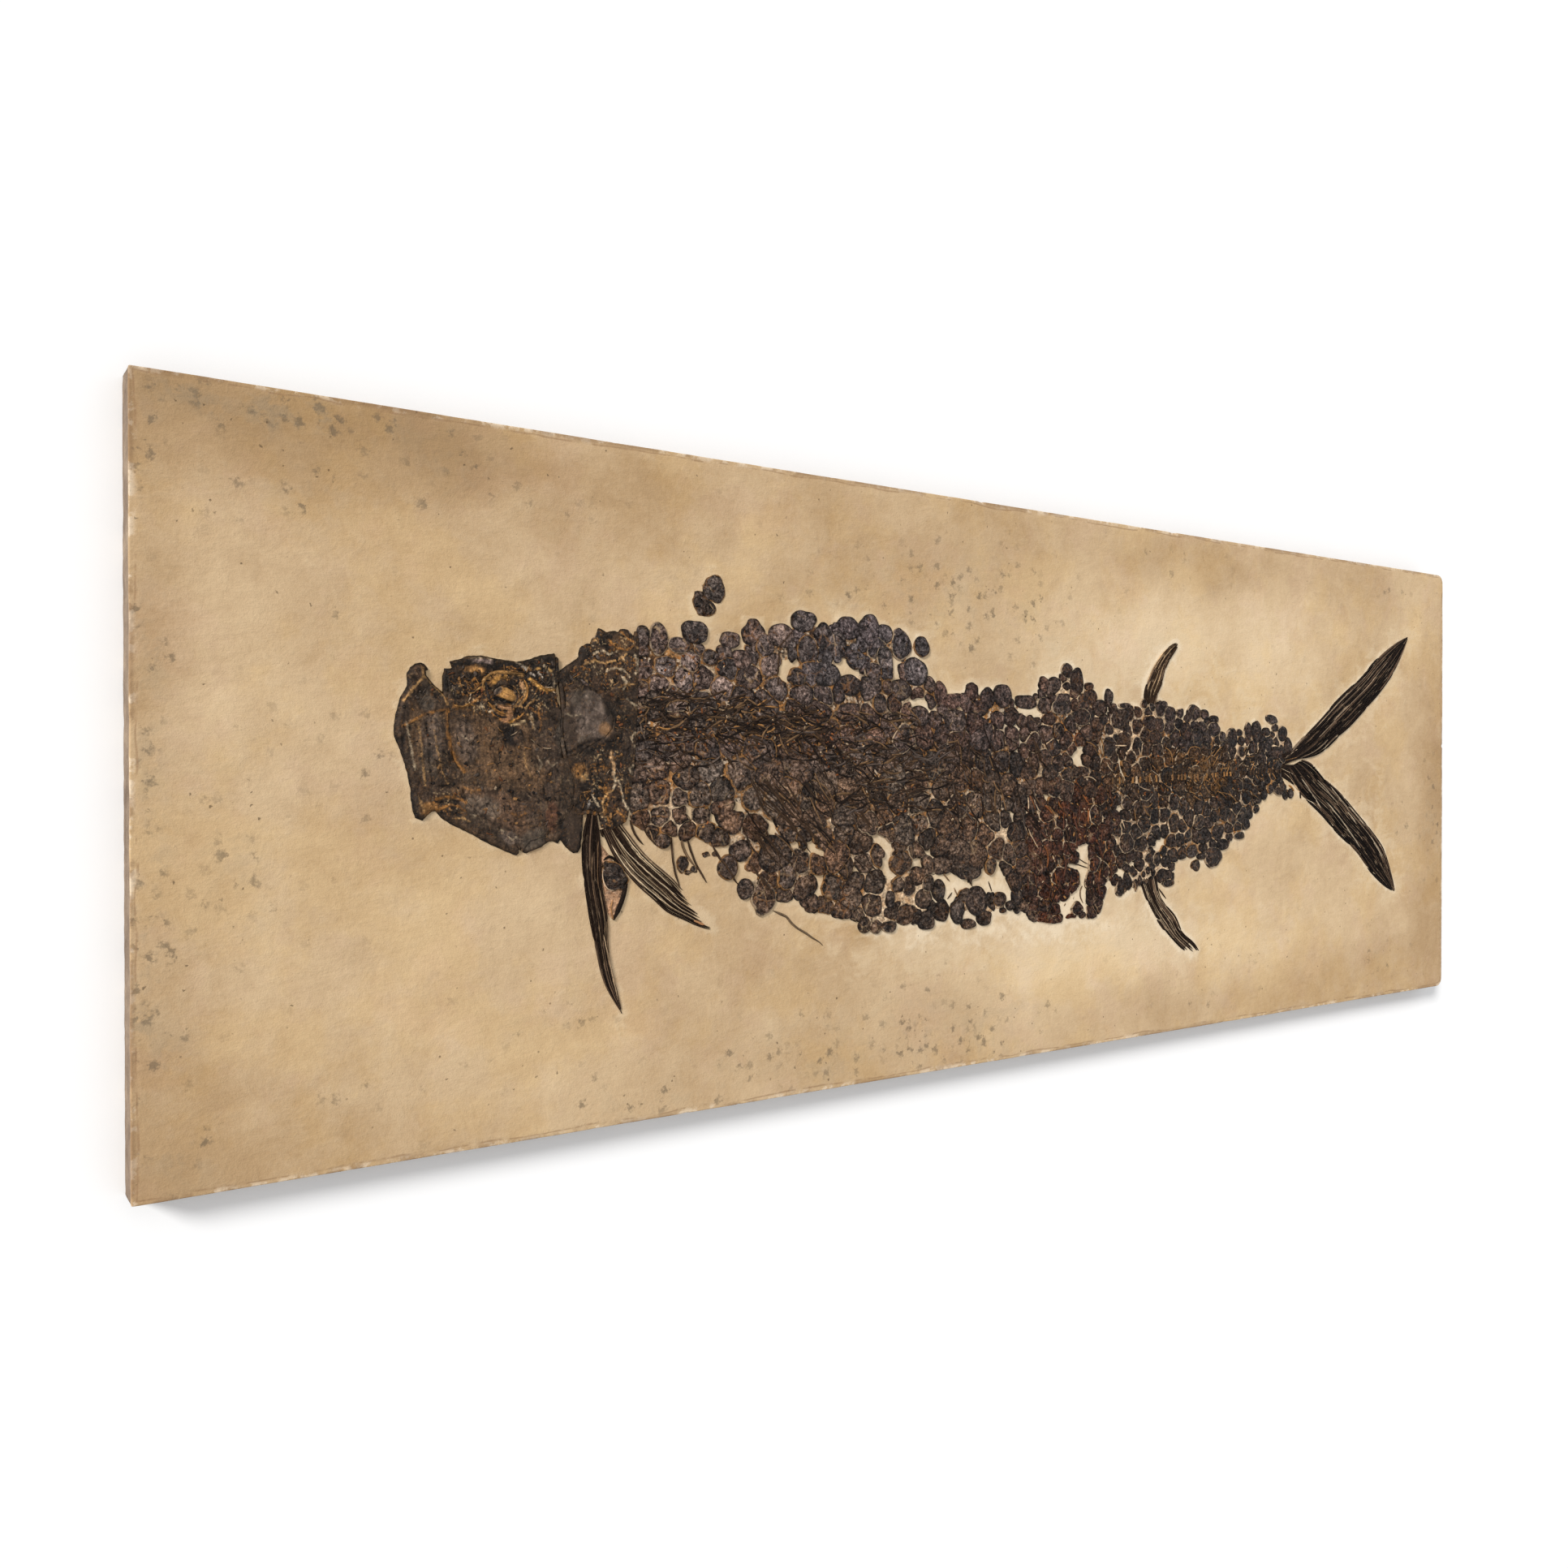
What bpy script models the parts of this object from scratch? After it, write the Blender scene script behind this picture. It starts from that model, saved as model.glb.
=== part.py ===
"""Fossil fish slab: a complete fish in low relief on a long panel of pale chalk.

The panel lies on its back. X runs from the snout to the tail, Y from the belly
to the back of the fish, Z out of the panel's face. Outlines are in millimetres
from the middle of the face.
"""

import math

import bmesh
import bpy
from mathutils import Vector

MM = 0.001

# ------------------------------------------------------------------ dimensions
PANEL_LENGTH = 2200.0
PANEL_HEIGHT = 762.0
PANEL_THICKNESS = 40.0
PANEL_CORNER_FRONT = 5.0  # corner radius at the snout end
PANEL_CORNER_REAR = 16.0  # corner radius at the tail end
PANEL_EDGE = 2.5  # worn arris all round

CLEARANCE = 0.3  # between neighbouring bodies
FACE = PANEL_THICKNESS + CLEARANCE  # where the fossil starts

COAT_HEIGHT = 4.2
JAW_HEIGHT = 7.0
SKULL_HEIGHT = 7.6
CHEEK_HEIGHT = 7.0
OPERCULUM_HEIGHT = 8.0
GULAR_HEIGHT = 5.0
GIRDLE_HEIGHT = 6.0
FIN_HEIGHT = 3.6
TAIL_HEIGHT = 4.2
LOOSE_SCALE_HEIGHT = 3.0
SPINE_HEIGHT = 2.2
RIB_WIDTH = 3.2

EYE_CENTRE = (-742.0, 94.0)
EYE_RADII = (17.0, 14.5)
EYE_RING_WIDTH = 5.0

# ------------------------------------------------------------------- outlines
LOWER_JAW = [
    (-843, 120), (-838, 124), (-832, 125), (-828, 123), (-824.5, 118), (-827.5, 117),
    (-826.5, 112), (-819, 103), (-810, 96), (-807.5, 90), (-806.5, 80), (-805, 66),
    (-804, 50), (-801, 27), (-792, 12), (-790.5, -4), (-786.5, -19), (-770, -33),
    (-750.5, -46.5), (-733, -58.5), (-726.5, -72), (-729, -75), (-747, -68),
    (-766, -58.5), (-782, -49.5), (-798, -42), (-811, -34), (-817, -27), (-821, -27),
    (-826.5, -31), (-831, -36), (-838, -33), (-841, -26), (-842.7, -15), (-843, -5),
    (-846, 10), (-849.5, 23), (-853.5, 35), (-860, 51), (-860, 60), (-858, 72),
    (-853.5, 88.5), (-846.3, 101), (-846.7, 113),
]
SKULL_ROOF = [
    (-802, 128), (-790, 131), (-783, 134.4), (-769, 135.4), (-749, 133), (-729, 130.7),
    (-717, 133.4), (-702, 139), (-685, 142), (-684, 136), (-683, 122), (-682, 110),
    (-684, 98), (-692, 90), (-702, 84), (-709, 79), (-719, 69), (-732, 68),
    (-745, 69), (-757, 72.5), (-770, 76.5), (-785, 81.5), (-803, 78), (-805.3, 88),
    (-806, 99), (-807.6, 111), (-807.6, 120), (-799.5, 121),
]
CHEEK_BONES = [
    (-803.2, 76.4), (-785, 79.8), (-770, 74.6), (-757, 70.6), (-745, 67), (-732, 66),
    (-719, 67), (-708.5, 77), (-702, 82), (-692, 88), (-684, 95.5), (-679, 84),
    (-680, 66), (-679, 50), (-676, 31), (-668, 20), (-664.5, 0), (-666.5, -19),
    (-677, -38), (-690, -44.5), (-700, -55.5), (-716, -59.5), (-724, -69),
    (-731, -57), (-749, -44.8), (-768.5, -31.3), (-784.8, -18), (-788.6, -4),
    (-790, 12.5), (-799.2, 27), (-802.3, 50), (-803.3, 64),
]
OPERCULUM = [
    (-674, 102), (-663.7, 104), (-649.4, 107), (-635, 101), (-623, 92.6), (-616.7, 76),
    (-618.8, 62), (-629, 51.7), (-649, 41.5), (-659.6, 33.4), (-672, 31.5),
    (-675.5, 50), (-676.5, 66), (-675.5, 84),
]
GULAR_PLATES = [
    (-722.6, -71.5), (-718.8, -73.2), (-702.4, -67.7), (-692.2, -61.5), (-687, -61),
    (-681, -63.6), (-679, -59.5), (-674, -65.6), (-667.8, -71.7), (-662.7, -74.8),
    (-657.6, -73.8), (-654.5, -68.7), (-652.5, -48), (-651.5, -33), (-660, -32),
    (-666, -23), (-677.6, -39.6), (-690.8, -46.2), (-700.5, -57.2), (-715.5, -61.2),
]
SHOULDER_GIRDLE = [
    (-681.5, 121.5), (-672, 129.3), (-663.7, 134.4), (-656.5, 139.5), (-653.5, 151.7),
    (-643.3, 153.8), (-641, 160), (-636, 163), (-633, 173), (-623, 169), (-614.7, 171),
    (-608.6, 170), (-605.5, 173.6), (-597, 173.6), (-588, 165), (-586, 140),
    (-588, 95), (-590, 60), (-592, 30), (-596, 0), (-599, -25), (-602, -43.5),
    (-616, -51), (-629, -50), (-633, -33), (-645, -29), (-660, -30), (-664.8, -20),
    (-662.7, 0), (-666.3, 19), (-672, 30), (-659, 32), (-648.5, 40.2), (-628.2, 50.4),
    (-617.4, 61.5), (-615.3, 76), (-622, 93.7), (-634.5, 102.2), (-649.3, 108.3),
    (-664, 105.3), (-675, 103.4), (-680.5, 111),
]
SCALE_COAT = [
    (-584.7, 140), (-586.7, 166), (-586, 178), (-580, 180.5), (-573, 178), (-566, 180),
    (-561, 184), (-551, 176), (-544.5, 171), (-546, 162), (-541, 165), (-533, 170),
    (-526, 169), (-528, 180), (-521, 187), (-509.8, 189.5), (-499, 187),
    (-492.5, 178), (-494, 168), (-498, 159), (-480, 158.5), (-479.5, 163),
    (-474, 163.5), (-475.5, 169), (-470, 175), (-458, 180), (-449, 176),
    (-448, 168), (-454, 160), (-445, 158), (-438, 152), (-443, 166), (-443.5, 197),
    (-433, 196.5), (-415.5, 197), (-413.5, 181), (-408, 180), (-403, 172),
    (-401, 182), (-398, 193), (-388, 193.5), (-378, 189), (-371, 185), (-374.5, 193),
    (-373, 205), (-362, 209.5), (-351, 212.5), (-340, 206), (-337, 199.5),
    (-332, 198.5), (-327, 195), (-315, 193.5), (-309, 196), (-305, 206),
    (-297, 209.5), (-280, 208), (-270.5, 200), (-268, 185), (-265, 200),
    (-262, 212), (-254, 214.3), (-245, 209), (-240, 200), (-236, 203), (-226, 203.5),
    (-216, 198), (-208, 199.5), (-198, 197), (-188, 194), (-184, 183), (-180, 187),
    (-176, 192), (-168, 191.5), (-157, 184), (-155, 177), (-157, 166), (-170, 164),
    (-178, 163), (-182, 170), (-188, 160), (-183, 162), (-172, 160), (-158, 152),
    (-157, 146), (-152, 140), (-147, 138), (-142, 131), (-136, 131), (-128, 124),
    (-124, 117), (-116, 121), (-92, 120), (-89, 124), (-86, 134), (-70, 132),
    (-66, 124), (-60, 126), (-49, 130), (-40, 128), (-35, 131), (-25, 134),
    (-15, 130), (-8, 121), (-3, 114), (0, 108), (3, 114), (15, 121), (30, 119),
    (37, 122), (42, 125), (46, 120), (48, 132), (50, 145), (58, 148), (70, 149),
    (85, 152), (92, 153), (94, 162), (100, 168), (108, 168), (118, 163), (128, 158),
    (137, 147), (140, 140), (150, 143), (157, 142), (158, 135), (165, 130),
    (165, 118), (170, 116), (182, 113), (185, 104), (192, 102), (190, 112),
    (184, 120), (183, 130), (190, 136), (197, 135), (200, 125), (201, 115),
    (208, 113), (212, 107), (218, 115), (230, 116), (245, 114), (262, 112),
    (264, 118), (270, 120.5), (276, 119.5), (284, 120), (293, 118.5), (297, 120.5),
    (303, 122.5), (310, 123), (318, 114), (328, 114), (338, 110), (341, 100),
    (344, 108), (350, 112), (357, 108), (359, 100), (365, 103), (368, 110),
    (375, 116), (386, 118), (398, 116), (402, 110), (412, 112), (418, 108),
    (422, 103), (436, 103), (443, 98), (439, 95), (446, 86), (445, 75), (452, 77),
    (459, 72), (464, 76), (474, 80), (486, 77), (490, 82), (502, 80), (506, 70),
    (509, 80), (512, 90), (520, 94), (526, 88), (530, 95), (536, 98), (545, 92),
    (552, 83), (558, 82), (562, 87), (570, 86), (575, 80), (581, 84), (582, 91),
    (574, 94), (565, 97), (565, 102), (577, 108), (590, 106), (597, 102),
    (595, 92), (597, 88), (608, 90), (618, 85), (621, 78), (626, 74), (634, 68),
    (640, 61), (633, 52), (627, 46), (620, 41), (615, 36.5), (612, 28), (604, 22),
    (604, 8), (612, -1), (620, -8), (634, -12), (639, -18), (637, -24),
    (630, -27.5), (622, -27), (617, -30), (610, -27), (606, -20), (598, -22),
    (590, -21), (584, -15), (580, -18), (573, -19), (567, -17), (565, -25),
    (560, -28), (553, -26), (552, -32), (545, -36), (544, -45), (540, -50),
    (533, -56), (525, -59), (522, -66), (521, -73), (512, -78), (507, -84),
    (500, -90), (490, -92), (480, -93), (471, -94), (468, -102), (460, -108),
    (450, -109), (449, -122), (443, -130), (433, -134), (420, -131), (411, -124),
    (404, -117), (396, -116), (383, -113), (372, -117), (364, -117), (350, -120),
    (343, -122), (337, -128), (339, -132), (336, -138), (337, -148), (334, -154),
    (323, -162), (312, -156), (300, -150), (288, -151), (278, -152), (266, -155),
    (256, -151), (252, -161), (246, -158), (242, -141), (241, -155), (236, -165),
    (226, -171), (214, -168), (207, -158), (201, -151), (196, -148), (189, -148),
    (186, -160), (181, -170), (178, -182), (172, -192), (160, -198), (148, -197),
    (142, -195), (130, -195), (120, -194), (112, -193), (100, -197), (90, -199),
    (80, -200), (65, -198), (50, -195), (43, -194), (38, -196), (30, -188),
    (20, -180), (12, -177), (6, -180), (-4, -177), (-14, -174), (-18, -178),
    (-26, -178), (-36, -178), (-43, -186), (-50, -192), (-60, -194), (-69, -188),
    (-75, -181), (-88, -177), (-95, -181), (-103, -187), (-112, -182), (-120, -176),
    (-128, -183), (-137, -183), (-150, -184), (-152, -192), (-160, -194),
    (-168, -190), (-174, -183), (-180, -184), (-190, -184), (-198, -182),
    (-206, -179), (-212, -188), (-222, -192), (-230, -190), (-234, -187),
    (-240, -193), (-247, -190), (-260, -188), (-268, -182), (-270, -174),
    (-280, -172), (-290, -169), (-300, -169), (-312, -166), (-318, -160),
    (-322, -163), (-330, -159), (-340, -160), (-350, -155), (-362, -147),
    (-371, -141), (-380, -145), (-392, -143), (-398, -140), (-400, -152),
    (-412, -157), (-425, -155), (-433, -143), (-430, -133), (-434, -136),
    (-443, -137), (-451, -130), (-452, -120), (-447, -113), (-440, -111),
    (-443, -104), (-449, -92), (-452, -104), (-455, -110), (-462, -113),
    (-472, -110), (-479, -103), (-480, -98), (-474, -90), (-466, -84),
    (-464, -77), (-470, -72), (-478, -74), (-487, -73), (-497, -66), (-503, -64),
    (-512, -60), (-520, -67), (-530, -65), (-537, -60), (-542, -57), (-546, -68),
    (-555, -73), (-563, -68), (-566, -60), (-574, -54), (-584, -48), (-592, -44),
    (-600, -41.5), (-597, -24), (-594.3, 0), (-590.3, 30), (-588.3, 60),
    (-586.3, 95),
]
# bare matrix showing between the scales
COAT_GAPS = [
    [(-247, -66), (-240, -64), (-228, -70), (-217, -80), (-214, -86), (-220, -92),
     (-222, -104), (-214, -118), (-222, -122), (-234, -104), (-240, -100),
     (-228, -92), (-236, -80), (-245, -74)],
    [(-148, -124), (-138, -122), (-126, -120), (-114, -119), (-106, -125),
     (-98, -128), (-84, -130), (-68, -128), (-60, -118), (-56, -108), (-54, -122),
     (-42, -128), (-36, -122), (-33, -106), (-24, -118), (-16, -132), (-6, -146),
     (-4, -156), (-12, -164), (-18, -154), (-30, -150), (-44, -150), (-56, -146),
     (-70, -141), (-92, -141), (-104, -150), (-112, -164), (-118, -158),
     (-124, -152), (-136, -156), (-144, -158), (-150, -146)],
    [(129, -90), (146, -87), (149, -98), (149, -124), (146, -128), (140, -145),
     (144, -158), (144, -182), (148, -190), (141, -188), (138, -172), (130, -166),
     (120, -172), (112, -188), (102, -190), (90, -182), (88, -172), (104, -168),
     (114, -158), (122, -152), (128, -146), (126, -126), (101, -119), (102, -115),
     (124, -117), (127, -108)],
    [(-392, 143), (-386, 146), (-366, 150), (-368, 142), (-380, 134), (-382, 124),
     (-392, 124)],
    [(-302, 150), (-296, 157), (-290, 158), (-284, 148), (-271, 144), (-272, 138),
     (-290, 136), (-300, 128), (-303, 138)],
    [(-188, 97), (-184, 108), (-172, 112), (-158, 110), (-153, 96), (-160, 96),
     (-172, 101), (-180, 98)],
    [(10, 98), (18, 102), (40, 101), (47, 97), (46, 84), (40, 88), (30, 96)],
    [(110, 36), (120, 46), (132, 56), (138, 62), (136, 48), (132, 38), (136, 28),
     (130, 18), (118, 24)],
    [(291, -86), (300, -88), (310, -82), (316, -92), (308, -98), (304, -106),
     (296, -104), (286, -102), (291, -96)],
]
LOOSE_SCALE_UPPER = [
    (-483.3, 245.5), (-475.8, 243.3), (-470.5, 236), (-468.3, 230), (-469.2, 220.8),
    (-475, 212.5), (-486.7, 214.2), (-496.7, 216), (-499.2, 221.7), (-496.3, 233.3),
    (-491.7, 240.8),
]
LOOSE_SCALE_LOWER = [
    (-499.5, 229), (-504.2, 226.7), (-510, 220), (-511.3, 213.3), (-509.2, 203.3),
    (-505.8, 198.3), (-495, 194.5), (-486.7, 195.8), (-480.8, 200.8),
    (-481.7, 210.3), (-487, 212.4), (-498, 214.2), (-501, 221),
]
LOOSE_SCALE_REAR = [
    (376.9, -130.6), (383.7, -122.3), (399, -123.8), (400, -129.6), (397, -136.3),
    (390.4, -139.2), (383.7, -134.4),
]
# each fin is the area between two edges that run from its root to its tip
CAUDAL_UPPER_EDGES = (
    [(617, 37.5), (643, 58.5), (660, 70), (687, 87), (720, 108.3), (751.6, 131.3),
     (784, 150.7), (821, 172), (843.5, 184.4), (853.7, 194.6), (863, 203.3),
     (880, 213.3), (896.7, 225), (930, 241.7), (966.7, 256.7), (980.5, 260)],
    [(662, 38.6), (682, 40.5), (706.7, 43.6), (718, 47.7), (731.2, 55.8),
     (751.6, 68), (772, 81.3), (796.5, 90.5), (812.9, 102.8), (839.4, 121.1),
     (863.9, 137.4), (885, 149.5), (905, 166.7), (920, 178.3), (936.7, 193.3),
     (955, 218.3), (970.8, 238), (979.5, 256)],
)
CAUDAL_LOWER_EDGES = (
    [(664, 35.6), (683.3, 33), (700.8, 27), (711.7, 17), (725, 4.8), (751.6, -7.4),
     (774, -19.7), (800.6, -40), (825, -56.4), (851.6, -74.8), (874, -93.2),
     (894.5, -109.5), (908.8, -121.7), (914.9, -134), (923, -154.4),
     (933.3, -172.8), (941, -194)],
    [(618, 20), (628, 8), (640, -6), (652, -20), (670, -28.3), (690.4, -40),
     (710.8, -52.3), (735.3, -66.6), (751.6, -83), (778.2, -99.3), (798.6, -109.5),
     (816.9, -119.7), (833.3, -131.9), (849.6, -148.3), (874, -166.6),
     (900.6, -183), (921, -193.2), (940, -198)],
)
DORSAL_EDGES = (
    [(269, 126), (268, 134), (270.4, 141.5), (280.6, 159.9), (294.9, 179.3),
     (313.3, 197.7), (331.6, 209.9), (345.5, 213.4)],
    [(295, 124.5), (299, 132), (304, 140), (310.2, 148), (313.3, 160),
     (315.3, 168), (323.5, 181.3), (334.7, 193.6), (345, 206)],
)
ANAL_EDGES = (
    [(300, -154), (304, -170), (315.4, -183.5), (328.8, -195), (342.3, -204.6),
     (350, -219), (359.6, -232.5), (373, -240.2), (387.5, -248.8), (400, -264.5)],
    [(266, -158.5), (272.1, -171.9), (282.7, -187.3), (296.2, -205.6),
     (309.6, -220), (323, -232.5), (338.5, -245), (353.8, -256.5), (369.2, -266.2),
     (386, -272)],
)
PECTORAL_FRONT_EDGES = (
    [(-629, -54), (-629, -66), (-618.5, -83), (-602, -103), (-596.5, -109),
     (-599.5, -124), (-606.5, -140), (-615, -152), (-622, -166), (-620.5, -187),
     (-616.5, -205), (-612.5, -222), (-608.5, -238), (-603.5, -256)],
    [(-644, -34), (-650, -47), (-652.8, -66.6), (-652.6, -87), (-651, -100),
     (-649.4, -111.5), (-645.3, -140), (-642, -155), (-639, -168.7), (-634, -189),
     (-629.5, -212), (-620, -233), (-610, -247), (-605, -256.5)],
)
PECTORAL_REAR_EDGES = (
    [(-603.5, -46.5), (-596, -55), (-590, -62.6), (-583, -71), (-570, -84),
     (-557.8, -93.2), (-547.6, -101.3), (-534.3, -112), (-521, -127), (-504.7, -139),
     (-494, -151), (-482.5, -159.5)],
    [(-626, -56), (-621, -67), (-615, -80), (-597.8, -100.5), (-582.5, -117),
     (-560, -134.5), (-549.6, -146.2), (-525, -156.4), (-506.7, -165.6),
     (-481, -173)],
)
LOOSE_RIB = [(-400, -153.5), (-382, -161), (-372, -171), (-353.7, -183), (-333, -195),
             (-326, -200.5)]
VERTEBRAE = [(196, 2), (240, 3), (290, 5), (340, 7), (390, 8), (440, 11), (490, 13),
             (540, 15), (584, 17), (602, 17)]
NEURAL_SPINES = [(-578, 74), (-540, 78), (-500, 82), (-460, 88), (-420, 92),
                 (-380, 84), (-336, 74)]


# --------------------------------------------------------------------- helpers
def clear_scene():
    for obj in list(bpy.data.objects):
        bpy.data.objects.remove(obj, do_unlink=True)


def material(name, colour, roughness):
    mat = bpy.data.materials.get(name)
    if mat is None:
        mat = bpy.data.materials.new(name)
        mat.use_nodes = True
        shader = mat.node_tree.nodes["Principled BSDF"]
        shader.inputs["Base Color"].default_value = (*colour, 1.0)
        shader.inputs["Roughness"].default_value = roughness
        shader.inputs["Metallic"].default_value = 0.0
    return mat


def add_object(name, mesh, mat, parent):
    obj = bpy.data.objects.new(name, mesh)
    mesh.materials.append(mat)
    bpy.context.scene.collection.objects.link(obj)
    obj.parent = parent
    return obj


def as_mesh(name, bm):
    bmesh.ops.recalc_face_normals(bm, faces=bm.faces)
    mesh = bpy.data.meshes.new(name)
    bm.to_mesh(mesh)
    bm.free()
    return mesh


def relief_plate(name, outline, base, height, slope, mat, parent):
    """A low plate: the outline extruded, with its top edge worn to a slope."""
    bm = bmesh.new()
    ring = [bm.verts.new((x * MM, y * MM, base * MM)) for x, y in outline]
    bottom = bm.faces.new(ring)
    bottom.normal_update()
    if bottom.normal.z > 0:
        bottom.normal_flip()
    top = bmesh.ops.extrude_face_region(bm, geom=[bottom], use_keep_orig=True)
    raised = [v for v in top["geom"] if isinstance(v, bmesh.types.BMVert)]
    bmesh.ops.translate(bm, verts=raised, vec=(0, 0, (height - slope) * MM))
    caps = [f for f in top["geom"] if isinstance(f, bmesh.types.BMFace)]
    bmesh.ops.recalc_face_normals(bm, faces=bm.faces)
    bmesh.ops.inset_region(
        bm, faces=caps, thickness=slope * MM, depth=slope * MM, use_even_offset=False
    )
    return add_object(name, as_mesh(name, bm), mat, parent)


def along(points, count):
    """`count` points at equal steps along a polyline."""
    points = [Vector(p) for p in points]
    lengths = [0.0]
    for a, b in zip(points, points[1:]):
        lengths.append(lengths[-1] + (b - a).length)
    found = []
    for i in range(count):
        target = lengths[-1] * i / (count - 1)
        k = 0
        while k < len(points) - 2 and lengths[k + 1] < target:
            k += 1
        share = (target - lengths[k]) / (lengths[k + 1] - lengths[k])
        found.append(points[k].lerp(points[k + 1], min(max(share, 0.0), 1.0)))
    return found


def ray_fin(name, edges, base, height, rays, stations, mat, parent):
    """A fin between two edges, its top corrugated into rays, thinning to the tip."""
    one = along(edges[0], stations)
    two = along(edges[1], stations)
    across = 2 * rays + 1
    bm = bmesh.new()
    tops, lows = [], []
    for i in range(stations):
        thin = 1.0 - 0.45 * i / (stations - 1)
        top_row, low_row = [], []
        for j in range(across):
            at = one[i].lerp(two[i], j / (across - 1))
            if j in (0, across - 1):
                z = 0.45 * height * thin
            else:
                z = height * thin * (1.0 if j % 2 else 0.72)
            top_row.append(bm.verts.new((at.x * MM, at.y * MM, (base + z) * MM)))
            low_row.append(bm.verts.new((at.x * MM, at.y * MM, base * MM)))
        tops.append(top_row)
        lows.append(low_row)
    for i in range(stations - 1):
        for j in range(across - 1):
            bm.faces.new((tops[i][j], tops[i][j + 1], tops[i + 1][j + 1], tops[i + 1][j]))
            bm.faces.new((lows[i][j], lows[i + 1][j], lows[i + 1][j + 1], lows[i][j + 1]))
        for j in (0, across - 1):
            bm.faces.new((tops[i][j], tops[i + 1][j], lows[i + 1][j], lows[i][j]))
    for i in (0, stations - 1):
        for j in range(across - 1):
            bm.faces.new((tops[i][j], tops[i][j + 1], lows[i][j + 1], lows[i][j]))
    return add_object(name, as_mesh(name, bm), mat, parent)


def rod(name, path, base, width, height, taper, mat, parent):
    """A thin bone along a path, half-round in section, tapering at both ends."""
    count = 2 * len(path) + 1
    spine = along(path, count)
    section = [(-0.5, 0.0), (-0.42, 0.55), (-0.18, 0.95), (0.18, 0.95), (0.42, 0.55), (0.5, 0.0)]
    bm = bmesh.new()
    rows = []
    for i, at in enumerate(spine):
        ahead = spine[min(i + 1, count - 1)] - spine[max(i - 1, 0)]
        side = Vector((-ahead.y, ahead.x)).normalized()
        share = i / (count - 1)
        size = 1.0 - taper * abs(2 * share - 1) ** 2
        rows.append([
            bm.verts.new((
                (at.x + side.x * u * width * size) * MM,
                (at.y + side.y * u * width * size) * MM,
                (base + v * height * size) * MM,
            ))
            for u, v in section
        ])
    for a, b in zip(rows, rows[1:]):
        for j in range(len(section)):
            k = (j + 1) % len(section)
            bm.faces.new((a[j], a[k], b[k], b[j]))
    bm.faces.new(rows[0])
    bm.faces.new(rows[-1])
    return add_object(name, as_mesh(name, bm), mat, parent)


def beaded_strip(name, path, base, width, height, beads, mat, parent):
    """A row of vertebral centra: a strip pinched between each pair."""
    count = 2 * beads + 1
    spine = along(path, count)
    bm = bmesh.new()
    rows = []
    for i, at in enumerate(spine):
        ahead = spine[min(i + 1, count - 1)] - spine[max(i - 1, 0)]
        side = Vector((-ahead.y, ahead.x)).normalized()
        fade = 1.0 - 0.55 * i / (count - 1)
        half = width * fade * (0.5 if i % 2 else 0.36)
        z = height * (1.0 if i % 2 else 0.7)
        ring = []
        for u, v in ((-1.0, 0.0), (-0.72, 0.8), (0.0, 1.0), (0.72, 0.8), (1.0, 0.0)):
            ring.append(bm.verts.new((
                (at.x + side.x * u * half) * MM,
                (at.y + side.y * u * half) * MM,
                (base + v * z) * MM,
            )))
        rows.append(ring)
    for a, b in zip(rows, rows[1:]):
        for j in range(5):
            k = (j + 1) % 5
            bm.faces.new((a[j], a[k], b[k], b[j]))
    bm.faces.new(rows[0])
    bm.faces.new(rows[-1])
    return add_object(name, as_mesh(name, bm), mat, parent)


def rounded_panel(parent, mat):
    """The panel, its corners rounded to the two radii and its arrises worn."""
    half_x, half_y = PANEL_LENGTH / 2, PANEL_HEIGHT / 2
    outline = []
    for sx, sy, radius, start in (
        (1, 1, PANEL_CORNER_REAR, 0),
        (-1, 1, PANEL_CORNER_FRONT, 90),
        (-1, -1, PANEL_CORNER_FRONT, 180),
        (1, -1, PANEL_CORNER_REAR, 270),
    ):
        cx, cy = sx * (half_x - radius), sy * (half_y - radius)
        for step in range(7):
            angle = math.radians(start + 15 * step)
            outline.append((cx + radius * math.cos(angle), cy + radius * math.sin(angle)))
    bm = bmesh.new()
    ring = [bm.verts.new((x * MM, y * MM, 0.0)) for x, y in outline]
    base = bm.faces.new(ring)
    base.normal_flip()
    grown = bmesh.ops.extrude_face_region(bm, geom=[base], use_keep_orig=True)
    raised = [v for v in grown["geom"] if isinstance(v, bmesh.types.BMVert)]
    bmesh.ops.translate(bm, verts=raised, vec=(0, 0, PANEL_THICKNESS * MM))
    panel = add_object("matrix_slab", as_mesh("matrix_slab", bm), mat, parent)
    worn = panel.modifiers.new("worn_arris", "BEVEL")
    worn.width = PANEL_EDGE * MM
    worn.segments = 2
    worn.limit_method = "ANGLE"
    worn.angle_limit = math.radians(50)
    return panel


def cut_gaps(coat, gaps, base, height):
    """Cuts the bare patches through the scale coat."""
    bm = bmesh.new()
    for gap in gaps:
        low = [bm.verts.new((x * MM, y * MM, (base - 3) * MM)) for x, y in gap]
        high = [bm.verts.new((x * MM, y * MM, (base + height + 3) * MM)) for x, y in gap]
        bm.faces.new(low)
        bm.faces.new(high)
        for i in range(len(gap)):
            k = (i + 1) % len(gap)
            bm.faces.new((low[i], low[k], high[k], high[i]))
    cutter = add_object("gap_cutter", as_mesh("gap_cutter", bm), material("cutter", (0.5, 0.5, 0.5), 0.5), None)
    cutter.hide_render = True
    cutter.display_type = "WIRE"
    cut = coat.modifiers.new("bare_patches", "BOOLEAN")
    cut.operation = "DIFFERENCE"
    cut.solver = "EXACT"
    cut.object = cutter


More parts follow.
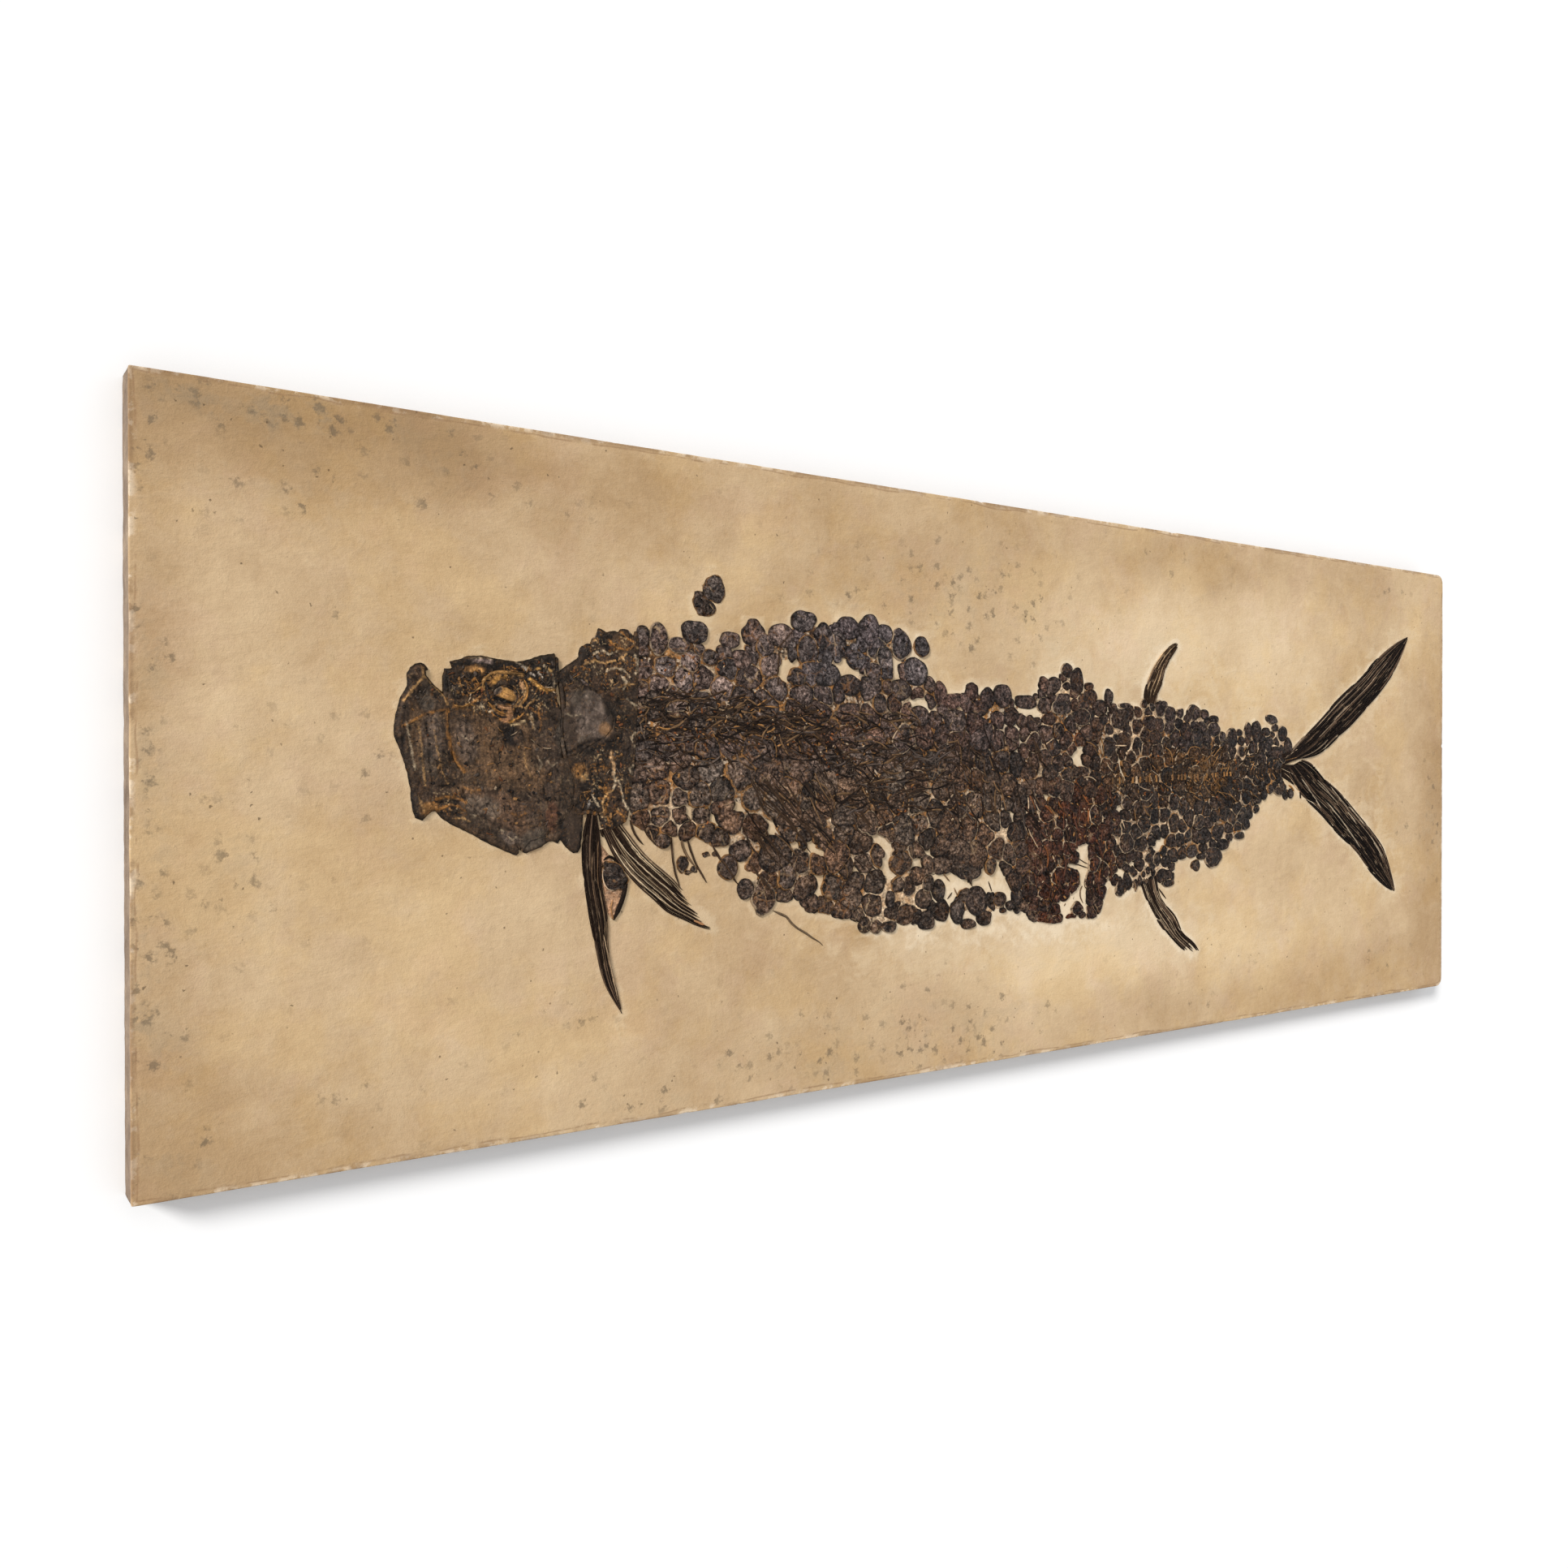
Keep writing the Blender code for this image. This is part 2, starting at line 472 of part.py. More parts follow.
def eye_ring(parent, mat):
    """The bony ring of the eye, a low torus-like band inside the orbit."""
    cx, cy = EYE_CENTRE
    outer_x, outer_y = EYE_RADII[0] - 1.0, EYE_RADII[1] - 1.0
    section = ((0.0, 0.0), (0.12, 0.7), (0.5, 1.0), (0.88, 0.7), (1.0, 0.0))
    height = SKULL_HEIGHT * 0.8
    steps = 28
    bm = bmesh.new()
    rows = []
    for i in range(steps):
        angle = 2 * math.pi * i / steps
        row = []
        for u, v in section:
            rx = outer_x - EYE_RING_WIDTH * u
            ry = outer_y - EYE_RING_WIDTH * u
            row.append(bm.verts.new((
                (cx + rx * math.cos(angle)) * MM,
                (cy + ry * math.sin(angle)) * MM,
                (FACE + v * height) * MM,
            )))
        rows.append(row)
    for i in range(steps):
        a, b = rows[i], rows[(i + 1) % steps]
        for j in range(len(section)):
            k = (j + 1) % len(section)
            bm.faces.new((a[j], a[k], b[k], b[j]))
    return add_object("eye_ring", as_mesh("eye_ring", bm), mat, parent)


def orbit_cutter(skull):
    cx, cy = EYE_CENTRE
    bm = bmesh.new()
    low, high = [], []
    for i in range(28):
        angle = 2 * math.pi * i / 28
        x, y = cx + EYE_RADII[0] * math.cos(angle), cy + EYE_RADII[1] * math.sin(angle)
        low.append(bm.verts.new((x * MM, y * MM, (FACE - 3) * MM)))
        high.append(bm.verts.new((x * MM, y * MM, (FACE + SKULL_HEIGHT + 3) * MM)))
    bm.faces.new(low)
    bm.faces.new(high)
    for i in range(28):
        k = (i + 1) % 28
        bm.faces.new((low[i], low[k], high[k], high[i]))
    cutter = add_object("orbit_cutter", as_mesh("orbit_cutter", bm), material("cutter", (0.5, 0.5, 0.5), 0.5), None)
    cutter.hide_render = True
    cutter.display_type = "WIRE"
    cut = skull.modifiers.new("orbit", "BOOLEAN")
    cut.operation = "DIFFERENCE"
    cut.solver = "EXACT"
    cut.object = cutter


# ----------------------------------------------------------------------- build
def build():
    clear_scene()
    chalk = material("chalk_matrix", (0.56, 0.42, 0.27), 0.85)
    bone = material("dark_bone", (0.085, 0.060, 0.042), 0.5)
    grey_bone = material("grey_bone", (0.135, 0.110, 0.095), 0.42)
    scale = material("dark_scale", (0.060, 0.044, 0.037), 0.42)
    ray = material("fin_ray", (0.050, 0.036, 0.026), 0.5)
    ochre = material("ochre_bone", (0.34, 0.19, 0.07), 0.6)

    root = bpy.data.objects.new("fossil_fish_slab", None)
    bpy.context.scene.collection.objects.link(root)

    rounded_panel(root, chalk)
    relief_plate("lower_jaw", LOWER_JAW, FACE, JAW_HEIGHT, 1.4, bone, root)
    skull = relief_plate("skull_roof", SKULL_ROOF, FACE, SKULL_HEIGHT, 1.4, bone, root)
    orbit_cutter(skull)
    eye_ring(root, ochre)
    relief_plate("cheek_bones", CHEEK_BONES, FACE, CHEEK_HEIGHT, 1.4, bone, root)
    relief_plate("operculum", OPERCULUM, FACE, OPERCULUM_HEIGHT, 2.6, grey_bone, root)
    relief_plate("gular_plates", GULAR_PLATES, FACE, GULAR_HEIGHT, 1.2, grey_bone, root)
    relief_plate("shoulder_girdle", SHOULDER_GIRDLE, FACE, GIRDLE_HEIGHT, 1.2, bone, root)
    coat = relief_plate("scale_coat", SCALE_COAT, FACE, COAT_HEIGHT, 0.8, scale, root)
    cut_gaps(coat, COAT_GAPS, FACE, COAT_HEIGHT)
    on_coat = FACE + COAT_HEIGHT + CLEARANCE
    rod("neural_spines", NEURAL_SPINES, on_coat, 26.0, SPINE_HEIGHT, 0.7, bone, root)
    beaded_strip("vertebral_column", VERTEBRAE, on_coat, 26.0, SPINE_HEIGHT, 26, ochre, root)
    ray_fin("dorsal_fin", DORSAL_EDGES, FACE, FIN_HEIGHT, 5, 12, ray, root)
    ray_fin("anal_fin", ANAL_EDGES, FACE, FIN_HEIGHT, 6, 14, ray, root)
    ray_fin("pectoral_fin_front", PECTORAL_FRONT_EDGES, FACE, FIN_HEIGHT, 4, 18, ray, root)
    ray_fin("pectoral_fin_rear", PECTORAL_REAR_EDGES, FACE, FIN_HEIGHT, 7, 14, ray, root)
    ray_fin("caudal_lobe_upper", CAUDAL_UPPER_EDGES, FACE, TAIL_HEIGHT, 8, 18, ray, root)
    ray_fin("caudal_lobe_lower", CAUDAL_LOWER_EDGES, FACE, TAIL_HEIGHT, 8, 18, ray, root)
    relief_plate("loose_scale_upper", LOOSE_SCALE_UPPER, FACE, LOOSE_SCALE_HEIGHT, 0.8, scale, root)
    relief_plate("loose_scale_lower", LOOSE_SCALE_LOWER, FACE, LOOSE_SCALE_HEIGHT, 0.8, scale, root)
    relief_plate("loose_scale_rear", LOOSE_SCALE_REAR, FACE, LOOSE_SCALE_HEIGHT, 0.8, scale, root)
    rod("loose_rib", LOOSE_RIB, FACE, RIB_WIDTH, 2.0, 0.7, ray, root)


build()
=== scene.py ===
"""Fossil fish slab: a complete fish in low relief on a long panel of pale chalk.

Lengths in the tables below are millimetres from the middle of the panel's face:
X towards the tail, Y towards the back of the fish, Z up from the floor.
"""

import math

import bpy
import numpy as np
from mathutils import Matrix, Vector
from mathutils.geometry import delaunay_2d_cdt


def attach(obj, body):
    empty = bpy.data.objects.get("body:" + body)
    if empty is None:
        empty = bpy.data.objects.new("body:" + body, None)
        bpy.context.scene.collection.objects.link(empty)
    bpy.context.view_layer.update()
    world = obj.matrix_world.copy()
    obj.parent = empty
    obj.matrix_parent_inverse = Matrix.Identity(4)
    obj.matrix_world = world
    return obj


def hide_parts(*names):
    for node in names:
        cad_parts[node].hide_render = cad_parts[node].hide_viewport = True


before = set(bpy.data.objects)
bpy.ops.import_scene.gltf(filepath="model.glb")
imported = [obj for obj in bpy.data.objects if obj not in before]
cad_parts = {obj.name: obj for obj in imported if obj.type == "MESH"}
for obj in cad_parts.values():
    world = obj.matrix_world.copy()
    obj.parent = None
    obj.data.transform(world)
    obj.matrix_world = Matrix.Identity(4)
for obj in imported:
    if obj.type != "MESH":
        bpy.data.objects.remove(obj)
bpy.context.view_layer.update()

MM = 0.001
LENGTH, HEIGHT, THICK = 2200.0, 762.0, 40.0
CORNER_FRONT, CORNER_REAR = 2.4, 16.0
TOP_LIMIT = 48.2  # nothing rises above this


# =============================================================== numpy noise
def hash01(ix, iy, seed):
    h = (ix.astype(np.int64) * 374761393 + iy.astype(np.int64) * 668265263 + seed * 974634777) & 0xFFFFFFFF
    h = ((h ^ (h >> 13)) * 1274126177) & 0xFFFFFFFF
    h = ((h ^ (h >> 16)) * 2246822519) & 0xFFFFFFFF
    return ((h ^ (h >> 15)) & 0xFFFFFF) / float(0xFFFFFF)


def noise2(x, y, seed=0):
    """Gradient noise, about -0.7 to 0.7."""
    x, y = np.asarray(x, float), np.asarray(y, float)
    x0, y0 = np.floor(x), np.floor(y)
    fx, fy = x - x0, y - y0
    u, v = fx**3 * (fx * (fx * 6 - 15) + 10), fy**3 * (fy * (fy * 6 - 15) + 10)
    total = 0.0
    for dx in (0, 1):
        for dy in (0, 1):
            angle = hash01(x0 + dx, y0 + dy, seed) * 2 * math.pi
            dot = np.cos(angle) * (fx - dx) + np.sin(angle) * (fy - dy)
            total = total + dot * (u if dx else 1 - u) * (v if dy else 1 - v)
    return total * 1.4


def fbm(x, y, seed=0, octaves=4, gain=0.5):
    total, size, norm = 0.0, 1.0, 0.0
    for k in range(octaves):
        total = total + size * noise2(x * 2**k + 17.3 * k, y * 2**k - 9.1 * k, seed + 31 * k)
        norm += size
        size *= gain
    return total / norm


def ridged(x, y, seed=0, octaves=4):
    total, size, norm = 0.0, 1.0, 0.0
    for k in range(octaves):
        total = total + size * (1 - 2 * np.abs(noise2(x * 2**k + 5.7 * k, y * 2**k + 3.3 * k, seed + 57 * k)))
        norm += size
        size *= 0.55
    return total / norm


def cells(x, y, seed=0):
    """Distance to the nearest and second nearest of one random point a cell, and that cell's random value."""
    x, y = np.asarray(x, float), np.asarray(y, float)
    x0, y0 = np.floor(x), np.floor(y)
    f1 = np.full(x.shape, 9.0)
    f2 = np.full(x.shape, 9.0)
    who = np.zeros(x.shape)
    for dx in (-1, 0, 1):
        for dy in (-1, 0, 1):
            cx, cy = x0 + dx, y0 + dy
            px = cx + hash01(cx, cy, seed)
            py = cy + hash01(cx, cy, seed + 7)
            d = np.hypot(px - x, py - y)
            nearer = d < f1
            f2 = np.where(nearer, f1, np.minimum(f2, d))
            who = np.where(nearer, hash01(cx, cy, seed + 13), who)
            f1 = np.minimum(f1, d)
    return f1, f2, who


def smooth(a, b, x):
    t = np.clip((np.asarray(x, float) - a) / (b - a), 0, 1)
    return t * t * (3 - 2 * t)


def rgb(r, g, b):
    """An sRGB colour of 0 to 255, as linear values."""
    c = np.array([r, g, b], float) / 255
    return np.where(c <= 0.04045, c / 12.92, ((c + 0.055) / 1.055) ** 2.4)


# ============================================================ plane geometry
def polygon_distance(px, py, polygons):
    """Distance from each point to the nearest polygon edge, negative inside any polygon."""
    px, py = np.asarray(px, float).ravel(), np.asarray(py, float).ravel()
    best = np.full(px.shape, 1e9)
    inside = np.zeros(px.shape, bool)
    for poly in polygons:
        p = np.asarray(poly, float)
        q = np.roll(p, -1, axis=0)
        within = np.zeros(px.shape, bool)
        for (ax, ay), (bx, by) in zip(p, q):
            dx, dy = bx - ax, by - ay
            ll = dx * dx + dy * dy
            if ll < 1e-12:
                continue
            t = np.clip(((px - ax) * dx + (py - ay) * dy) / ll, 0, 1)
            best = np.minimum(best, (px - ax - t * dx) ** 2 + (py - ay - t * dy) ** 2)
            if ay != by:
                crosses = ((ay > py) != (by > py)) & (px < (bx - ax) * (py - ay) / (by - ay) + ax)
                within ^= crosses
        inside |= within
    best = np.sqrt(best)
    return np.where(inside, -best, best)


def path_distance(px, py, points):
    px, py = np.asarray(px, float).ravel(), np.asarray(py, float).ravel()
    best = np.full(px.shape, 1e9)
    for (ax, ay), (bx, by) in zip(points[:-1], points[1:]):
        dx, dy = bx - ax, by - ay
        t = np.clip(((px - ax) * dx + (py - ay) * dy) / (dx * dx + dy * dy), 0, 1)
        best = np.minimum(best, (px - ax - t * dx) ** 2 + (py - ay - t * dy) ** 2)
    return np.sqrt(best)


def resample(points, step=None, count=None, closed=False, curve=True):
    """Points at equal steps along a smooth curve through `points`."""
    p = np.asarray(points, float)
    if closed:
        p = np.vstack([p, p[:1]])
    if curve:
        n = len(p)
        fine = []
        for i in range(n - 1):
            p0 = p[i - 1] if i > 0 else (p[-2] if closed else p[0])
            p3 = p[i + 2] if i + 2 < n else (p[1] if closed else p[-1])
            p1, p2 = p[i], p[i + 1]
            for t in np.linspace(0, 1, 9)[:-1]:
                fine.append(0.5 * (2 * p1 + (p2 - p0) * t + (2 * p0 - 5 * p1 + 4 * p2 - p3) * t * t + (3 * p1 - p0 - 3 * p2 + p3) * t**3))
        fine.append(p[-1])
        p = np.array(fine)
    seg = np.hypot(*(p[1:] - p[:-1]).T)
    s = np.concatenate([[0], np.cumsum(seg)])
    if count is None:
        count = max(3, int(round(s[-1] / step)) + 1)
    at = np.linspace(0, s[-1], count)
    out = np.stack([np.interp(at, s, p[:, 0]), np.interp(at, s, p[:, 1])], 1)
    return out[:-1] if closed else out


# =============================================================== mesh making
class Buffer:
    """Gathers many small closed shapes and their vertex attributes into one mesh."""

    def __init__(self):
        self.co, self.faces, self.size = [], [], 0
        self.values = {}

    def add(self, co, faces, **values):
        co = np.asarray(co, float)
        n = len(co)
        for face in faces:
            self.faces.append([int(i) + self.size for i in face])
        for name, v in values.items():
            v = np.asarray(v, float)
            if v.ndim == 0 or (v.ndim == 1 and len(v) == 3 and n != 3):
                v = np.broadcast_to(v, (n,) + v.shape)
            self.values.setdefault(name, []).append(v)
        self.co.append(co)
        self.size += n

    def build(self, name, mat, node_slot, smooth_angle=None, flat=False):
        co = np.vstack(self.co)
        co[:, 2] = np.minimum(co[:, 2], TOP_LIMIT)
        mesh = bpy.data.meshes.new(name)
        mesh.from_pydata((co * MM).tolist(), [], self.faces)
        mesh.polygons.foreach_set("use_smooth", [not flat] * len(mesh.polygons))
        for key, parts in self.values.items():
            v = np.concatenate(parts)
            if v.ndim == 1:
                attr = mesh.attributes.new(key, "FLOAT", "POINT")
                attr.data.foreach_set("value", v.astype(np.float32))
            else:
                attr = mesh.attributes.new(key, "FLOAT_COLOR", "POINT")
                full = np.ones((len(v), 4), np.float32)
                full[:, :3] = v
                attr.data.foreach_set("color", full.ravel())
        mesh.materials.append(mat)
        mesh.validate()
        mesh.update()
        if smooth_angle is not None:
            mesh.set_sharp_from_angle(angle=math.radians(smooth_angle))
        obj = bpy.data.objects.new(name, mesh)
        bpy.context.scene.collection.objects.link(obj)
        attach(obj, "root")
        return obj


def filled(outline, holes=(), spacing=3.0, seed=0, inset=0.45):
    """Triangulates an outline with jittered points inside it. Gives points and triangles."""
    loops = [np.asarray(outline, float)] + [np.asarray(h, float) for h in holes]
    verts, edges, rings = [], [], []
    for loop in loops:
        start = len(verts)
        verts += [tuple(p) for p in loop]
        n = len(loop)
        edges += [(start + i, start + (i + 1) % n) for i in range(n)]
        rings.append(list(range(start, start + n)))
    lo, hi = loops[0].min(0), loops[0].max(0)
    row = spacing * 0.866
    ys = np.arange(lo[1] + row / 2, hi[1], row)
    grid = []
    for k, y in enumerate(ys):
        xs = np.arange(lo[0] + (spacing / 2 if k % 2 else 0), hi[0], spacing)
        grid.append(np.stack([xs, np.full(len(xs), y)], 1))
    grid = np.vstack(grid)
    jit = np.stack([hash01(np.arange(len(grid)), np.full(len(grid), 3), seed), hash01(np.arange(len(grid)), np.full(len(grid), 5), seed + 1)], 1)
    grid += (jit - 0.5) * spacing * 0.45
    d = polygon_distance(grid[:, 0], grid[:, 1], [loops[0]])
    keep = d < -spacing * inset
    for hole in loops[1:]:
        keep &= polygon_distance(grid[:, 0], grid[:, 1], [hole]) > spacing * inset
    verts += [tuple(p) for p in grid[keep]]
    out_v, _, out_f, orig_v, _, _ = delaunay_2d_cdt([Vector(v) for v in verts], edges, [], 0, 1e-6)
    pts = np.array([(v.x, v.y) for v in out_v])
    tri = np.array([f[:3] for f in out_f], int)
    mid = pts[tri].mean(1)
    ok = polygon_distance(mid[:, 0], mid[:, 1], [loops[0]]) < 0
    for hole in loops[1:]:
        ok &= polygon_distance(mid[:, 0], mid[:, 1], [hole]) > 0
    tri = tri[ok]
    a, b, c = pts[tri[:, 0]], pts[tri[:, 1]], pts[tri[:, 2]]
    area = (b[:, 0] - a[:, 0]) * (c[:, 1] - a[:, 1]) - (b[:, 1] - a[:, 1]) * (c[:, 0] - a[:, 0])
    tri[area < 0] = tri[area < 0][:, ::-1]
    tri = tri[np.abs(area) > 1e-7]
    return pts, tri


def border_edges(tri):
    """Edges with one triangle, in that triangle's direction."""
    found = {}
    for a, b, c in tri:
        for e in ((a, b), (b, c), (c, a)):
            key = (min(e), max(e))
            found[key] = None if key in found else e
    return [e for e in found.values() if e is not None]


def slab_solid(buf, pts, tri, top, floor, **values):
    """A closed solid from a triangulated outline: a sculpted top, a flat bottom and walls."""
    n = len(pts)
    co = np.vstack([np.column_stack([pts, top]), np.column_stack([pts, np.full(n, float(floor))])])
    faces = [tuple(t) for t in tri] + [tuple(int(i) + n for i in t[::-1]) for t in tri]
    for a, b in border_edges(tri):
        faces.append((b, a, a + n, b + n))
    used = np.zeros(2 * n, bool)
    used[np.unique(np.concatenate([np.ravel(tri), np.ravel(tri) + n]))] = True
    remap = np.cumsum(used) - 1
    doubled = {k: np.concatenate([v, v])[used] if np.ndim(v) and len(v) == n else v for k, v in values.items()}
    buf.add(co[used], [[remap[i] for i in f] for f in faces], **doubled)


# ================================================================= materials
class Graph:
    """Short hand for building a node material."""

    def __init__(self, name):
        self.mat = bpy.data.materials.new(name)
        self.mat.use_nodes = True
        self.tree = self.mat.node_tree
        self.bsdf = self.tree.nodes["Principled BSDF"]
        self.out = self.tree.nodes["Material Output"]
        self.coord = self.node("ShaderNodeTexCoord").outputs["Object"]

    def node(self, kind, **settings):
        n = self.tree.nodes.new(kind)
        for k, v in settings.items():
            setattr(n, k, v)
        return n

    def link(self, source, target):
        if isinstance(source, (int, float)):
            target.default_value = source
        elif isinstance(source, (tuple, list, np.ndarray)):
            v = [float(x) for x in source]
            target.default_value = v + [1.0] if len(v) == 3 and len(target.default_value) == 4 else v
        else:
            self.tree.links.new(source, target)

    def attr(self, name, out="Fac"):
        return self.node("ShaderNodeAttribute", attribute_name=name).outputs[out]

    def math(self, op, a, b=None, c=None, clamp=False):
        n = self.node("ShaderNodeMath", operation=op, use_clamp=clamp)
        for i, v in enumerate((a, b, c)):
            if v is not None:
                self.link(v, n.inputs[i])
        return n.outputs[0]

    def mul(self, a, b):
        return self.math("MULTIPLY", a, b)

    def add(self, a, b):
        return self.math("ADD", a, b)

    def step(self, x, lo, hi, to_lo=0.0, to_hi=1.0):
        n = self.node("ShaderNodeMapRange", interpolation_type="SMOOTHSTEP")
        self.link(x, n.inputs["Value"])
        for key, v in (("From Min", lo), ("From Max", hi), ("To Min", to_lo), ("To Max", to_hi)):
            self.link(v, n.inputs[key])
        return n.outputs["Result"]

    def mix(self, fac, a, b, blend="MIX"):
        n = self.node("ShaderNodeMix", data_type="RGBA", blend_type=blend)
        self.link(fac, n.inputs["Factor"])
        self.link(a, n.inputs[6])
        self.link(b, n.inputs[7])
        return n.outputs[2]

    def add_vec(self, vector, other, size):
        """A vector pushed about by a colour."""
        n = self.node("ShaderNodeVectorMath", operation="MULTIPLY_ADD")
        self.link(other, n.inputs[0])
        n.inputs[1].default_value = (size, size, 0.0)
        self.link(vector, n.inputs[2])
        return n.outputs[0]

    def scaled(self, vector, x, y, z=1.0, loc=(0, 0, 0), turn=0.0):
        n = self.node("ShaderNodeMapping", vector_type="POINT")
        self.link(vector, n.inputs["Vector"])
        n.inputs["Scale"].default_value = (x, y, z)
        n.inputs["Location"].default_value = loc
        n.inputs["Rotation"].default_value = (0, 0, turn)
        return n.outputs["Vector"]

    def noise(self, scale, detail=4.0, rough=0.55, vector=None, distortion=0.0, out="Fac"):
        n = self.node("ShaderNodeTexNoise", noise_dimensions="3D")
        self.link(vector if vector is not None else self.coord, n.inputs["Vector"])
        n.inputs["Scale"].default_value = scale
        n.inputs["Detail"].default_value = detail
        n.inputs["Roughness"].default_value = rough
        n.inputs["Distortion"].default_value = distortion
        return n.outputs[out]

    def voronoi(self, scale, feature="F1", vector=None, out="Distance", randomness=1.0):
        n = self.node("ShaderNodeTexVoronoi", voronoi_dimensions="3D", feature=feature)
        self.link(vector if vector is not None else self.coord, n.inputs["Vector"])
        n.inputs["Scale"].default_value = scale
        n.inputs["Randomness"].default_value = randomness
        return n.outputs[out]

    def ramp(self, fac, stops):
        n = self.node("ShaderNodeValToRGB")
        self.link(fac, n.inputs["Fac"])
        ramp = n.color_ramp
        while len(ramp.elements) > 1:
            ramp.elements.remove(ramp.elements[-1])
        for k, (at, colour) in enumerate(stops):
            el = ramp.elements[0] if k == 0 else ramp.elements.new(at)
            el.position = at
            el.color = (*[float(c) for c in colour], 1.0)
        return n.outputs["Color"]

    def bump(self, height, strength, distance, normal=None):
        n = self.node("ShaderNodeBump")
        n.inputs["Strength"].default_value = strength
        n.inputs["Distance"].default_value = distance
        self.link(height, n.inputs["Height"])
        if normal is not None:
            self.link(normal, n.inputs["Normal"])
        return n.outputs["Normal"]

    def finish(self, colour, rough, normal, specular=0.4):
        self.link(colour, self.bsdf.inputs["Base Color"])
        self.link(rough, self.bsdf.inputs["Roughness"])
        self.link(normal, self.bsdf.inputs["Normal"])
        if isinstance(specular, float):
            self.bsdf.inputs["Specular IOR Level"].default_value = specular
        else:
            self.link(specular, self.bsdf.inputs["Specular IOR Level"])
        return self.mat


def chalk_material():
    """Pale chalk: clouded, washed paler round the fossil, with grey mineral blotches, pits and a fine dragged grain."""
    g = Graph("chalk_matrix")
    halo, tone, spots, rim = g.attr("halo"), g.attr("tone"), g.attr("spots"), g.attr("rim")
    cloud = g.noise(6.0, 7, 0.62, distortion=0.3)
    patch = g.noise(21, 7, 0.66, distortion=0.5)
    mottle = g.noise(72, 6, 0.66)
    grit = g.noise(230, 5, 0.68)
    grain = g.noise(700, 3, 0.6)
    strokes = g.noise(70, 5, 0.66, vector=g.scaled(g.coord, 0.5, 1.7, turn=-0.6))

    light = g.add(tone, g.mul(g.add(cloud, -0.5), 0.95))
    light = g.add(light, g.mul(g.add(patch, -0.5), 0.46))
    light = g.add(light, g.mul(g.add(mottle, -0.5), 0.26))
    light = g.add(light, g.mul(g.add(grit, -0.5), 0.30))
    light = g.add(light, g.mul(g.add(strokes, -0.5), 0.12))
    body = g.ramp(g.add(light, 0.5), [
        (0.0, rgb(161, 131, 95)), (0.25, rgb(176, 146, 109)), (0.5, rgb(191, 163, 127)),
        (0.75, rgb(205, 178, 141)), (1.0, rgb(216, 191, 156))])
    yellow = g.step(g.noise(9, 6, 0.62, vector=g.scaled(g.coord, 1, 1, loc=(4.4, 1.2, 0))), 0.46, 0.60)
    colour = g.mix(g.mul(yellow, 0.8), body, g.mix(1.0, body, (1.015, 0.985, 0.89), "MULTIPLY"))
    pink = g.step(g.noise(13, 6, 0.62, vector=g.scaled(g.coord, 1, 1, loc=(0.4, 7.2, 0))), 0.50, 0.62)
    colour = g.mix(g.mul(pink, 0.6), colour, g.mix(1.0, colour, (1.0, 0.985, 1.035), "MULTIPLY"))
    # the pale wash left round the fossil, in overlapping strokes with crisp edges
    wash = g.step(g.add(halo, g.add(g.mul(g.add(patch, -0.5), 1.3), g.mul(g.add(strokes, -0.5), 0.5))), 0.22, 0.50)
    colour = g.mix(g.mul(wash, 0.5), colour, rgb(212, 189, 155))
    bright = g.step(g.add(halo, g.add(g.mul(g.add(mottle, -0.5), 0.7), g.mul(g.add(patch, -0.5), 0.6))), 0.50, 0.85)
    colour = g.mix(g.mul(bright, 0.8), colour, rgb(226, 207, 178))
    # grey mineral blotches, in loose clusters, and a scatter of dots
    torn = g.add_vec(g.coord, g.noise(110, 5, 0.7, out="Color"), 0.011)
    blot = g.voronoi(68, vector=torn)
    pick_cell = g.node("ShaderNodeSeparateColor")
    g.link(g.voronoi(68, vector=torn, out="Color"), pick_cell.inputs[0])
    chosen = g.step(g.add(spots, g.mul(g.add(pick_cell.outputs[0], -0.5), 0.80)), 0.28, 0.66)
    bloom = g.mul(chosen, g.step(g.add(blot, g.mul(g.add(grit, -0.5), 1.5)), 0.46, 0.10))
    colour = g.mix(g.mul(bloom, 0.66), colour, rgb(104, 90, 72))
    haze = g.mul(spots, g.step(g.add(patch, g.mul(g.add(mottle, -0.5), 0.8)), 0.46, 0.62))
    colour = g.mix(g.mul(haze, 0.42), colour, rgb(138, 122, 100))
    dot = g.voronoi(88, vector=torn)
    dot_cell = g.node("ShaderNodeSeparateColor")
    g.link(g.voronoi(88, vector=torn, out="Color"), dot_cell.inputs[0])
    dotted = g.step(g.add(g.mul(spots, 0.75), g.add(dot_cell.outputs[1], g.mul(g.add(cloud, -0.5), 0.8))), 0.80, 0.94)
    dots = g.mul(dotted, g.step(dot, 0.13, 0.05))
    colour = g.mix(g.mul(dots, 0.75), colour, rgb(92, 74, 54))
    pits = g.voronoi(40, vector=g.coord)
    pit = g.mul(g.step(pits, 0.060, 0.025), g.step(g.noise(16, 3, 0.6), 0.44, 0.56))
    colour = g.mix(g.mul(pit, 0.7), colour, rgb(104, 80, 56))
    colour = g.mix(g.step(grain, 0.35, 0.75, 0.0, 0.22), colour, g.mix(1.0, colour, (0.80, 0.78, 0.74), "MULTIPLY"))
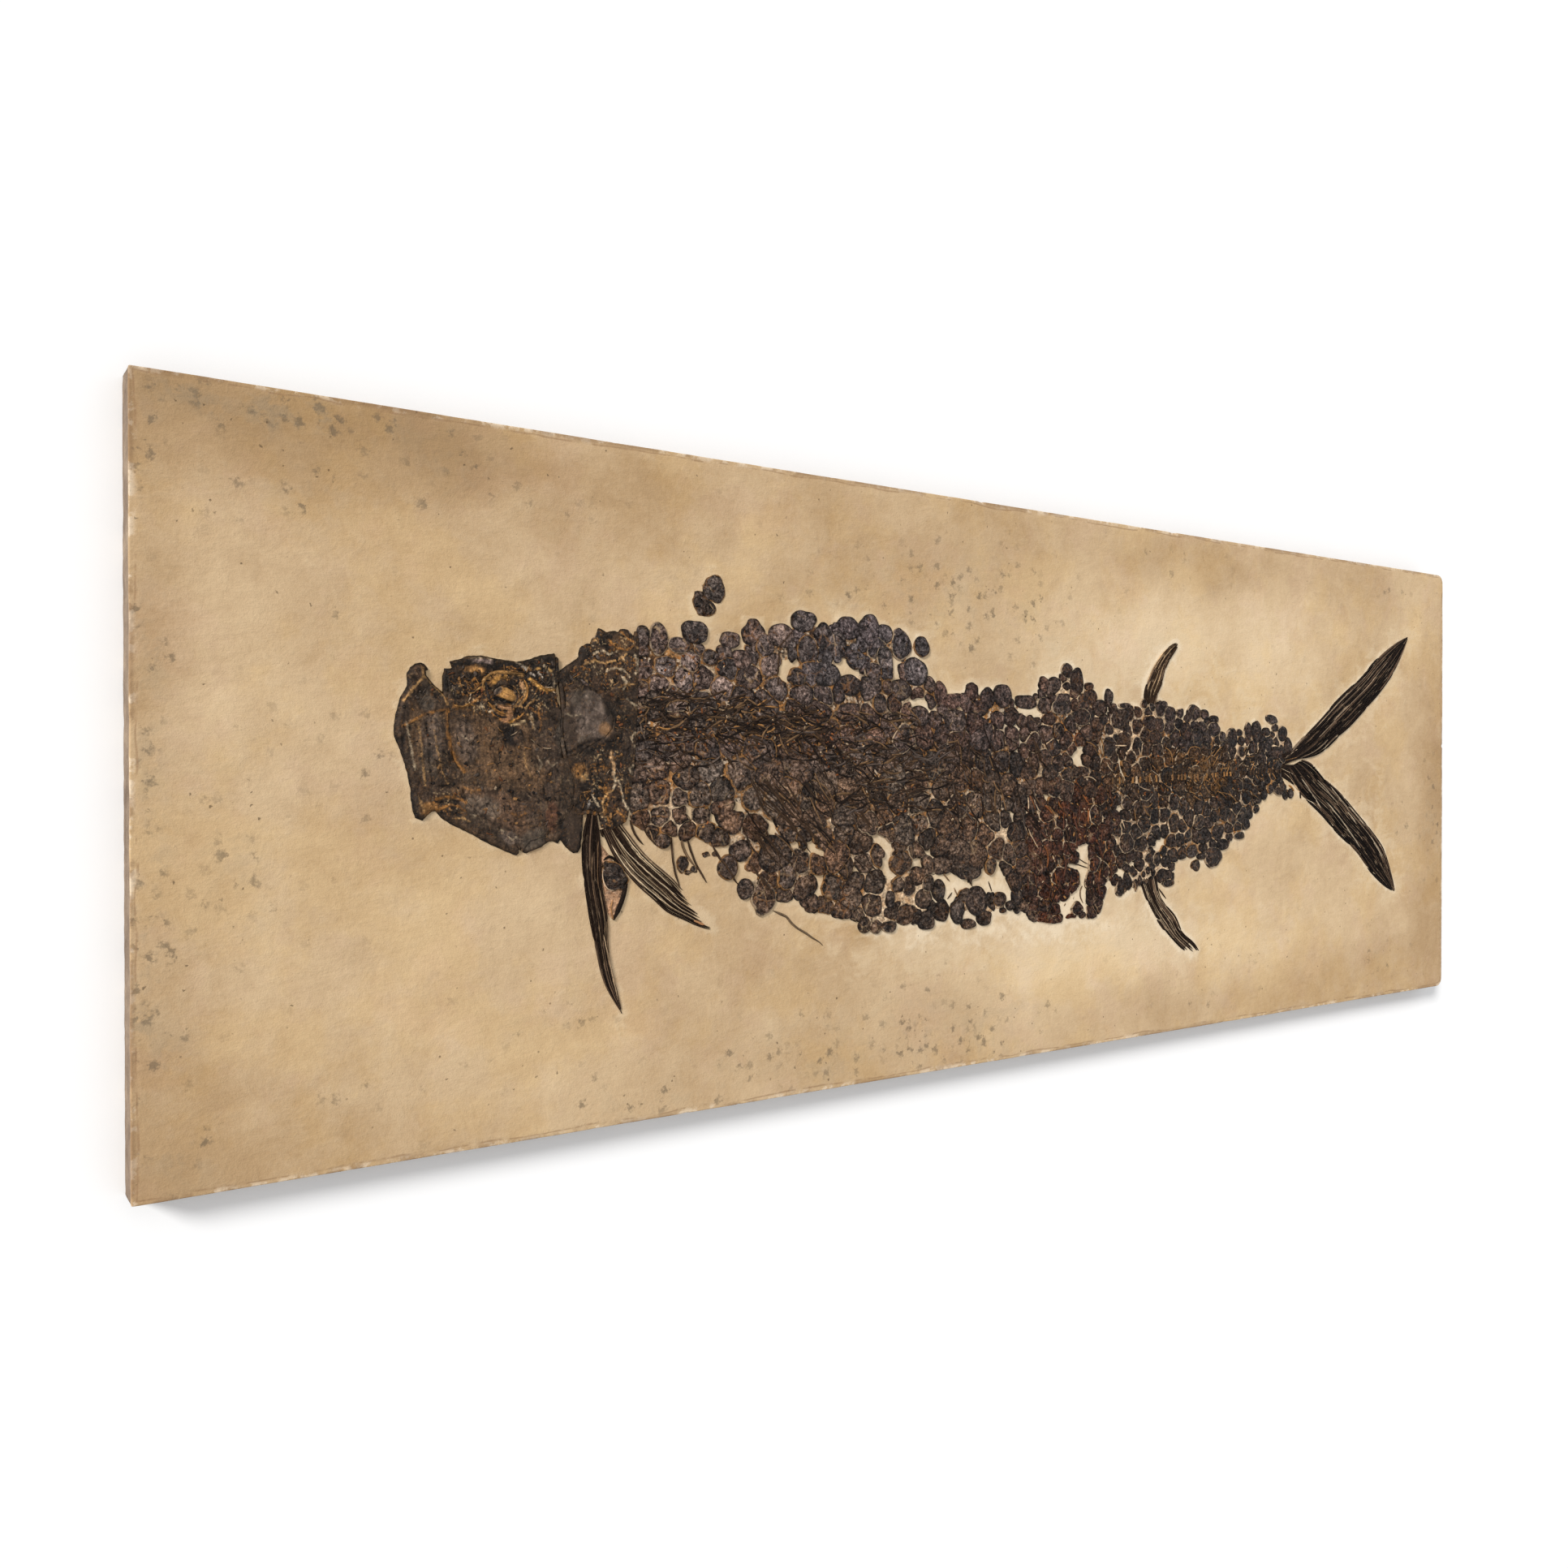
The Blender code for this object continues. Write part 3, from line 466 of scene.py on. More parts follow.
    # worn edges: a thin pale chipped line and browned arrises
    chip = g.mul(rim, g.step(g.noise(46, 6, 0.68), 0.50, 0.58))
    colour = g.mix(g.mul(chip, 0.8), colour, rgb(218, 198, 172))
    browned = g.mul(rim, g.step(g.noise(15, 6, 0.66, vector=g.scaled(g.coord, 1, 1, loc=(1.3, 4.1, 0))), 0.47, 0.55))
    colour = g.mix(g.mul(browned, 0.65), colour, rgb(132, 102, 74))
    lip = g.mul(g.step(rim, 0.04, 0.16), g.step(rim, 0.42, 0.24))
    colour = g.mix(g.mul(g.mul(lip, g.step(g.noise(22, 5, 0.66, vector=g.scaled(g.coord, 1, 1, loc=(6.3, 2.1, 0))), 0.44, 0.54)), 0.55), colour, rgb(140, 108, 78))
    side = g.attr("side")
    flank = g.ramp(g.noise(30, 6, 0.68), [(0.30, rgb(104, 87, 72)), (0.52, rgb(134, 115, 97)), (0.74, rgb(160, 140, 118))])
    colour = g.mix(side, colour, flank)
    height = g.add(g.mul(grain, 0.5), g.add(g.mul(strokes, 0.8), g.mul(grit, 0.9)))
    height = g.add(height, g.mul(pit, -1.6))
    height = g.add(height, g.mul(dots, -0.5))
    normal = g.bump(height, 0.42, 0.0012)
    normal = g.bump(g.add(mottle, g.mul(strokes, 0.6)), 0.24, 0.0030, normal)
    normal = g.bump(patch, 0.22, 0.008, normal)
    rough = g.step(grain, 0.2, 0.8, 0.76, 0.92)
    return g.finish(colour, rough, normal, 0.2)


def scale_material():
    """Dark glossy scales: tint from the mesh, blotched and wrinkled, veined with ochre, darkened towards the rim as
    painted shade, with painted glints and a seam round the rim.
    """
    g = Graph("dark_scale")
    tint, seam_col = g.attr("tint", "Color"), g.attr("seam_tint", "Color")
    rad, seam, fleck = g.attr("rad"), g.attr("seam"), g.attr("fleck")
    m0 = g.noise(40, 4, 0.6)
    m1 = g.noise(120, 6, 0.72, distortion=0.6)
    m2 = g.noise(290, 5, 0.74)
    m3 = g.noise(900, 3, 0.6)
    colour = g.mix(1.0, tint, g.ramp(m1, [(0.36, (0.17, 0.155, 0.15)), (0.46, (0.58, 0.56, 0.55)), (0.53, (1.22, 1.20, 1.18)), (0.63, (2.4, 2.38, 2.36))]), "MULTIPLY")
    colour = g.mix(1.0, colour, g.ramp(m2, [(0.36, (0.36, 0.34, 0.33)), (0.49, (1.0, 0.98, 0.97)), (0.62, (2.4, 2.35, 2.3))]), "MULTIPLY")
    # painted highlight: pale grey glints where both mottles are bright
    glint = g.mul(g.step(g.add(g.mul(m1, 0.5), g.mul(m2, 0.5)), 0.555, 0.63), g.step(m0, 0.38, 0.60))
    colour = g.mix(g.mul(glint, 0.62), colour, rgb(156, 140, 130))
    rust = g.mul(fleck, g.step(g.noise(130, 6, 0.75, vector=g.scaled(g.coord, 1, 1, loc=(3.1, 1.7, 0))), 0.55, 0.68))
    colour = g.mix(g.mul(rust, 0.55), colour, rgb(118, 76, 42))
    bent = g.add_vec(g.coord, g.noise(70, 3, 0.6, out="Color"), 0.014)
    vein = g.step(g.voronoi(60, feature="DISTANCE_TO_EDGE", vector=bent), 0.075, 0.01)
    vein = g.mul(vein, g.mul(fleck, g.step(g.noise(34, 3, 0.6, vector=g.scaled(g.coord, 1, 1, loc=(7.1, 0.7, 0))), 0.47, 0.58)))
    colour = g.mix(g.mul(vein, 0.85), colour, g.mix(g.step(m0, 0.45, 0.62), rgb(140, 92, 50), rgb(188, 158, 122)))
    wrinkle = g.step(g.voronoi(105, feature="DISTANCE_TO_EDGE", vector=g.scaled(bent, 1, 1.25)), 0.11, 0.0)
    wrinkle = g.mul(wrinkle, g.step(g.noise(48, 3, 0.6, vector=g.scaled(g.coord, 1, 1, loc=(1.1, 5.7, 0))), 0.42, 0.58))
    colour = g.mix(g.mul(wrinkle, 0.75), colour, rgb(20, 15, 12))
    edge_noise = g.noise(210, 4, 0.6)
    uneven = g.add(rad, g.mul(g.add(edge_noise, -0.5), 0.20))
    # painted shade: each scale darkened towards its rim, where it meets its neighbours
    colour = g.mix(g.step(uneven, 0.72, 0.95, 0.0, 0.7), colour, g.mix(1.0, colour, (0.24, 0.21, 0.19), "MULTIPLY"))
    edge = g.mul(g.step(uneven, 0.885, 0.95), g.mul(seam, g.step(g.noise(90, 3, 0.6), 0.38, 0.52)))
    colour = g.mix(edge, colour, seam_col)
    rings = g.math("SINE", g.add(g.mul(rad, 62.0), g.mul(m1, 9.0)))
    height = g.add(g.mul(rings, 0.10), g.add(g.mul(m2, 1.0), g.add(g.mul(m3, 0.35), g.mul(wrinkle, -0.9))))
    normal = g.bump(height, 0.8, 0.0016)
    normal = g.bump(m1, 0.8, 0.004, normal)
    rough = g.add(g.step(m2, 0.3, 0.75, 0.27, 0.52), g.mul(edge, 0.25))
    return g.finish(colour, rough, normal, g.step(m2, 0.38, 0.66, 0.03, 0.42))


def film_material():
    """Crushed bone and matrix between the scales."""
    g = Graph("crushed_bone")
    tint, fleck = g.attr("tint", "Color"), g.attr("fleck")
    m1 = g.noise(120, 6, 0.72)
    m2 = g.noise(420, 5, 0.7)
    cell = g.voronoi(260, out="Color", vector=g.coord)
    sep = g.node("ShaderNodeSeparateColor")
    g.link(cell, sep.inputs[0])
    c1, c2 = sep.outputs[0], sep.outputs[1]
    colour = g.mix(1.0, tint, g.ramp(g.add(g.mul(m1, 0.6), g.mul(m2, 0.4)), [(0.40, (0.30, 0.28, 0.27)), (0.5, (0.95, 0.95, 0.95)), (0.60, (1.8, 1.75, 1.7))]), "MULTIPLY")
    colour = g.mix(g.mul(fleck, g.step(g.add(c1, g.mul(g.add(m2, -0.5), 0.8)), 0.72, 0.82)), colour, rgb(164, 110, 58))
    colour = g.mix(g.mul(fleck, g.step(g.add(c2, g.mul(g.add(m2, -0.5), 0.8)), 0.80, 0.90)), colour, rgb(190, 170, 146))
    colour = g.mix(g.mul(fleck, g.step(g.add(c2, g.mul(g.add(m1, -0.5), 0.8)), 0.30, 0.18)), colour, rgb(34, 26, 22))
    height = g.add(g.mul(m1, 0.8), g.add(g.mul(m2, 0.8), g.mul(g.voronoi(260), 0.8)))
    normal = g.bump(height, 0.8, 0.0014)
    return g.finish(colour, g.step(m2, 0.3, 0.7, 0.45, 0.72), normal, 0.14)


def bone_material():
    """Head bone: tint from the mesh, pitted and fibrous."""
    g = Graph("head_bone")
    tint, fleck, smoothness = g.attr("tint", "Color"), g.attr("fleck"), g.attr("polish")
    m1 = g.noise(110, 6, 0.7)
    m2 = g.noise(360, 6, 0.72)
    m3 = g.noise(1000, 3, 0.6)
    fibre = g.noise(160, 4, 0.65, vector=g.scaled(g.coord, 3.2, 0.5, turn=0.2))
    mottle = g.add(g.mul(m1, 0.4), g.add(g.mul(m2, 0.45), g.mul(fibre, 0.15)))
    strong = g.ramp(mottle, [(0.37, (0.24, 0.22, 0.21)), (0.50, (0.92, 0.92, 0.92)), (0.62, (2.2, 2.15, 2.1))])
    soft = g.ramp(mottle, [(0.36, (0.60, 0.59, 0.58)), (0.5, (1, 1, 1)), (0.64, (1.5, 1.48, 1.46))])
    colour = g.mix(1.0, tint, g.mix(smoothness, strong, soft), "MULTIPLY")
    white = g.mul(fleck, g.step(g.add(m2, g.mul(g.add(m3, -0.5), 0.6)), 0.62, 0.72))
    colour = g.mix(g.mul(white, 0.62), colour, rgb(190, 172, 148))
    ochre = g.mul(fleck, g.step(g.noise(150, 6, 0.72, vector=g.scaled(g.coord, 1, 1, loc=(5.1, 2.3, 0))), 0.58, 0.66))
    colour = g.mix(g.mul(ochre, 0.72), colour, rgb(160, 106, 48))
    crack = g.step(g.voronoi(85, feature="DISTANCE_TO_EDGE", vector=g.scaled(g.coord, 1, 1.3)), 0.055, 0.0)
    crack = g.mul(crack, g.step(m1, 0.42, 0.6))
    colour = g.mix(g.mul(crack, g.mul(fleck, 0.7)), colour, rgb(36, 27, 20))
    height = g.add(g.mul(m1, 0.8), g.add(g.mul(m2, 0.9), g.add(g.mul(m3, 0.3), g.mul(crack, -0.6))))
    rough_bump = g.bump(height, 0.7, 0.0015)
    return g.finish(colour, g.step(m2, 0.3, 0.7, 0.36, 0.62), rough_bump, 0.16)


def ray_material():
    """Fin rays: streaks that run along the ray, from coordinates held in the mesh."""
    g = Graph("fin_ray")
    tint, groove, fleck = g.attr("tint", "Color"), g.attr("groove"), g.attr("fleck")
    pair = g.node("ShaderNodeCombineXYZ")
    g.link(g.attr("run"), pair.inputs[0])
    g.link(g.attr("across"), pair.inputs[1])
    g.link(g.attr("rnd"), pair.inputs[2])
    flow = pair.outputs[0]
    s1 = g.noise(1.0, 5, 0.7, vector=g.scaled(flow, 0.045, 0.9, 7.0))
    s2 = g.noise(1.0, 5, 0.7, vector=g.scaled(flow, 0.16, 2.6, 11.0))
    m = g.noise(300, 4, 0.65)
    mix = g.add(g.mul(s1, 0.5), g.add(g.mul(s2, 0.35), g.mul(m, 0.15)))
    colour = g.mix(1.0, tint, g.ramp(mix, [(0.34, (0.22, 0.20, 0.19)), (0.5, (0.95, 0.95, 0.95)), (0.66, (2.5, 2.35, 2.2))]), "MULTIPLY")
    lit = g.mul(fleck, g.step(g.add(s2, g.mul(g.add(m, -0.5), 0.3)), 0.60, 0.70))
    colour = g.mix(g.mul(lit, 0.45), colour, rgb(170, 142, 112))
    colour = g.mix(g.mul(groove, g.step(s1, 0.36, 0.56)), colour, rgb(176, 150, 122))
    height = g.add(g.mul(s1, 0.8), g.add(g.mul(s2, 0.8), g.mul(m, 0.3)))
    normal = g.bump(height, 0.7, 0.0012)
    return g.finish(colour, g.step(s2, 0.3, 0.7, 0.46, 0.70), normal, 0.07)


CHALK, SCALE, FILM, BONE, RAY = chalk_material(), scale_material(), film_material(), bone_material(), ray_material()
LOWER_JAW = [
    (-843, 120), (-838, 124), (-832, 125), (-828, 123), (-824.5, 118), (-827.5, 117),
    (-826.5, 112), (-819, 103), (-810, 96), (-807.5, 90), (-806.5, 80), (-805, 66),
    (-804, 50), (-801, 27), (-792, 12), (-790.5, -4), (-786.5, -19), (-770, -33),
    (-750.5, -46.5), (-733, -58.5), (-726.5, -72), (-729, -75), (-747, -68),
    (-766, -58.5), (-782, -49.5), (-798, -42), (-811, -34), (-817, -27), (-821, -27),
    (-826.5, -31), (-831, -36), (-838, -33), (-841, -26), (-842.7, -15), (-843, -5),
    (-846, 10), (-849.5, 23), (-853.5, 35), (-860, 51), (-860, 60), (-858, 72),
    (-853.5, 88.5), (-846.3, 101), (-846.7, 113),
]
SKULL_ROOF = [
    (-802, 128), (-790, 131), (-783, 134.4), (-769, 135.4), (-749, 133), (-729, 130.7),
    (-717, 133.4), (-702, 139), (-685, 142), (-684, 136), (-683, 122), (-682, 110),
    (-684, 98), (-692, 90), (-702, 84), (-709, 79), (-719, 69), (-732, 68),
    (-745, 69), (-757, 72.5), (-770, 76.5), (-785, 81.5), (-803, 78), (-805.3, 88),
    (-806, 99), (-807.6, 111), (-807.6, 120), (-799.5, 121),
]
CHEEK_BONES = [
    (-803.2, 76.4), (-785, 79.8), (-770, 74.6), (-757, 70.6), (-745, 67), (-732, 66),
    (-719, 67), (-708.5, 77), (-702, 82), (-692, 88), (-684, 95.5), (-679, 84),
    (-680, 66), (-679, 50), (-676, 31), (-668, 20), (-664.5, 0), (-666.5, -19),
    (-677, -38), (-690, -44.5), (-700, -55.5), (-716, -59.5), (-724, -69),
    (-731, -57), (-749, -44.8), (-768.5, -31.3), (-784.8, -18), (-788.6, -4),
    (-790, 12.5), (-799.2, 27), (-802.3, 50), (-803.3, 64),
]
OPERCULUM = [
    (-674, 102), (-663.7, 104), (-649.4, 107), (-635, 101), (-623, 92.6), (-616.7, 76),
    (-618.8, 62), (-629, 51.7), (-649, 41.5), (-659.6, 33.4), (-672, 31.5),
    (-675.5, 50), (-676.5, 66), (-675.5, 84),
]
GULAR_PLATES = [
    (-722.6, -71.5), (-718.8, -73.2), (-702.4, -67.7), (-692.2, -61.5), (-687, -61),
    (-681, -63.6), (-679, -59.5), (-674, -65.6), (-667.8, -71.7), (-662.7, -74.8),
    (-657.6, -73.8), (-654.5, -68.7), (-652.5, -48), (-651.5, -33), (-660, -32),
    (-666, -23), (-677.6, -39.6), (-690.8, -46.2), (-700.5, -57.2), (-715.5, -61.2),
]
SHOULDER_GIRDLE = [
    (-681.5, 121.5), (-672, 129.3), (-663.7, 134.4), (-656.5, 139.5), (-653.5, 151.7),
    (-643.3, 153.8), (-641, 160), (-636, 163), (-633, 173), (-623, 169), (-614.7, 171),
    (-608.6, 170), (-605.5, 173.6), (-597, 173.6), (-588, 165), (-586, 140),
    (-588, 95), (-590, 60), (-592, 30), (-596, 0), (-599, -25), (-602, -43.5),
    (-616, -51), (-629, -50), (-633, -33), (-645, -29), (-660, -30), (-664.8, -20),
    (-662.7, 0), (-666.3, 19), (-672, 30), (-659, 32), (-648.5, 40.2), (-628.2, 50.4),
    (-617.4, 61.5), (-615.3, 76), (-622, 93.7), (-634.5, 102.2), (-649.3, 108.3),
    (-664, 105.3), (-675, 103.4), (-680.5, 111),
]
SCALE_COAT = [
    (-584.7, 140), (-586.7, 166), (-586, 178), (-580, 180.5), (-573, 178), (-566, 180),
    (-561, 184), (-551, 176), (-544.5, 171), (-546, 162), (-541, 165), (-533, 170),
    (-526, 169), (-528, 180), (-521, 187), (-509.8, 189.5), (-499, 187),
    (-492.5, 178), (-494, 168), (-498, 159), (-480, 158.5), (-479.5, 163),
    (-474, 163.5), (-475.5, 169), (-470, 175), (-458, 180), (-449, 176),
    (-448, 168), (-454, 160), (-445, 158), (-438, 152), (-443, 166), (-443.5, 197),
    (-433, 196.5), (-415.5, 197), (-413.5, 181), (-408, 180), (-403, 172),
    (-401, 182), (-398, 193), (-388, 193.5), (-378, 189), (-371, 185), (-374.5, 193),
    (-373, 205), (-362, 209.5), (-351, 212.5), (-340, 206), (-337, 199.5),
    (-332, 198.5), (-327, 195), (-315, 193.5), (-309, 196), (-305, 206),
    (-297, 209.5), (-280, 208), (-270.5, 200), (-268, 185), (-265, 200),
    (-262, 212), (-254, 214.3), (-245, 209), (-240, 200), (-236, 203), (-226, 203.5),
    (-216, 198), (-208, 199.5), (-198, 197), (-188, 194), (-184, 183), (-180, 187),
    (-176, 192), (-168, 191.5), (-157, 184), (-155, 177), (-157, 166), (-170, 164),
    (-178, 163), (-182, 170), (-188, 160), (-183, 162), (-172, 160), (-158, 152),
    (-157, 146), (-152, 140), (-147, 138), (-142, 131), (-136, 131), (-128, 124),
    (-124, 117), (-116, 121), (-92, 120), (-89, 124), (-86, 134), (-70, 132),
    (-66, 124), (-60, 126), (-49, 130), (-40, 128), (-35, 131), (-25, 134),
    (-15, 130), (-8, 121), (-3, 114), (0, 108), (3, 114), (15, 121), (30, 119),
    (37, 122), (42, 125), (46, 120), (48, 132), (50, 145), (58, 148), (70, 149),
    (85, 152), (92, 153), (94, 162), (100, 168), (108, 168), (118, 163), (128, 158),
    (137, 147), (140, 140), (150, 143), (157, 142), (158, 135), (165, 130),
    (165, 118), (170, 116), (182, 113), (185, 104), (192, 102), (190, 112),
    (184, 120), (183, 130), (190, 136), (197, 135), (200, 125), (201, 115),
    (208, 113), (212, 107), (218, 115), (230, 116), (245, 114), (262, 112),
    (264, 118), (270, 120.5), (276, 119.5), (284, 120), (293, 118.5), (297, 120.5),
    (303, 122.5), (310, 123), (318, 114), (328, 114), (338, 110), (341, 100),
    (344, 108), (350, 112), (357, 108), (359, 100), (365, 103), (368, 110),
    (375, 116), (386, 118), (398, 116), (402, 110), (412, 112), (418, 108),
    (422, 103), (436, 103), (443, 98), (439, 95), (446, 86), (445, 75), (452, 77),
    (459, 72), (464, 76), (474, 80), (486, 77), (490, 82), (502, 80), (506, 70),
    (509, 80), (512, 90), (520, 94), (526, 88), (530, 95), (536, 98), (545, 92),
    (552, 83), (558, 82), (562, 87), (570, 86), (575, 80), (581, 84), (582, 91),
    (574, 94), (565, 97), (565, 102), (577, 108), (590, 106), (597, 102),
    (595, 92), (597, 88), (608, 90), (618, 85), (621, 78), (626, 74), (634, 68),
    (640, 61), (633, 52), (627, 46), (620, 41), (615, 36.5), (612, 28), (604, 22),
    (604, 8), (612, -1), (620, -8), (634, -12), (639, -18), (637, -24),
    (630, -27.5), (622, -27), (617, -30), (610, -27), (606, -20), (598, -22),
    (590, -21), (584, -15), (580, -18), (573, -19), (567, -17), (565, -25),
    (560, -28), (553, -26), (552, -32), (545, -36), (544, -45), (540, -50),
    (533, -56), (525, -59), (522, -66), (521, -73), (512, -78), (507, -84),
    (500, -90), (490, -92), (480, -93), (471, -94), (468, -102), (460, -108),
    (450, -109), (449, -122), (443, -130), (433, -134), (420, -131), (411, -124),
    (404, -117), (396, -116), (383, -113), (372, -117), (364, -117), (350, -120),
    (343, -122), (337, -128), (339, -132), (336, -138), (337, -148), (334, -154),
    (323, -162), (312, -156), (300, -150), (288, -151), (278, -152), (266, -155),
    (256, -151), (252, -161), (246, -158), (242, -141), (241, -155), (236, -165),
    (226, -171), (214, -168), (207, -158), (201, -151), (196, -148), (189, -148),
    (186, -160), (181, -170), (178, -182), (172, -192), (160, -198), (148, -197),
    (142, -195), (130, -195), (120, -194), (112, -193), (100, -197), (90, -199),
    (80, -200), (65, -198), (50, -195), (43, -194), (38, -196), (30, -188),
    (20, -180), (12, -177), (6, -180), (-4, -177), (-14, -174), (-18, -178),
    (-26, -178), (-36, -178), (-43, -186), (-50, -192), (-60, -194), (-69, -188),
    (-75, -181), (-88, -177), (-95, -181), (-103, -187), (-112, -182), (-120, -176),
    (-128, -183), (-137, -183), (-150, -184), (-152, -192), (-160, -194),
    (-168, -190), (-174, -183), (-180, -184), (-190, -184), (-198, -182),
    (-206, -179), (-212, -188), (-222, -192), (-230, -190), (-234, -187),
    (-240, -193), (-247, -190), (-260, -188), (-268, -182), (-270, -174),
    (-280, -172), (-290, -169), (-300, -169), (-312, -166), (-318, -160),
    (-322, -163), (-330, -159), (-340, -160), (-350, -155), (-362, -147),
    (-371, -141), (-380, -145), (-392, -143), (-398, -140), (-400, -152),
    (-412, -157), (-425, -155), (-433, -143), (-430, -133), (-434, -136),
    (-443, -137), (-451, -130), (-452, -120), (-447, -113), (-440, -111),
    (-443, -104), (-449, -92), (-452, -104), (-455, -110), (-462, -113),
    (-472, -110), (-479, -103), (-480, -98), (-474, -90), (-466, -84),
    (-464, -77), (-470, -72), (-478, -74), (-487, -73), (-497, -66), (-503, -64),
    (-512, -60), (-520, -67), (-530, -65), (-537, -60), (-542, -57), (-546, -68),
    (-555, -73), (-563, -68), (-566, -60), (-574, -54), (-584, -48), (-592, -44),
    (-600, -41.5), (-597, -24), (-594.3, 0), (-590.3, 30), (-588.3, 60),
    (-586.3, 95),
]
# bare matrix showing between the scales
COAT_GAPS = [
    [(-247, -66), (-240, -64), (-228, -70), (-217, -80), (-214, -86), (-220, -92),
     (-222, -104), (-214, -118), (-222, -122), (-234, -104), (-240, -100),
     (-228, -92), (-236, -80), (-245, -74)],
    [(-148, -124), (-138, -122), (-126, -120), (-114, -119), (-106, -125),
     (-98, -128), (-84, -130), (-68, -128), (-60, -118), (-56, -108), (-54, -122),
     (-42, -128), (-36, -122), (-33, -106), (-24, -118), (-16, -132), (-6, -146),
     (-4, -156), (-12, -164), (-18, -154), (-30, -150), (-44, -150), (-56, -146),
     (-70, -141), (-92, -141), (-104, -150), (-112, -164), (-118, -158),
     (-124, -152), (-136, -156), (-144, -158), (-150, -146)],
    [(129, -90), (146, -87), (149, -98), (149, -124), (146, -128), (140, -145),
     (144, -158), (144, -182), (148, -190), (141, -188), (138, -172), (130, -166),
     (120, -172), (112, -188), (102, -190), (90, -182), (88, -172), (104, -168),
     (114, -158), (122, -152), (128, -146), (126, -126), (101, -119), (102, -115),
     (124, -117), (127, -108)],
    [(-392, 143), (-386, 146), (-366, 150), (-368, 142), (-380, 134), (-382, 124),
     (-392, 124)],
    [(-302, 150), (-296, 157), (-290, 158), (-284, 148), (-271, 144), (-272, 138),
     (-290, 136), (-300, 128), (-303, 138)],
    [(-188, 97), (-184, 108), (-172, 112), (-158, 110), (-153, 96), (-160, 96),
     (-172, 101), (-180, 98)],
    [(10, 98), (18, 102), (40, 101), (47, 97), (46, 84), (40, 88), (30, 96)],
    [(110, 36), (120, 46), (132, 56), (138, 62), (136, 48), (132, 38), (136, 28),
     (130, 18), (118, 24)],
    [(291, -86), (300, -88), (310, -82), (316, -92), (308, -98), (304, -106),
     (296, -104), (286, -102), (291, -96)],
]
LOOSE_SCALE_UPPER = [
    (-483.3, 245.5), (-475.8, 243.3), (-470.5, 236), (-468.3, 230), (-469.2, 220.8),
    (-475, 212.5), (-486.7, 214.2), (-496.7, 216), (-499.2, 221.7), (-496.3, 233.3),
    (-491.7, 240.8),
]
LOOSE_SCALE_LOWER = [
    (-499.5, 229), (-504.2, 226.7), (-510, 220), (-511.3, 213.3), (-509.2, 203.3),
    (-505.8, 198.3), (-495, 194.5), (-486.7, 195.8), (-480.8, 200.8),
    (-481.7, 210.3), (-487, 212.4), (-498, 214.2), (-501, 221),
]
LOOSE_SCALE_REAR = [
    (376.9, -130.6), (383.7, -122.3), (399, -123.8), (400, -129.6), (397, -136.3),
    (390.4, -139.2), (383.7, -134.4),
]
# each fin is the area between two edges that run from its root to its tip
CAUDAL_UPPER_EDGES = (
    [(617, 37.5), (643, 58.5), (660, 70), (687, 87), (720, 108.3), (751.6, 131.3),
     (784, 150.7), (821, 172), (843.5, 184.4), (853.7, 194.6), (863, 203.3),
     (880, 213.3), (896.7, 225), (930, 241.7), (966.7, 256.7), (980.5, 260)],
    [(662, 38.6), (682, 40.5), (706.7, 43.6), (718, 47.7), (731.2, 55.8),
     (751.6, 68), (772, 81.3), (796.5, 90.5), (812.9, 102.8), (839.4, 121.1),
     (863.9, 137.4), (885, 149.5), (905, 166.7), (920, 178.3), (936.7, 193.3),
     (955, 218.3), (970.8, 238), (979.5, 256)],
)
CAUDAL_LOWER_EDGES = (
    [(664, 35.6), (683.3, 33), (700.8, 27), (711.7, 17), (725, 4.8), (751.6, -7.4),
     (774, -19.7), (800.6, -40), (825, -56.4), (851.6, -74.8), (874, -93.2),
     (894.5, -109.5), (908.8, -121.7), (914.9, -134), (923, -154.4),
     (933.3, -172.8), (941, -194)],
    [(618, 20), (628, 8), (640, -6), (652, -20), (670, -28.3), (690.4, -40),
     (710.8, -52.3), (735.3, -66.6), (751.6, -83), (778.2, -99.3), (798.6, -109.5),
     (816.9, -119.7), (833.3, -131.9), (849.6, -148.3), (874, -166.6),
     (900.6, -183), (921, -193.2), (940, -198)],
)
DORSAL_EDGES = (
    [(269, 126), (268, 134), (270.4, 141.5), (280.6, 159.9), (294.9, 179.3),
     (313.3, 197.7), (331.6, 209.9), (345.5, 213.4)],
    [(295, 124.5), (299, 132), (304, 140), (310.2, 148), (313.3, 160),
     (315.3, 168), (323.5, 181.3), (334.7, 193.6), (345, 206)],
)
ANAL_EDGES = (
    [(300, -154), (304, -170), (315.4, -183.5), (328.8, -195), (342.3, -204.6),
     (350, -219), (359.6, -232.5), (373, -240.2), (387.5, -248.8), (400, -264.5)],
    [(266, -158.5), (272.1, -171.9), (282.7, -187.3), (296.2, -205.6),
     (309.6, -220), (323, -232.5), (338.5, -245), (353.8, -256.5), (369.2, -266.2),
     (386, -272)],
)
PECTORAL_FRONT_EDGES = (
    [(-629, -54), (-629, -66), (-618.5, -83), (-602, -103), (-596.5, -109),
     (-599.5, -124), (-606.5, -140), (-615, -152), (-622, -166), (-620.5, -187),
     (-616.5, -205), (-612.5, -222), (-608.5, -238), (-603.5, -256)],
    [(-644, -34), (-650, -47), (-652.8, -66.6), (-652.6, -87), (-651, -100),
     (-649.4, -111.5), (-645.3, -140), (-642, -155), (-639, -168.7), (-634, -189),
     (-629.5, -212), (-620, -233), (-610, -247), (-605, -256.5)],
)
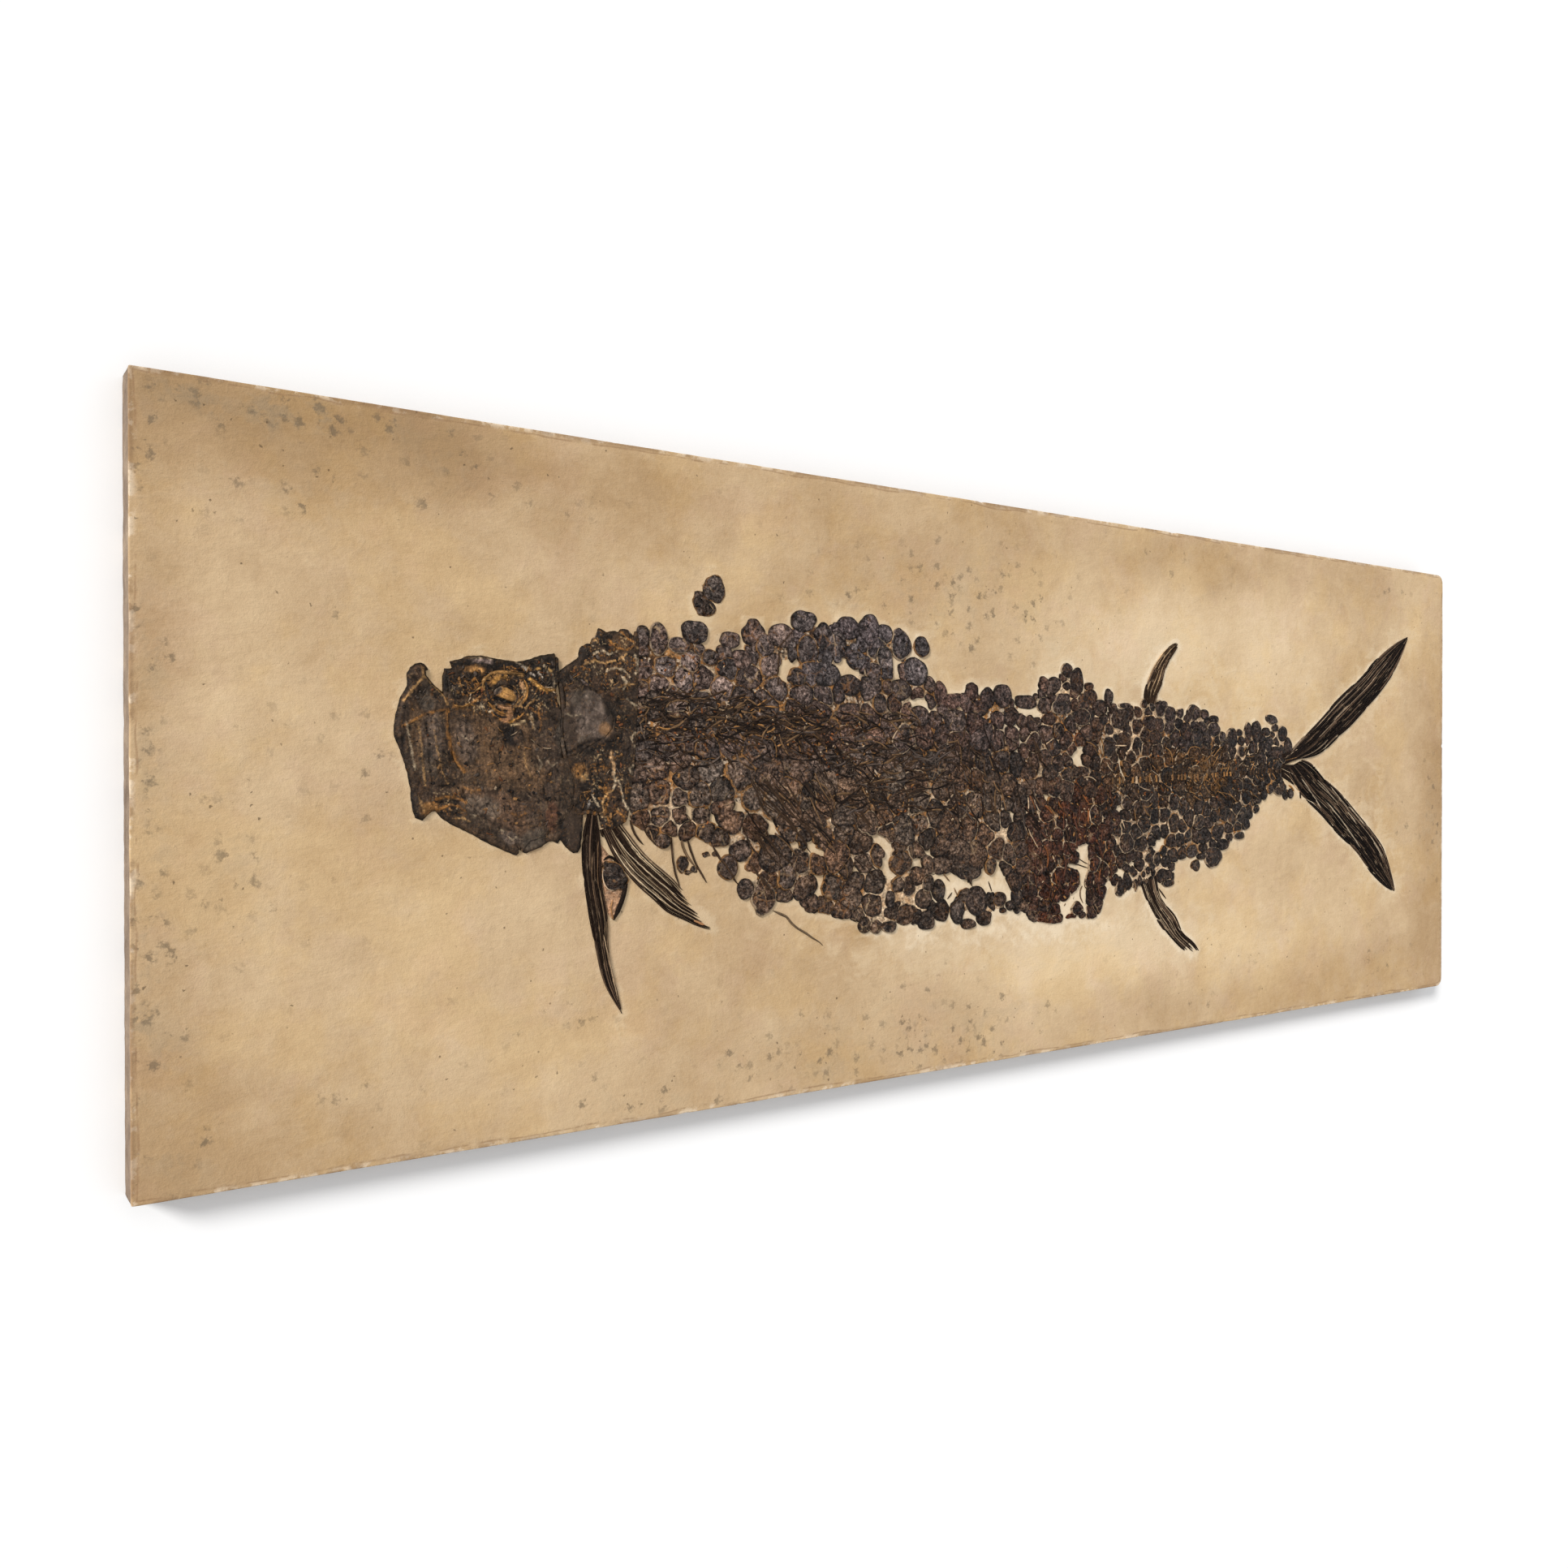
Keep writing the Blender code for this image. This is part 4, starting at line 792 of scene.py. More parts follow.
PECTORAL_REAR_EDGES = (
    [(-603.5, -46.5), (-596, -55), (-590, -62.6), (-583, -71), (-570, -84),
     (-557.8, -93.2), (-547.6, -101.3), (-534.3, -112), (-521, -127), (-504.7, -139),
     (-494, -151), (-482.5, -159.5)],
    [(-626, -56), (-621, -67), (-615, -80), (-597.8, -100.5), (-582.5, -117),
     (-560, -134.5), (-549.6, -146.2), (-525, -156.4), (-506.7, -165.6),
     (-481, -173)],
)
LOOSE_RIB = [(-400, -153.5), (-382, -161), (-372, -171), (-353.7, -183), (-333, -195),
             (-326, -200.5)]
VERTEBRAE = [(196, 2), (240, 3), (290, 5), (340, 7), (390, 8), (440, 11), (490, 13),
             (540, 15), (584, 17), (602, 17)]
NEURAL_SPINES = [(-578, 74), (-540, 78), (-500, 82), (-460, 88), (-420, 92),
                 (-380, 84), (-336, 74)]



# scales placed round the upper edge of the coat: x, y, half length, half height, turn in degrees
UPPER_SCALES = [
    (-578, 167, 8, 13, 0), (-557.8, 165, 12.5, 19, 0), (-531.2, 160, 15, 9.5, 0), (-509.8, 176.2, 18, 13.5, 0),
    (-503.7, 156.8, 7, 7, 0), (-489.4, 147.7, 12, 10, 0), (-470, 153.8, 11, 11, 0), (-461.8, 169.7, 14, 10, 0),
    (-446.5, 147.7, 15, 12, 0), (-429.2, 179.3, 14.5, 18, 0), (-411.8, 166, 14, 15, 0), (-388.4, 179.3, 19, 14.5, 0),
    (-355.7, 198.7, 19.5, 13.5, 0), (-373, 161.5, 7, 14, 0), (-350.6, 162, 16, 21, 0), (-327.1, 183.4, 13, 16, -20),
    (-287.3, 194.6, 18.5, 15, 0), (-253.9, 194.6, 16, 20.5, 0), (-306.7, 172.1, 15, 18, 0), (-278.2, 171.7, 7, 5, 0),
    (-275.1, 155.8, 14, 12.5, 0), (-304.7, 156.8, 7, 7, 0), (-247.8, 142.5, 15, 11.5, 0), (-364.9, 130.3, 15, 11, 0),
    (-325.1, 135.4, 24, 15, 0), (-286.3, 123.2, 19, 13, 0), (-229.6, 191, 13.5, 12.5, 0), (-206.5, 194, 8, 6, 0),
    (-201.5, 178, 17.5, 19, 0), (-167, 178, 13, 13.5, 0), (-229.5, 159, 13, 18, 15), (-178.5, 145, 22, 18, 0),
    (-226, 123, 10, 10, 0), (-204, 120, 18, 14, 0), (-238.5, 101.5, 11, 14.5, 0), (-153, 129, 9, 11, 0),
    (-135.5, 119, 11, 16, 0), (-113, 109, 22, 11, 10), (-78.5, 122, 12, 13, 0), (-50, 114.5, 13, 15, 0),
    (-66, 100.5, 17, 11, 0), (-22, 119, 17, 16.5, 0), (-4, 109, 4, 7, 0), (22.5, 112, 21.5, 10, -6),
    (41, 120, 4, 5, 0), (-109, 83, 20, 17, 0), (-145, 83, 12, 12, 0), (-172, 87, 17, 14, 0), (57, 138, 10, 11, 0),
    (76, 136, 18, 12, 40), (55, 108, 10, 13, 0), (104, 159, 12, 11, 0), (124, 144, 14, 20, 0), (103, 137, 8, 6, 0),
    (149, 138, 9, 6.5, 0), (151, 123, 15.5, 12, 0), (94, 120, 15, 7, 0), (119, 110, 10, 10, 0), (59, 109, 12, 13, 0),
    (88, 107, 17, 11, 0), (131, 94, 20, 13, 0), (171, 108, 16, 12, 0), (191.5, 124, 9, 13, 0), (200, 108, 9, 8, 0),
    (164, 84, 15, 10, 0), (227, 113, 14, 4.5, 0), (216, 92, 22, 18, 0), (222, 60, 16, 14.5, 0), (189, 52, 17, 15, 0),
    (268, 117, 7, 7, 0), (286, 114, 7, 8, 0), (303, 111, 12, 13, 0), (313, 117, 8, 6, 0), (327, 101, 14, 15, 0),
    (350, 105, 8, 8, 0), (384, 107, 17, 12, 0), (409, 105, 10, 8, 0), (431, 98, 12, 6, 0), (402, 85, 14, 9, 0),
    (431, 82, 16, 12, 0), (452, 70, 8, 10, 0), (476, 68, 14, 17, 0), (495, 78, 9, 6, 0), (500, 65, 10, 8, 0),
    (518, 81, 9.5, 14, 0), (540, 80, 13, 18, 0), (530, 54, 11, 13, 0), (500, 48, 10.5, 9, 0), (565, 81, 10, 7, 0),
    (580, 101, 16, 8, -12), (588, 88, 7, 7, 0), (608, 78, 14, 13, 0), (623, 58, 11, 14, 0), (586, 47, 24, 11, 0),
]
# and round the lower edge
LOWER_SCALES = [
    (560, -20, 8, 10, 0), (598, -15.5, 13, 7, 0), (617.5, -22.5, 7.5, 7.5, 0), (631, -20, 7.5, 8, 0),
    (576, -12, 7, 8, 0), (544, -28, 9, 8, 0), (538, -44, 9, 7, 0), (512, -67, 11, 10.5, 0), (495, -86, 15, 6, 0),
    (453, -99, 15, 9, 0), (430, -117, 21, 17.5, 0), (402, -116, 11, 5, 0), (378, -107, 14, 11, 0),
    (440, -79, 16, 13, 0), (407, -84, 16, 13, 0), (-261, -180, 10, 10, 0), (-243, -183, 11, 9, 0),
    (-221, -184, 12, 8, 0), (-193, -170, 20, 14, 0), (-164, -151, 14.5, 14, 0), (-159, -180, 14, 13.5, 0),
    (-132, -169, 14, 15, 0), (-137.5, -142, 11, 15, 0), (-104, -170, 13, 18, 0), (-84.5, -189.5, 13.5, 7, 0),
    (-70, -159, 20, 20, 0), (-56, -183, 13.5, 11, 0), (-220.5, -149, 8, 11, 0), (-208, -131, 11.5, 10.5, 0),
    (-203, -103, 18, 16.5, 0), (-175, -121, 14, 12, 0), (-157, -131, 10, 12, 0), (-45.5, -113, 9.5, 13, 0),
    (-28, -159, 12.5, 10, 0), (-6.5, -169, 9, 7, 0), (6, -176, 6, 5, 0), (-21, -175, 6, 4, 0), (125, -181, 12, 10, 0),
    (135.5, -191, 6.5, 5, 0), (-440.4, -124.8, 11.5, 12.2, 0), (-465, -98.3, 14, 15, 0), (-447.6, -79.3, 15, 12.7, 0),
    (-415, -136, 17, 22, 0), (-381, -113, 14, 15, 0), (-399, -84, 24, 23, 0), (-552, -64.5, 10, 9, 0),
    (257.7, -123, 10, 10, 0), (278, -114, 10, 8, 0), (297, -116, 9, 11, 0), (317.5, -121, 12, 9, 0),
    (315, -141, 18, 10, 0), (324, -154, 13, 6, 0), (277, -132.5, 5, 6, 0), (267, -138, 5, 5, 0), (258.7, -147, 4, 8, 0),
    (272, -150, 8, 4, 0), (288.5, -136, 5, 6, 0), (284.6, -144, 4, 3, 0), (232, -147, 9, 14, 20), (216, -155, 10, 14, -14),
]
# crumbs of scale lying on the matrix off the coat
CRUMBS = [
    (-526, -92, 8, 9.5), (-519, -102, 4, 3), (-511, -99, 5, 4), (-494.5, -82, 5, 3), (-482, -82, 4, 3), (283.7, -163, 6, 5),
]
# thin bones and splinters: from, through, to, with a width
SPLINTERS = [
    (2.0, [(-540.4, -60.5), (-538.4, -87), (-534.3, -105.4), (-529.2, -118.7)]),
    (2.6, [(-528.2, -63.6), (-521, -80.9), (-509.8, -95.2)]), (2.3, [(-519, -64.6), (-508.8, -91.1), (-493.5, -114.6)]),
    (2.6, [(-485.3, -72.8), (-468, -97.2), (-450.6, -118.7)]), (2.0, [(-570, -52), (-563, -68)]),
    (2.2, [(-594, -40), (-586, -58), (-577, -68)]), (2.0, [(-582, -38), (-573, -55), (-560, -70)]),
    (2.0, [(-604, -44), (-598, -60)]), (2.8, [(-435, -93), (-418, -114), (-399, -136)]),
    (2.0, [(-129, -120), (-117, -131)]), (1.8, [(-113, -146), (-121, -154)]), (1.8, [(-109, -140), (-104, -150)]),
    (2.2, [(-97, -148), (-119, -167)]), (1.8, [(-85.5, -128), (-76, -140)]), (1.8, [(-47, -134), (-41, -148)]),
    (2.0, [(-15, -132), (-6, -146), (3, -156)]), (2.0, [(136.4, -148.8), (132, -156.8), (132.9, -165.7), (138.2, -173.8)]),
    (1.8, [(101.6, -113), (126, -118), (150.7, -124.6)]), (1.6, [(126.6, -108.6), (148, -118.4)]),
    (1.6, [(99, -176), (102.5, -172)]), (1.8, [(-398, 161), (-372, 187)]), (2.6, [(-392, 163), (-394, 142), (-396, 118)]),
    (2.4, [(245, -147), (251, -163)]), (1.8, [(295, -155), (308, -166), (320, -177)]),
    (3.0, [(-429, 1), (-408, -20), (-386, -42), (-366, -60), (-345, -85)]),
    (3.0, [(-416, 4), (-396, -16), (-374, -38), (-352, -56), (-332, -78)]),
]
# small openings where the chalk shows
SMALL_GAPS = [
    [(-10, -39), (2, -41), (4, -50), (-6, -52), (-11, -46)],
    [(-172, -81), (-155, -84), (-141, -90), (-137, -97), (-145, -97), (-160, -88)],
    [(-184, -99), (-174, -97), (-163, -104), (-166, -113), (-178, -115), (-183, -108)],
    [(-217, 142), (-212, 128), (-204, 125), (-202, 134), (-207, 148), (-205, 158), (-213, 158)],
    [(-31, 80), (-14, 82), (3, 83), (12, 74), (13, 47), (9, 44), (8, 70), (0, 79), (-14, 78)],
    [(9, 48), (13, 45), (0, 38), (-6, 30), (-8, 16), (-12, 15), (-11, 32), (-3, 42)],
    [(-491, -36), (-482, -35), (-475, -41), (-481, -45), (-489, -43)],
    [(-464, -25), (-452, -24), (-445, -31), (-454, -34)], [(-525, -26), (-516, -24), (-513, -37), (-520, -39)],
    [(-409, -46), (-402, -44), (-400, -60), (-406, -62)],
    [(-377, -70), (-355, -72), (-345, -70), (-330, -80), (-322, -88), (-326, -92), (-340, -85), (-358, -77), (-370, -78)],
    [(-440, -105), (-431, -104), (-425, -110), (-432, -113)],
    [(-338, -109), (-332, -112), (-328, -118), (-321, -114), (-323, -121), (-328, -128), (-329, -136), (-334, -135), (-333, -124)],
    [(-290, -56), (-285, -55), (-284, -72), (-288, -75)], [(-285, -106), (-276, -105), (-270, -110), (-278, -112)],
    [(202, -80), (209, -78), (213, -90), (206, -93)], [(200, -36), (212, -33), (223, -39), (214, -44), (204, -42)],
    [(207, -131), (218, -128), (228, -133), (224, -140), (212, -139)], [(230, -118), (241, -116), (249, -122), (238, -126)],
    [(54, -15), (62, -12), (66, -24), (60, -30)], [(210, 43), (214, 40), (217, 22), (228, 5), (222, 4), (213, 16), (209, 30)],
]


# ============================================================ camera and light
cam_data = bpy.data.cameras.new("camera")
cam = bpy.data.objects.new("camera", cam_data)
bpy.context.scene.collection.objects.link(cam)
cam_data.sensor_fit = "HORIZONTAL"
cam_data.sensor_width = 36.0
cam_data.lens = 1600.0 / 1932.0 * 36.0
cam_data.clip_start, cam_data.clip_end = 0.05, 50.0
right, down, ahead = (Vector((0.82506879, -0.0000626, 0.56503229)), Vector((-0.00387778, -0.99997707, 0.00555162)),
                      Vector((0.56501899, -0.00677154, -0.82505011)))
turn = Matrix((right, -down, -ahead)).transposed().to_4x4()
cam.matrix_world = Matrix.Translation((-1.27445, 0.01036, 1.34009)) @ turn
bpy.context.scene.camera = cam


def sun(name, towards, strength, angle, colour=(1, 1, 1)):
    """A distant lamp shining from the point `towards`, seen from the middle of the panel."""
    data = bpy.data.lights.new(name, "SUN")
    data.energy = strength
    data.angle = math.radians(angle)
    data.color = colour
    obj = bpy.data.objects.new(name, data)
    obj.rotation_mode = "QUATERNION"
    obj.rotation_quaternion = (-Vector(towards)).to_track_quat("-Z", "Y")
    bpy.context.scene.collection.objects.link(obj)
    return obj


sun("key", (-64, 38, 42), 3.14, 15, (1.0, 0.99, 0.975))
world = bpy.data.worlds.new("studio")
bpy.context.scene.world = world
world.use_nodes = True
world.node_tree.nodes["Background"].inputs["Color"].default_value = (0.985, 0.99, 1.0, 1.0)
world.node_tree.nodes["Background"].inputs["Strength"].default_value = 0.69
bpy.context.scene.view_settings.view_transform = "Standard"

floor_mesh = bpy.data.meshes.new("floor")
floor_mesh.from_pydata([(-14, -14, -0.0004), (14, -14, -0.0004), (14, 14, -0.0004), (-14, 14, -0.0004)], [], [(0, 1, 2, 3)])
floor = bpy.data.objects.new("floor", floor_mesh)
bpy.context.scene.collection.objects.link(floor)
fg = Graph("floor_white")
fg.link(fg.ramp(fg.noise(3.0, 2), [(0.0, (0.900, 0.900, 0.900)), (1.0, (0.912, 0.912, 0.912))]), fg.bsdf.inputs["Base Color"])
fg.bsdf.inputs["Roughness"].default_value = 0.9
fg.bsdf.inputs["Specular IOR Level"].default_value = 0.1
floor_mesh.materials.append(fg.mat)


# ================================================================== the fish's shape
def blade(edges):
    """The closed outline of a fin, out along one edge and back along the other."""
    return list(edges[0]) + list(edges[1])[::-1]


FINS = {
    "caudal_lobe_upper": CAUDAL_UPPER_EDGES, "caudal_lobe_lower": CAUDAL_LOWER_EDGES, "dorsal_fin": DORSAL_EDGES,
    "anal_fin": ANAL_EDGES, "pectoral_fin_front": PECTORAL_FRONT_EDGES, "pectoral_fin_rear": PECTORAL_REAR_EDGES,
}
FISH = [LOWER_JAW, SKULL_ROOF, CHEEK_BONES, OPERCULUM, GULAR_PLATES, SHOULDER_GIRDLE, SCALE_COAT,
        LOOSE_SCALE_UPPER, LOOSE_SCALE_LOWER, LOOSE_SCALE_REAR] + [blade(e) for e in FINS.values()]


class Raster:
    """A grid of values over the fish, read back between its points."""

    def __init__(self, x0, x1, y0, y1, step, values=None):
        self.x0, self.y0, self.step = x0, y0, step
        self.nx, self.ny = int((x1 - x0) / step) + 1, int((y1 - y0) / step) + 1
        self.gx = x0 + np.arange(self.nx) * step
        self.gy = y0 + np.arange(self.ny) * step
        self.X, self.Y = np.meshgrid(self.gx, self.gy)
        self.v = np.zeros((self.ny, self.nx)) if values is None else values(self.X.ravel(), self.Y.ravel()).reshape(self.ny, self.nx)

    def at(self, x, y):
        fx = np.clip((np.asarray(x, float) - self.x0) / self.step, 0, self.nx - 1.001)
        fy = np.clip((np.asarray(y, float) - self.y0) / self.step, 0, self.ny - 1.001)
        ix, iy = fx.astype(int), fy.astype(int)
        fx, fy = fx - ix, fy - iy
        v = self.v
        return (v[iy, ix] * (1 - fx) * (1 - fy) + v[iy, ix + 1] * fx * (1 - fy)
                + v[iy + 1, ix] * (1 - fx) * fy + v[iy + 1, ix + 1] * fx * fy)


away_far = Raster(-1110, 1110, -390, 390, 12.0, lambda x, y: polygon_distance(x, y, FISH))
away_near = Raster(-880, 940, -270, 260, 2.5, lambda x, y: polygon_distance(x, y, FISH))


def fish_distance(x, y):
    """How far a point of the face lies from the fossil."""
    near = (x > -878) & (x < 938) & (y > -268) & (y < 258)
    return np.where(near, away_near.at(x, y), away_far.at(x, y))


# ================================================================== the panel
# lighter and darker fields on the face, mostly darker towards its ends and edges: x, y, half length, half height, how
# light
TONES = [
    (-1090, 200, 60, 260, -0.22), (-1000, 380, 260, 60, -0.26), (-820, 330, 190, 60, -0.30), (-1090, -300, 60, 160, -0.30),
    (-980, 40, 150, 220, 0.12), (-700, 210, 260, 70, 0.04), (-300, 310, 200, 80, -0.14), (-640, 330, 150, 60, -0.12),
    (-380, 230, 300, 50, 0.02), (120, 330, 190, 70, 0.06), (160, 230, 230, 60, 0.10), (560, 220, 200, 110, 0.30),
    (700, 330, 320, 60, -0.14), (1060, 300, 60, 60, 0.10), (1080, 0, 60, 330, -0.32), (1060, -330, 120, 90, -0.24),
    (760, -330, 260, 60, -0.22), (560, -250, 190, 80, 0.22), (120, -250, 260, 40, 0.46), (-250, -240, 240, 60, -0.04),
    (-120, -330, 260, 60, 0.0), (-620, -330, 300, 60, 0.10), (-860, -220, 230, 110, 0.04), (-1000, -370, 160, 40, -0.20),
    (330, 345, 260, 40, -0.16), (-420, -350, 260, 40, -0.10), (880, 20, 80, 60, -0.14), (940, 120, 60, 60, 0.04),
    (-30, 300, 60, 90, -0.10), (400, -350, 260, 40, -0.14),
    (560, 0, 560, 500, 0.14), (1040, 290, 70, 110, 0.16), (240, 210, 130, 60, 0.36), (760, 290, 200, 70, 0.12), (760, -310, 200, 60, 0.08),
    (40, -320, 200, 60, 0.12), (1070, -340, 70, 70, 0.12), (520, 250, 120, 60, 0.06), (880, 60, 70, 60, 0.06),
]
# clusters of grey mineral specks
SPECKLED = [
    (-1042, 362, 26, 12, 1.0), (-965, 360, 28, 12, 1.0), (-925, 345, 26, 14, 0.9), (-880, 352, 60, 26, 0.55),
    (-800, 330, 60, 34, 0.45), (-840, 300, 50, 26, 0.35), (-1085, 330, 14, 60, 0.5), (-1085, -110, 16, 150, 0.75),
    (-1070, -240, 22, 40, 0.6), (-1080, -330, 20, 40, 0.5), (-1075, 60, 20, 60, 0.45), (-250, 240, 120, 50, 0.28),
    (-80, 260, 150, 70, 0.36), (40, 220, 90, 50, 0.30), (-100, 190, 60, 26, 0.30), (-330, -330, 190, 46, 0.34),
    (-200, -300, 160, 60, 0.30), (-560, -360, 120, 24, 0.40), (-60, -350, 120, 30, 0.50), (-880, 20, 22, 60, 0.30),
    (-930, 120, 60, 80, 0.16), (-700, 300, 120, 50, 0.16), (300, 330, 160, 34, 0.16), (950, 330, 90, 30, 0.20),
    (-880, -300, 130, 60, 0.16), (380, -330, 160, 30, 0.16), (1080, -120, 22, 120, 0.25), (900, -320, 80, 30, 0.22),
    (-1046, 362, 34, 14, 1.3), (-968, 358, 34, 16, 1.3), (-915, 352, 30, 18, 1.1), (-1082, -150, 16, 26, 1.1), (-1084, -215, 14, 26, 1.2),
    (-1080, -90, 14, 30, 0.9), (-1085, 130, 14, 60, 0.7), (-1084, 20, 14, 60, 0.7), (-960, 300, 90, 40, 0.36), (-180, -330, 130, 36, 0.62),
    (-60, -320, 120, 34, 0.5), (-330, -345, 90, 22, 0.5), (-130, 250, 110, 46, 0.5), (10, 230, 70, 40, 0.44), (-1060, -340, 26, 26, 0.6),
    (1060, -60, 30, 80, 0.4), (960, -60, 60, 40, 0.26), (-470, -330, 60, 30, 0.34), (-690, -250, 60, 40, 0.26), (-1010, -60, 40, 90, 0.4),
]
# scratches and old tool strokes in the chalk
STROKES = [
    (-842, 152, -778, 143, 1.6, 0.30), (-1075, -352, -1040, -350, 1.4, 0.5), (-672, 168, -640, 205, 4.0, 0.28),
    (-700, -260, -660, -230, 4.5, 0.30), (-620, -200, -600, -150, 3.5, 0.35), (-560, -230, -530, -215, 4.0, 0.22),
    (-900, -150, -860, -120, 3.2, 0.18), (20, 180, 60, 186, 2.4, 0.30), (-470, 270, -410, 262, 2.6, 0.16),
    (420, -190, 470, -180, 3.4, 0.22), (500, 190, 560, 176, 3.8, 0.22), (-840, 210, -838, 160, 2.2, 0.18),
    (-320, -230, -260, -226, 3.2, 0.2), (90, -240, 150, -236, 3.8, 0.2), (640, 140, 700, 180, 4.4, 0.2),
]


def edge_distance(x, y):
    """How far inside the panel's outline a point lies."""
    r = np.where(np.asarray(x) < 0, CORNER_FRONT, CORNER_REAR)
    qx, qy = np.abs(x) - (LENGTH / 2 - r), np.abs(y) - (HEIGHT / 2 - r)
    return -(np.hypot(np.maximum(qx, 0), np.maximum(qy, 0)) + np.minimum(np.maximum(qx, qy), 0) - r)


def face_height(x, y, d):
    """The face of the panel, in millimetres above the floor."""
    fish = fish_distance(x, y)
    z = 39.75 + 0.30 * fbm(x / 190, y / 150, 11, 3) + 0.22 * fbm(x / 46, y / 38, 12, 3)
    # chalk taken down round the fossil, and the raised line where that stops
    z -= 0.75 * smooth(46, 4, fish) * smooth(-2, 3, fish)
    z += 0.22 * np.exp(-((fish - 52 - 14 * fbm(x / 70, y / 70, 14, 2)) / 9) ** 2)
    z += 0.10 * ridged(x / 30, y / 52, 13, 3) * smooth(0, 40, fish)
    for ax, ay, bx, by, width, deep in STROKES:
        near = path_distance(x, y, [(ax, ay), ((ax + bx) / 2 + 0.1 * (by - ay), (ay + by) / 2 - 0.1 * (bx - ax)), (bx, by)])
        near = near.reshape(np.shape(x)) + 0.8 * noise2(x / 7, y / 7, 15)
        z -= deep * smooth(width, 0.2, near)
    arris = 1.3 + 0.7 * fbm(x / 36, y / 36, 16, 3)
    chip = smooth(0.30, 0.52, fbm(x / 25, y / 25, 17, 4)) * smooth(11, 2, d)
    chip = chip * (1 - smooth(60, 30, np.hypot(np.abs(x) - LENGTH / 2, np.abs(y) - HEIGHT / 2)))
    arris = np.clip(arris + 4.0 * chip, 1.0, 7.0)
    inside = np.clip(d, 0, arris)
    z -= arris * 0.72 * (1 - np.sqrt(np.clip(1 - (1 - inside / arris) ** 2, 0, 1)))
    z -= 1.2 * chip * smooth(9, 1, d)
    lip = 6.0 + 2.2 * fbm(x / 70, y / 70, 27, 3)
    z -= 0.34 * smooth(lip + 0.9, lip - 0.9, d)
    return np.minimum(z, 40.6)


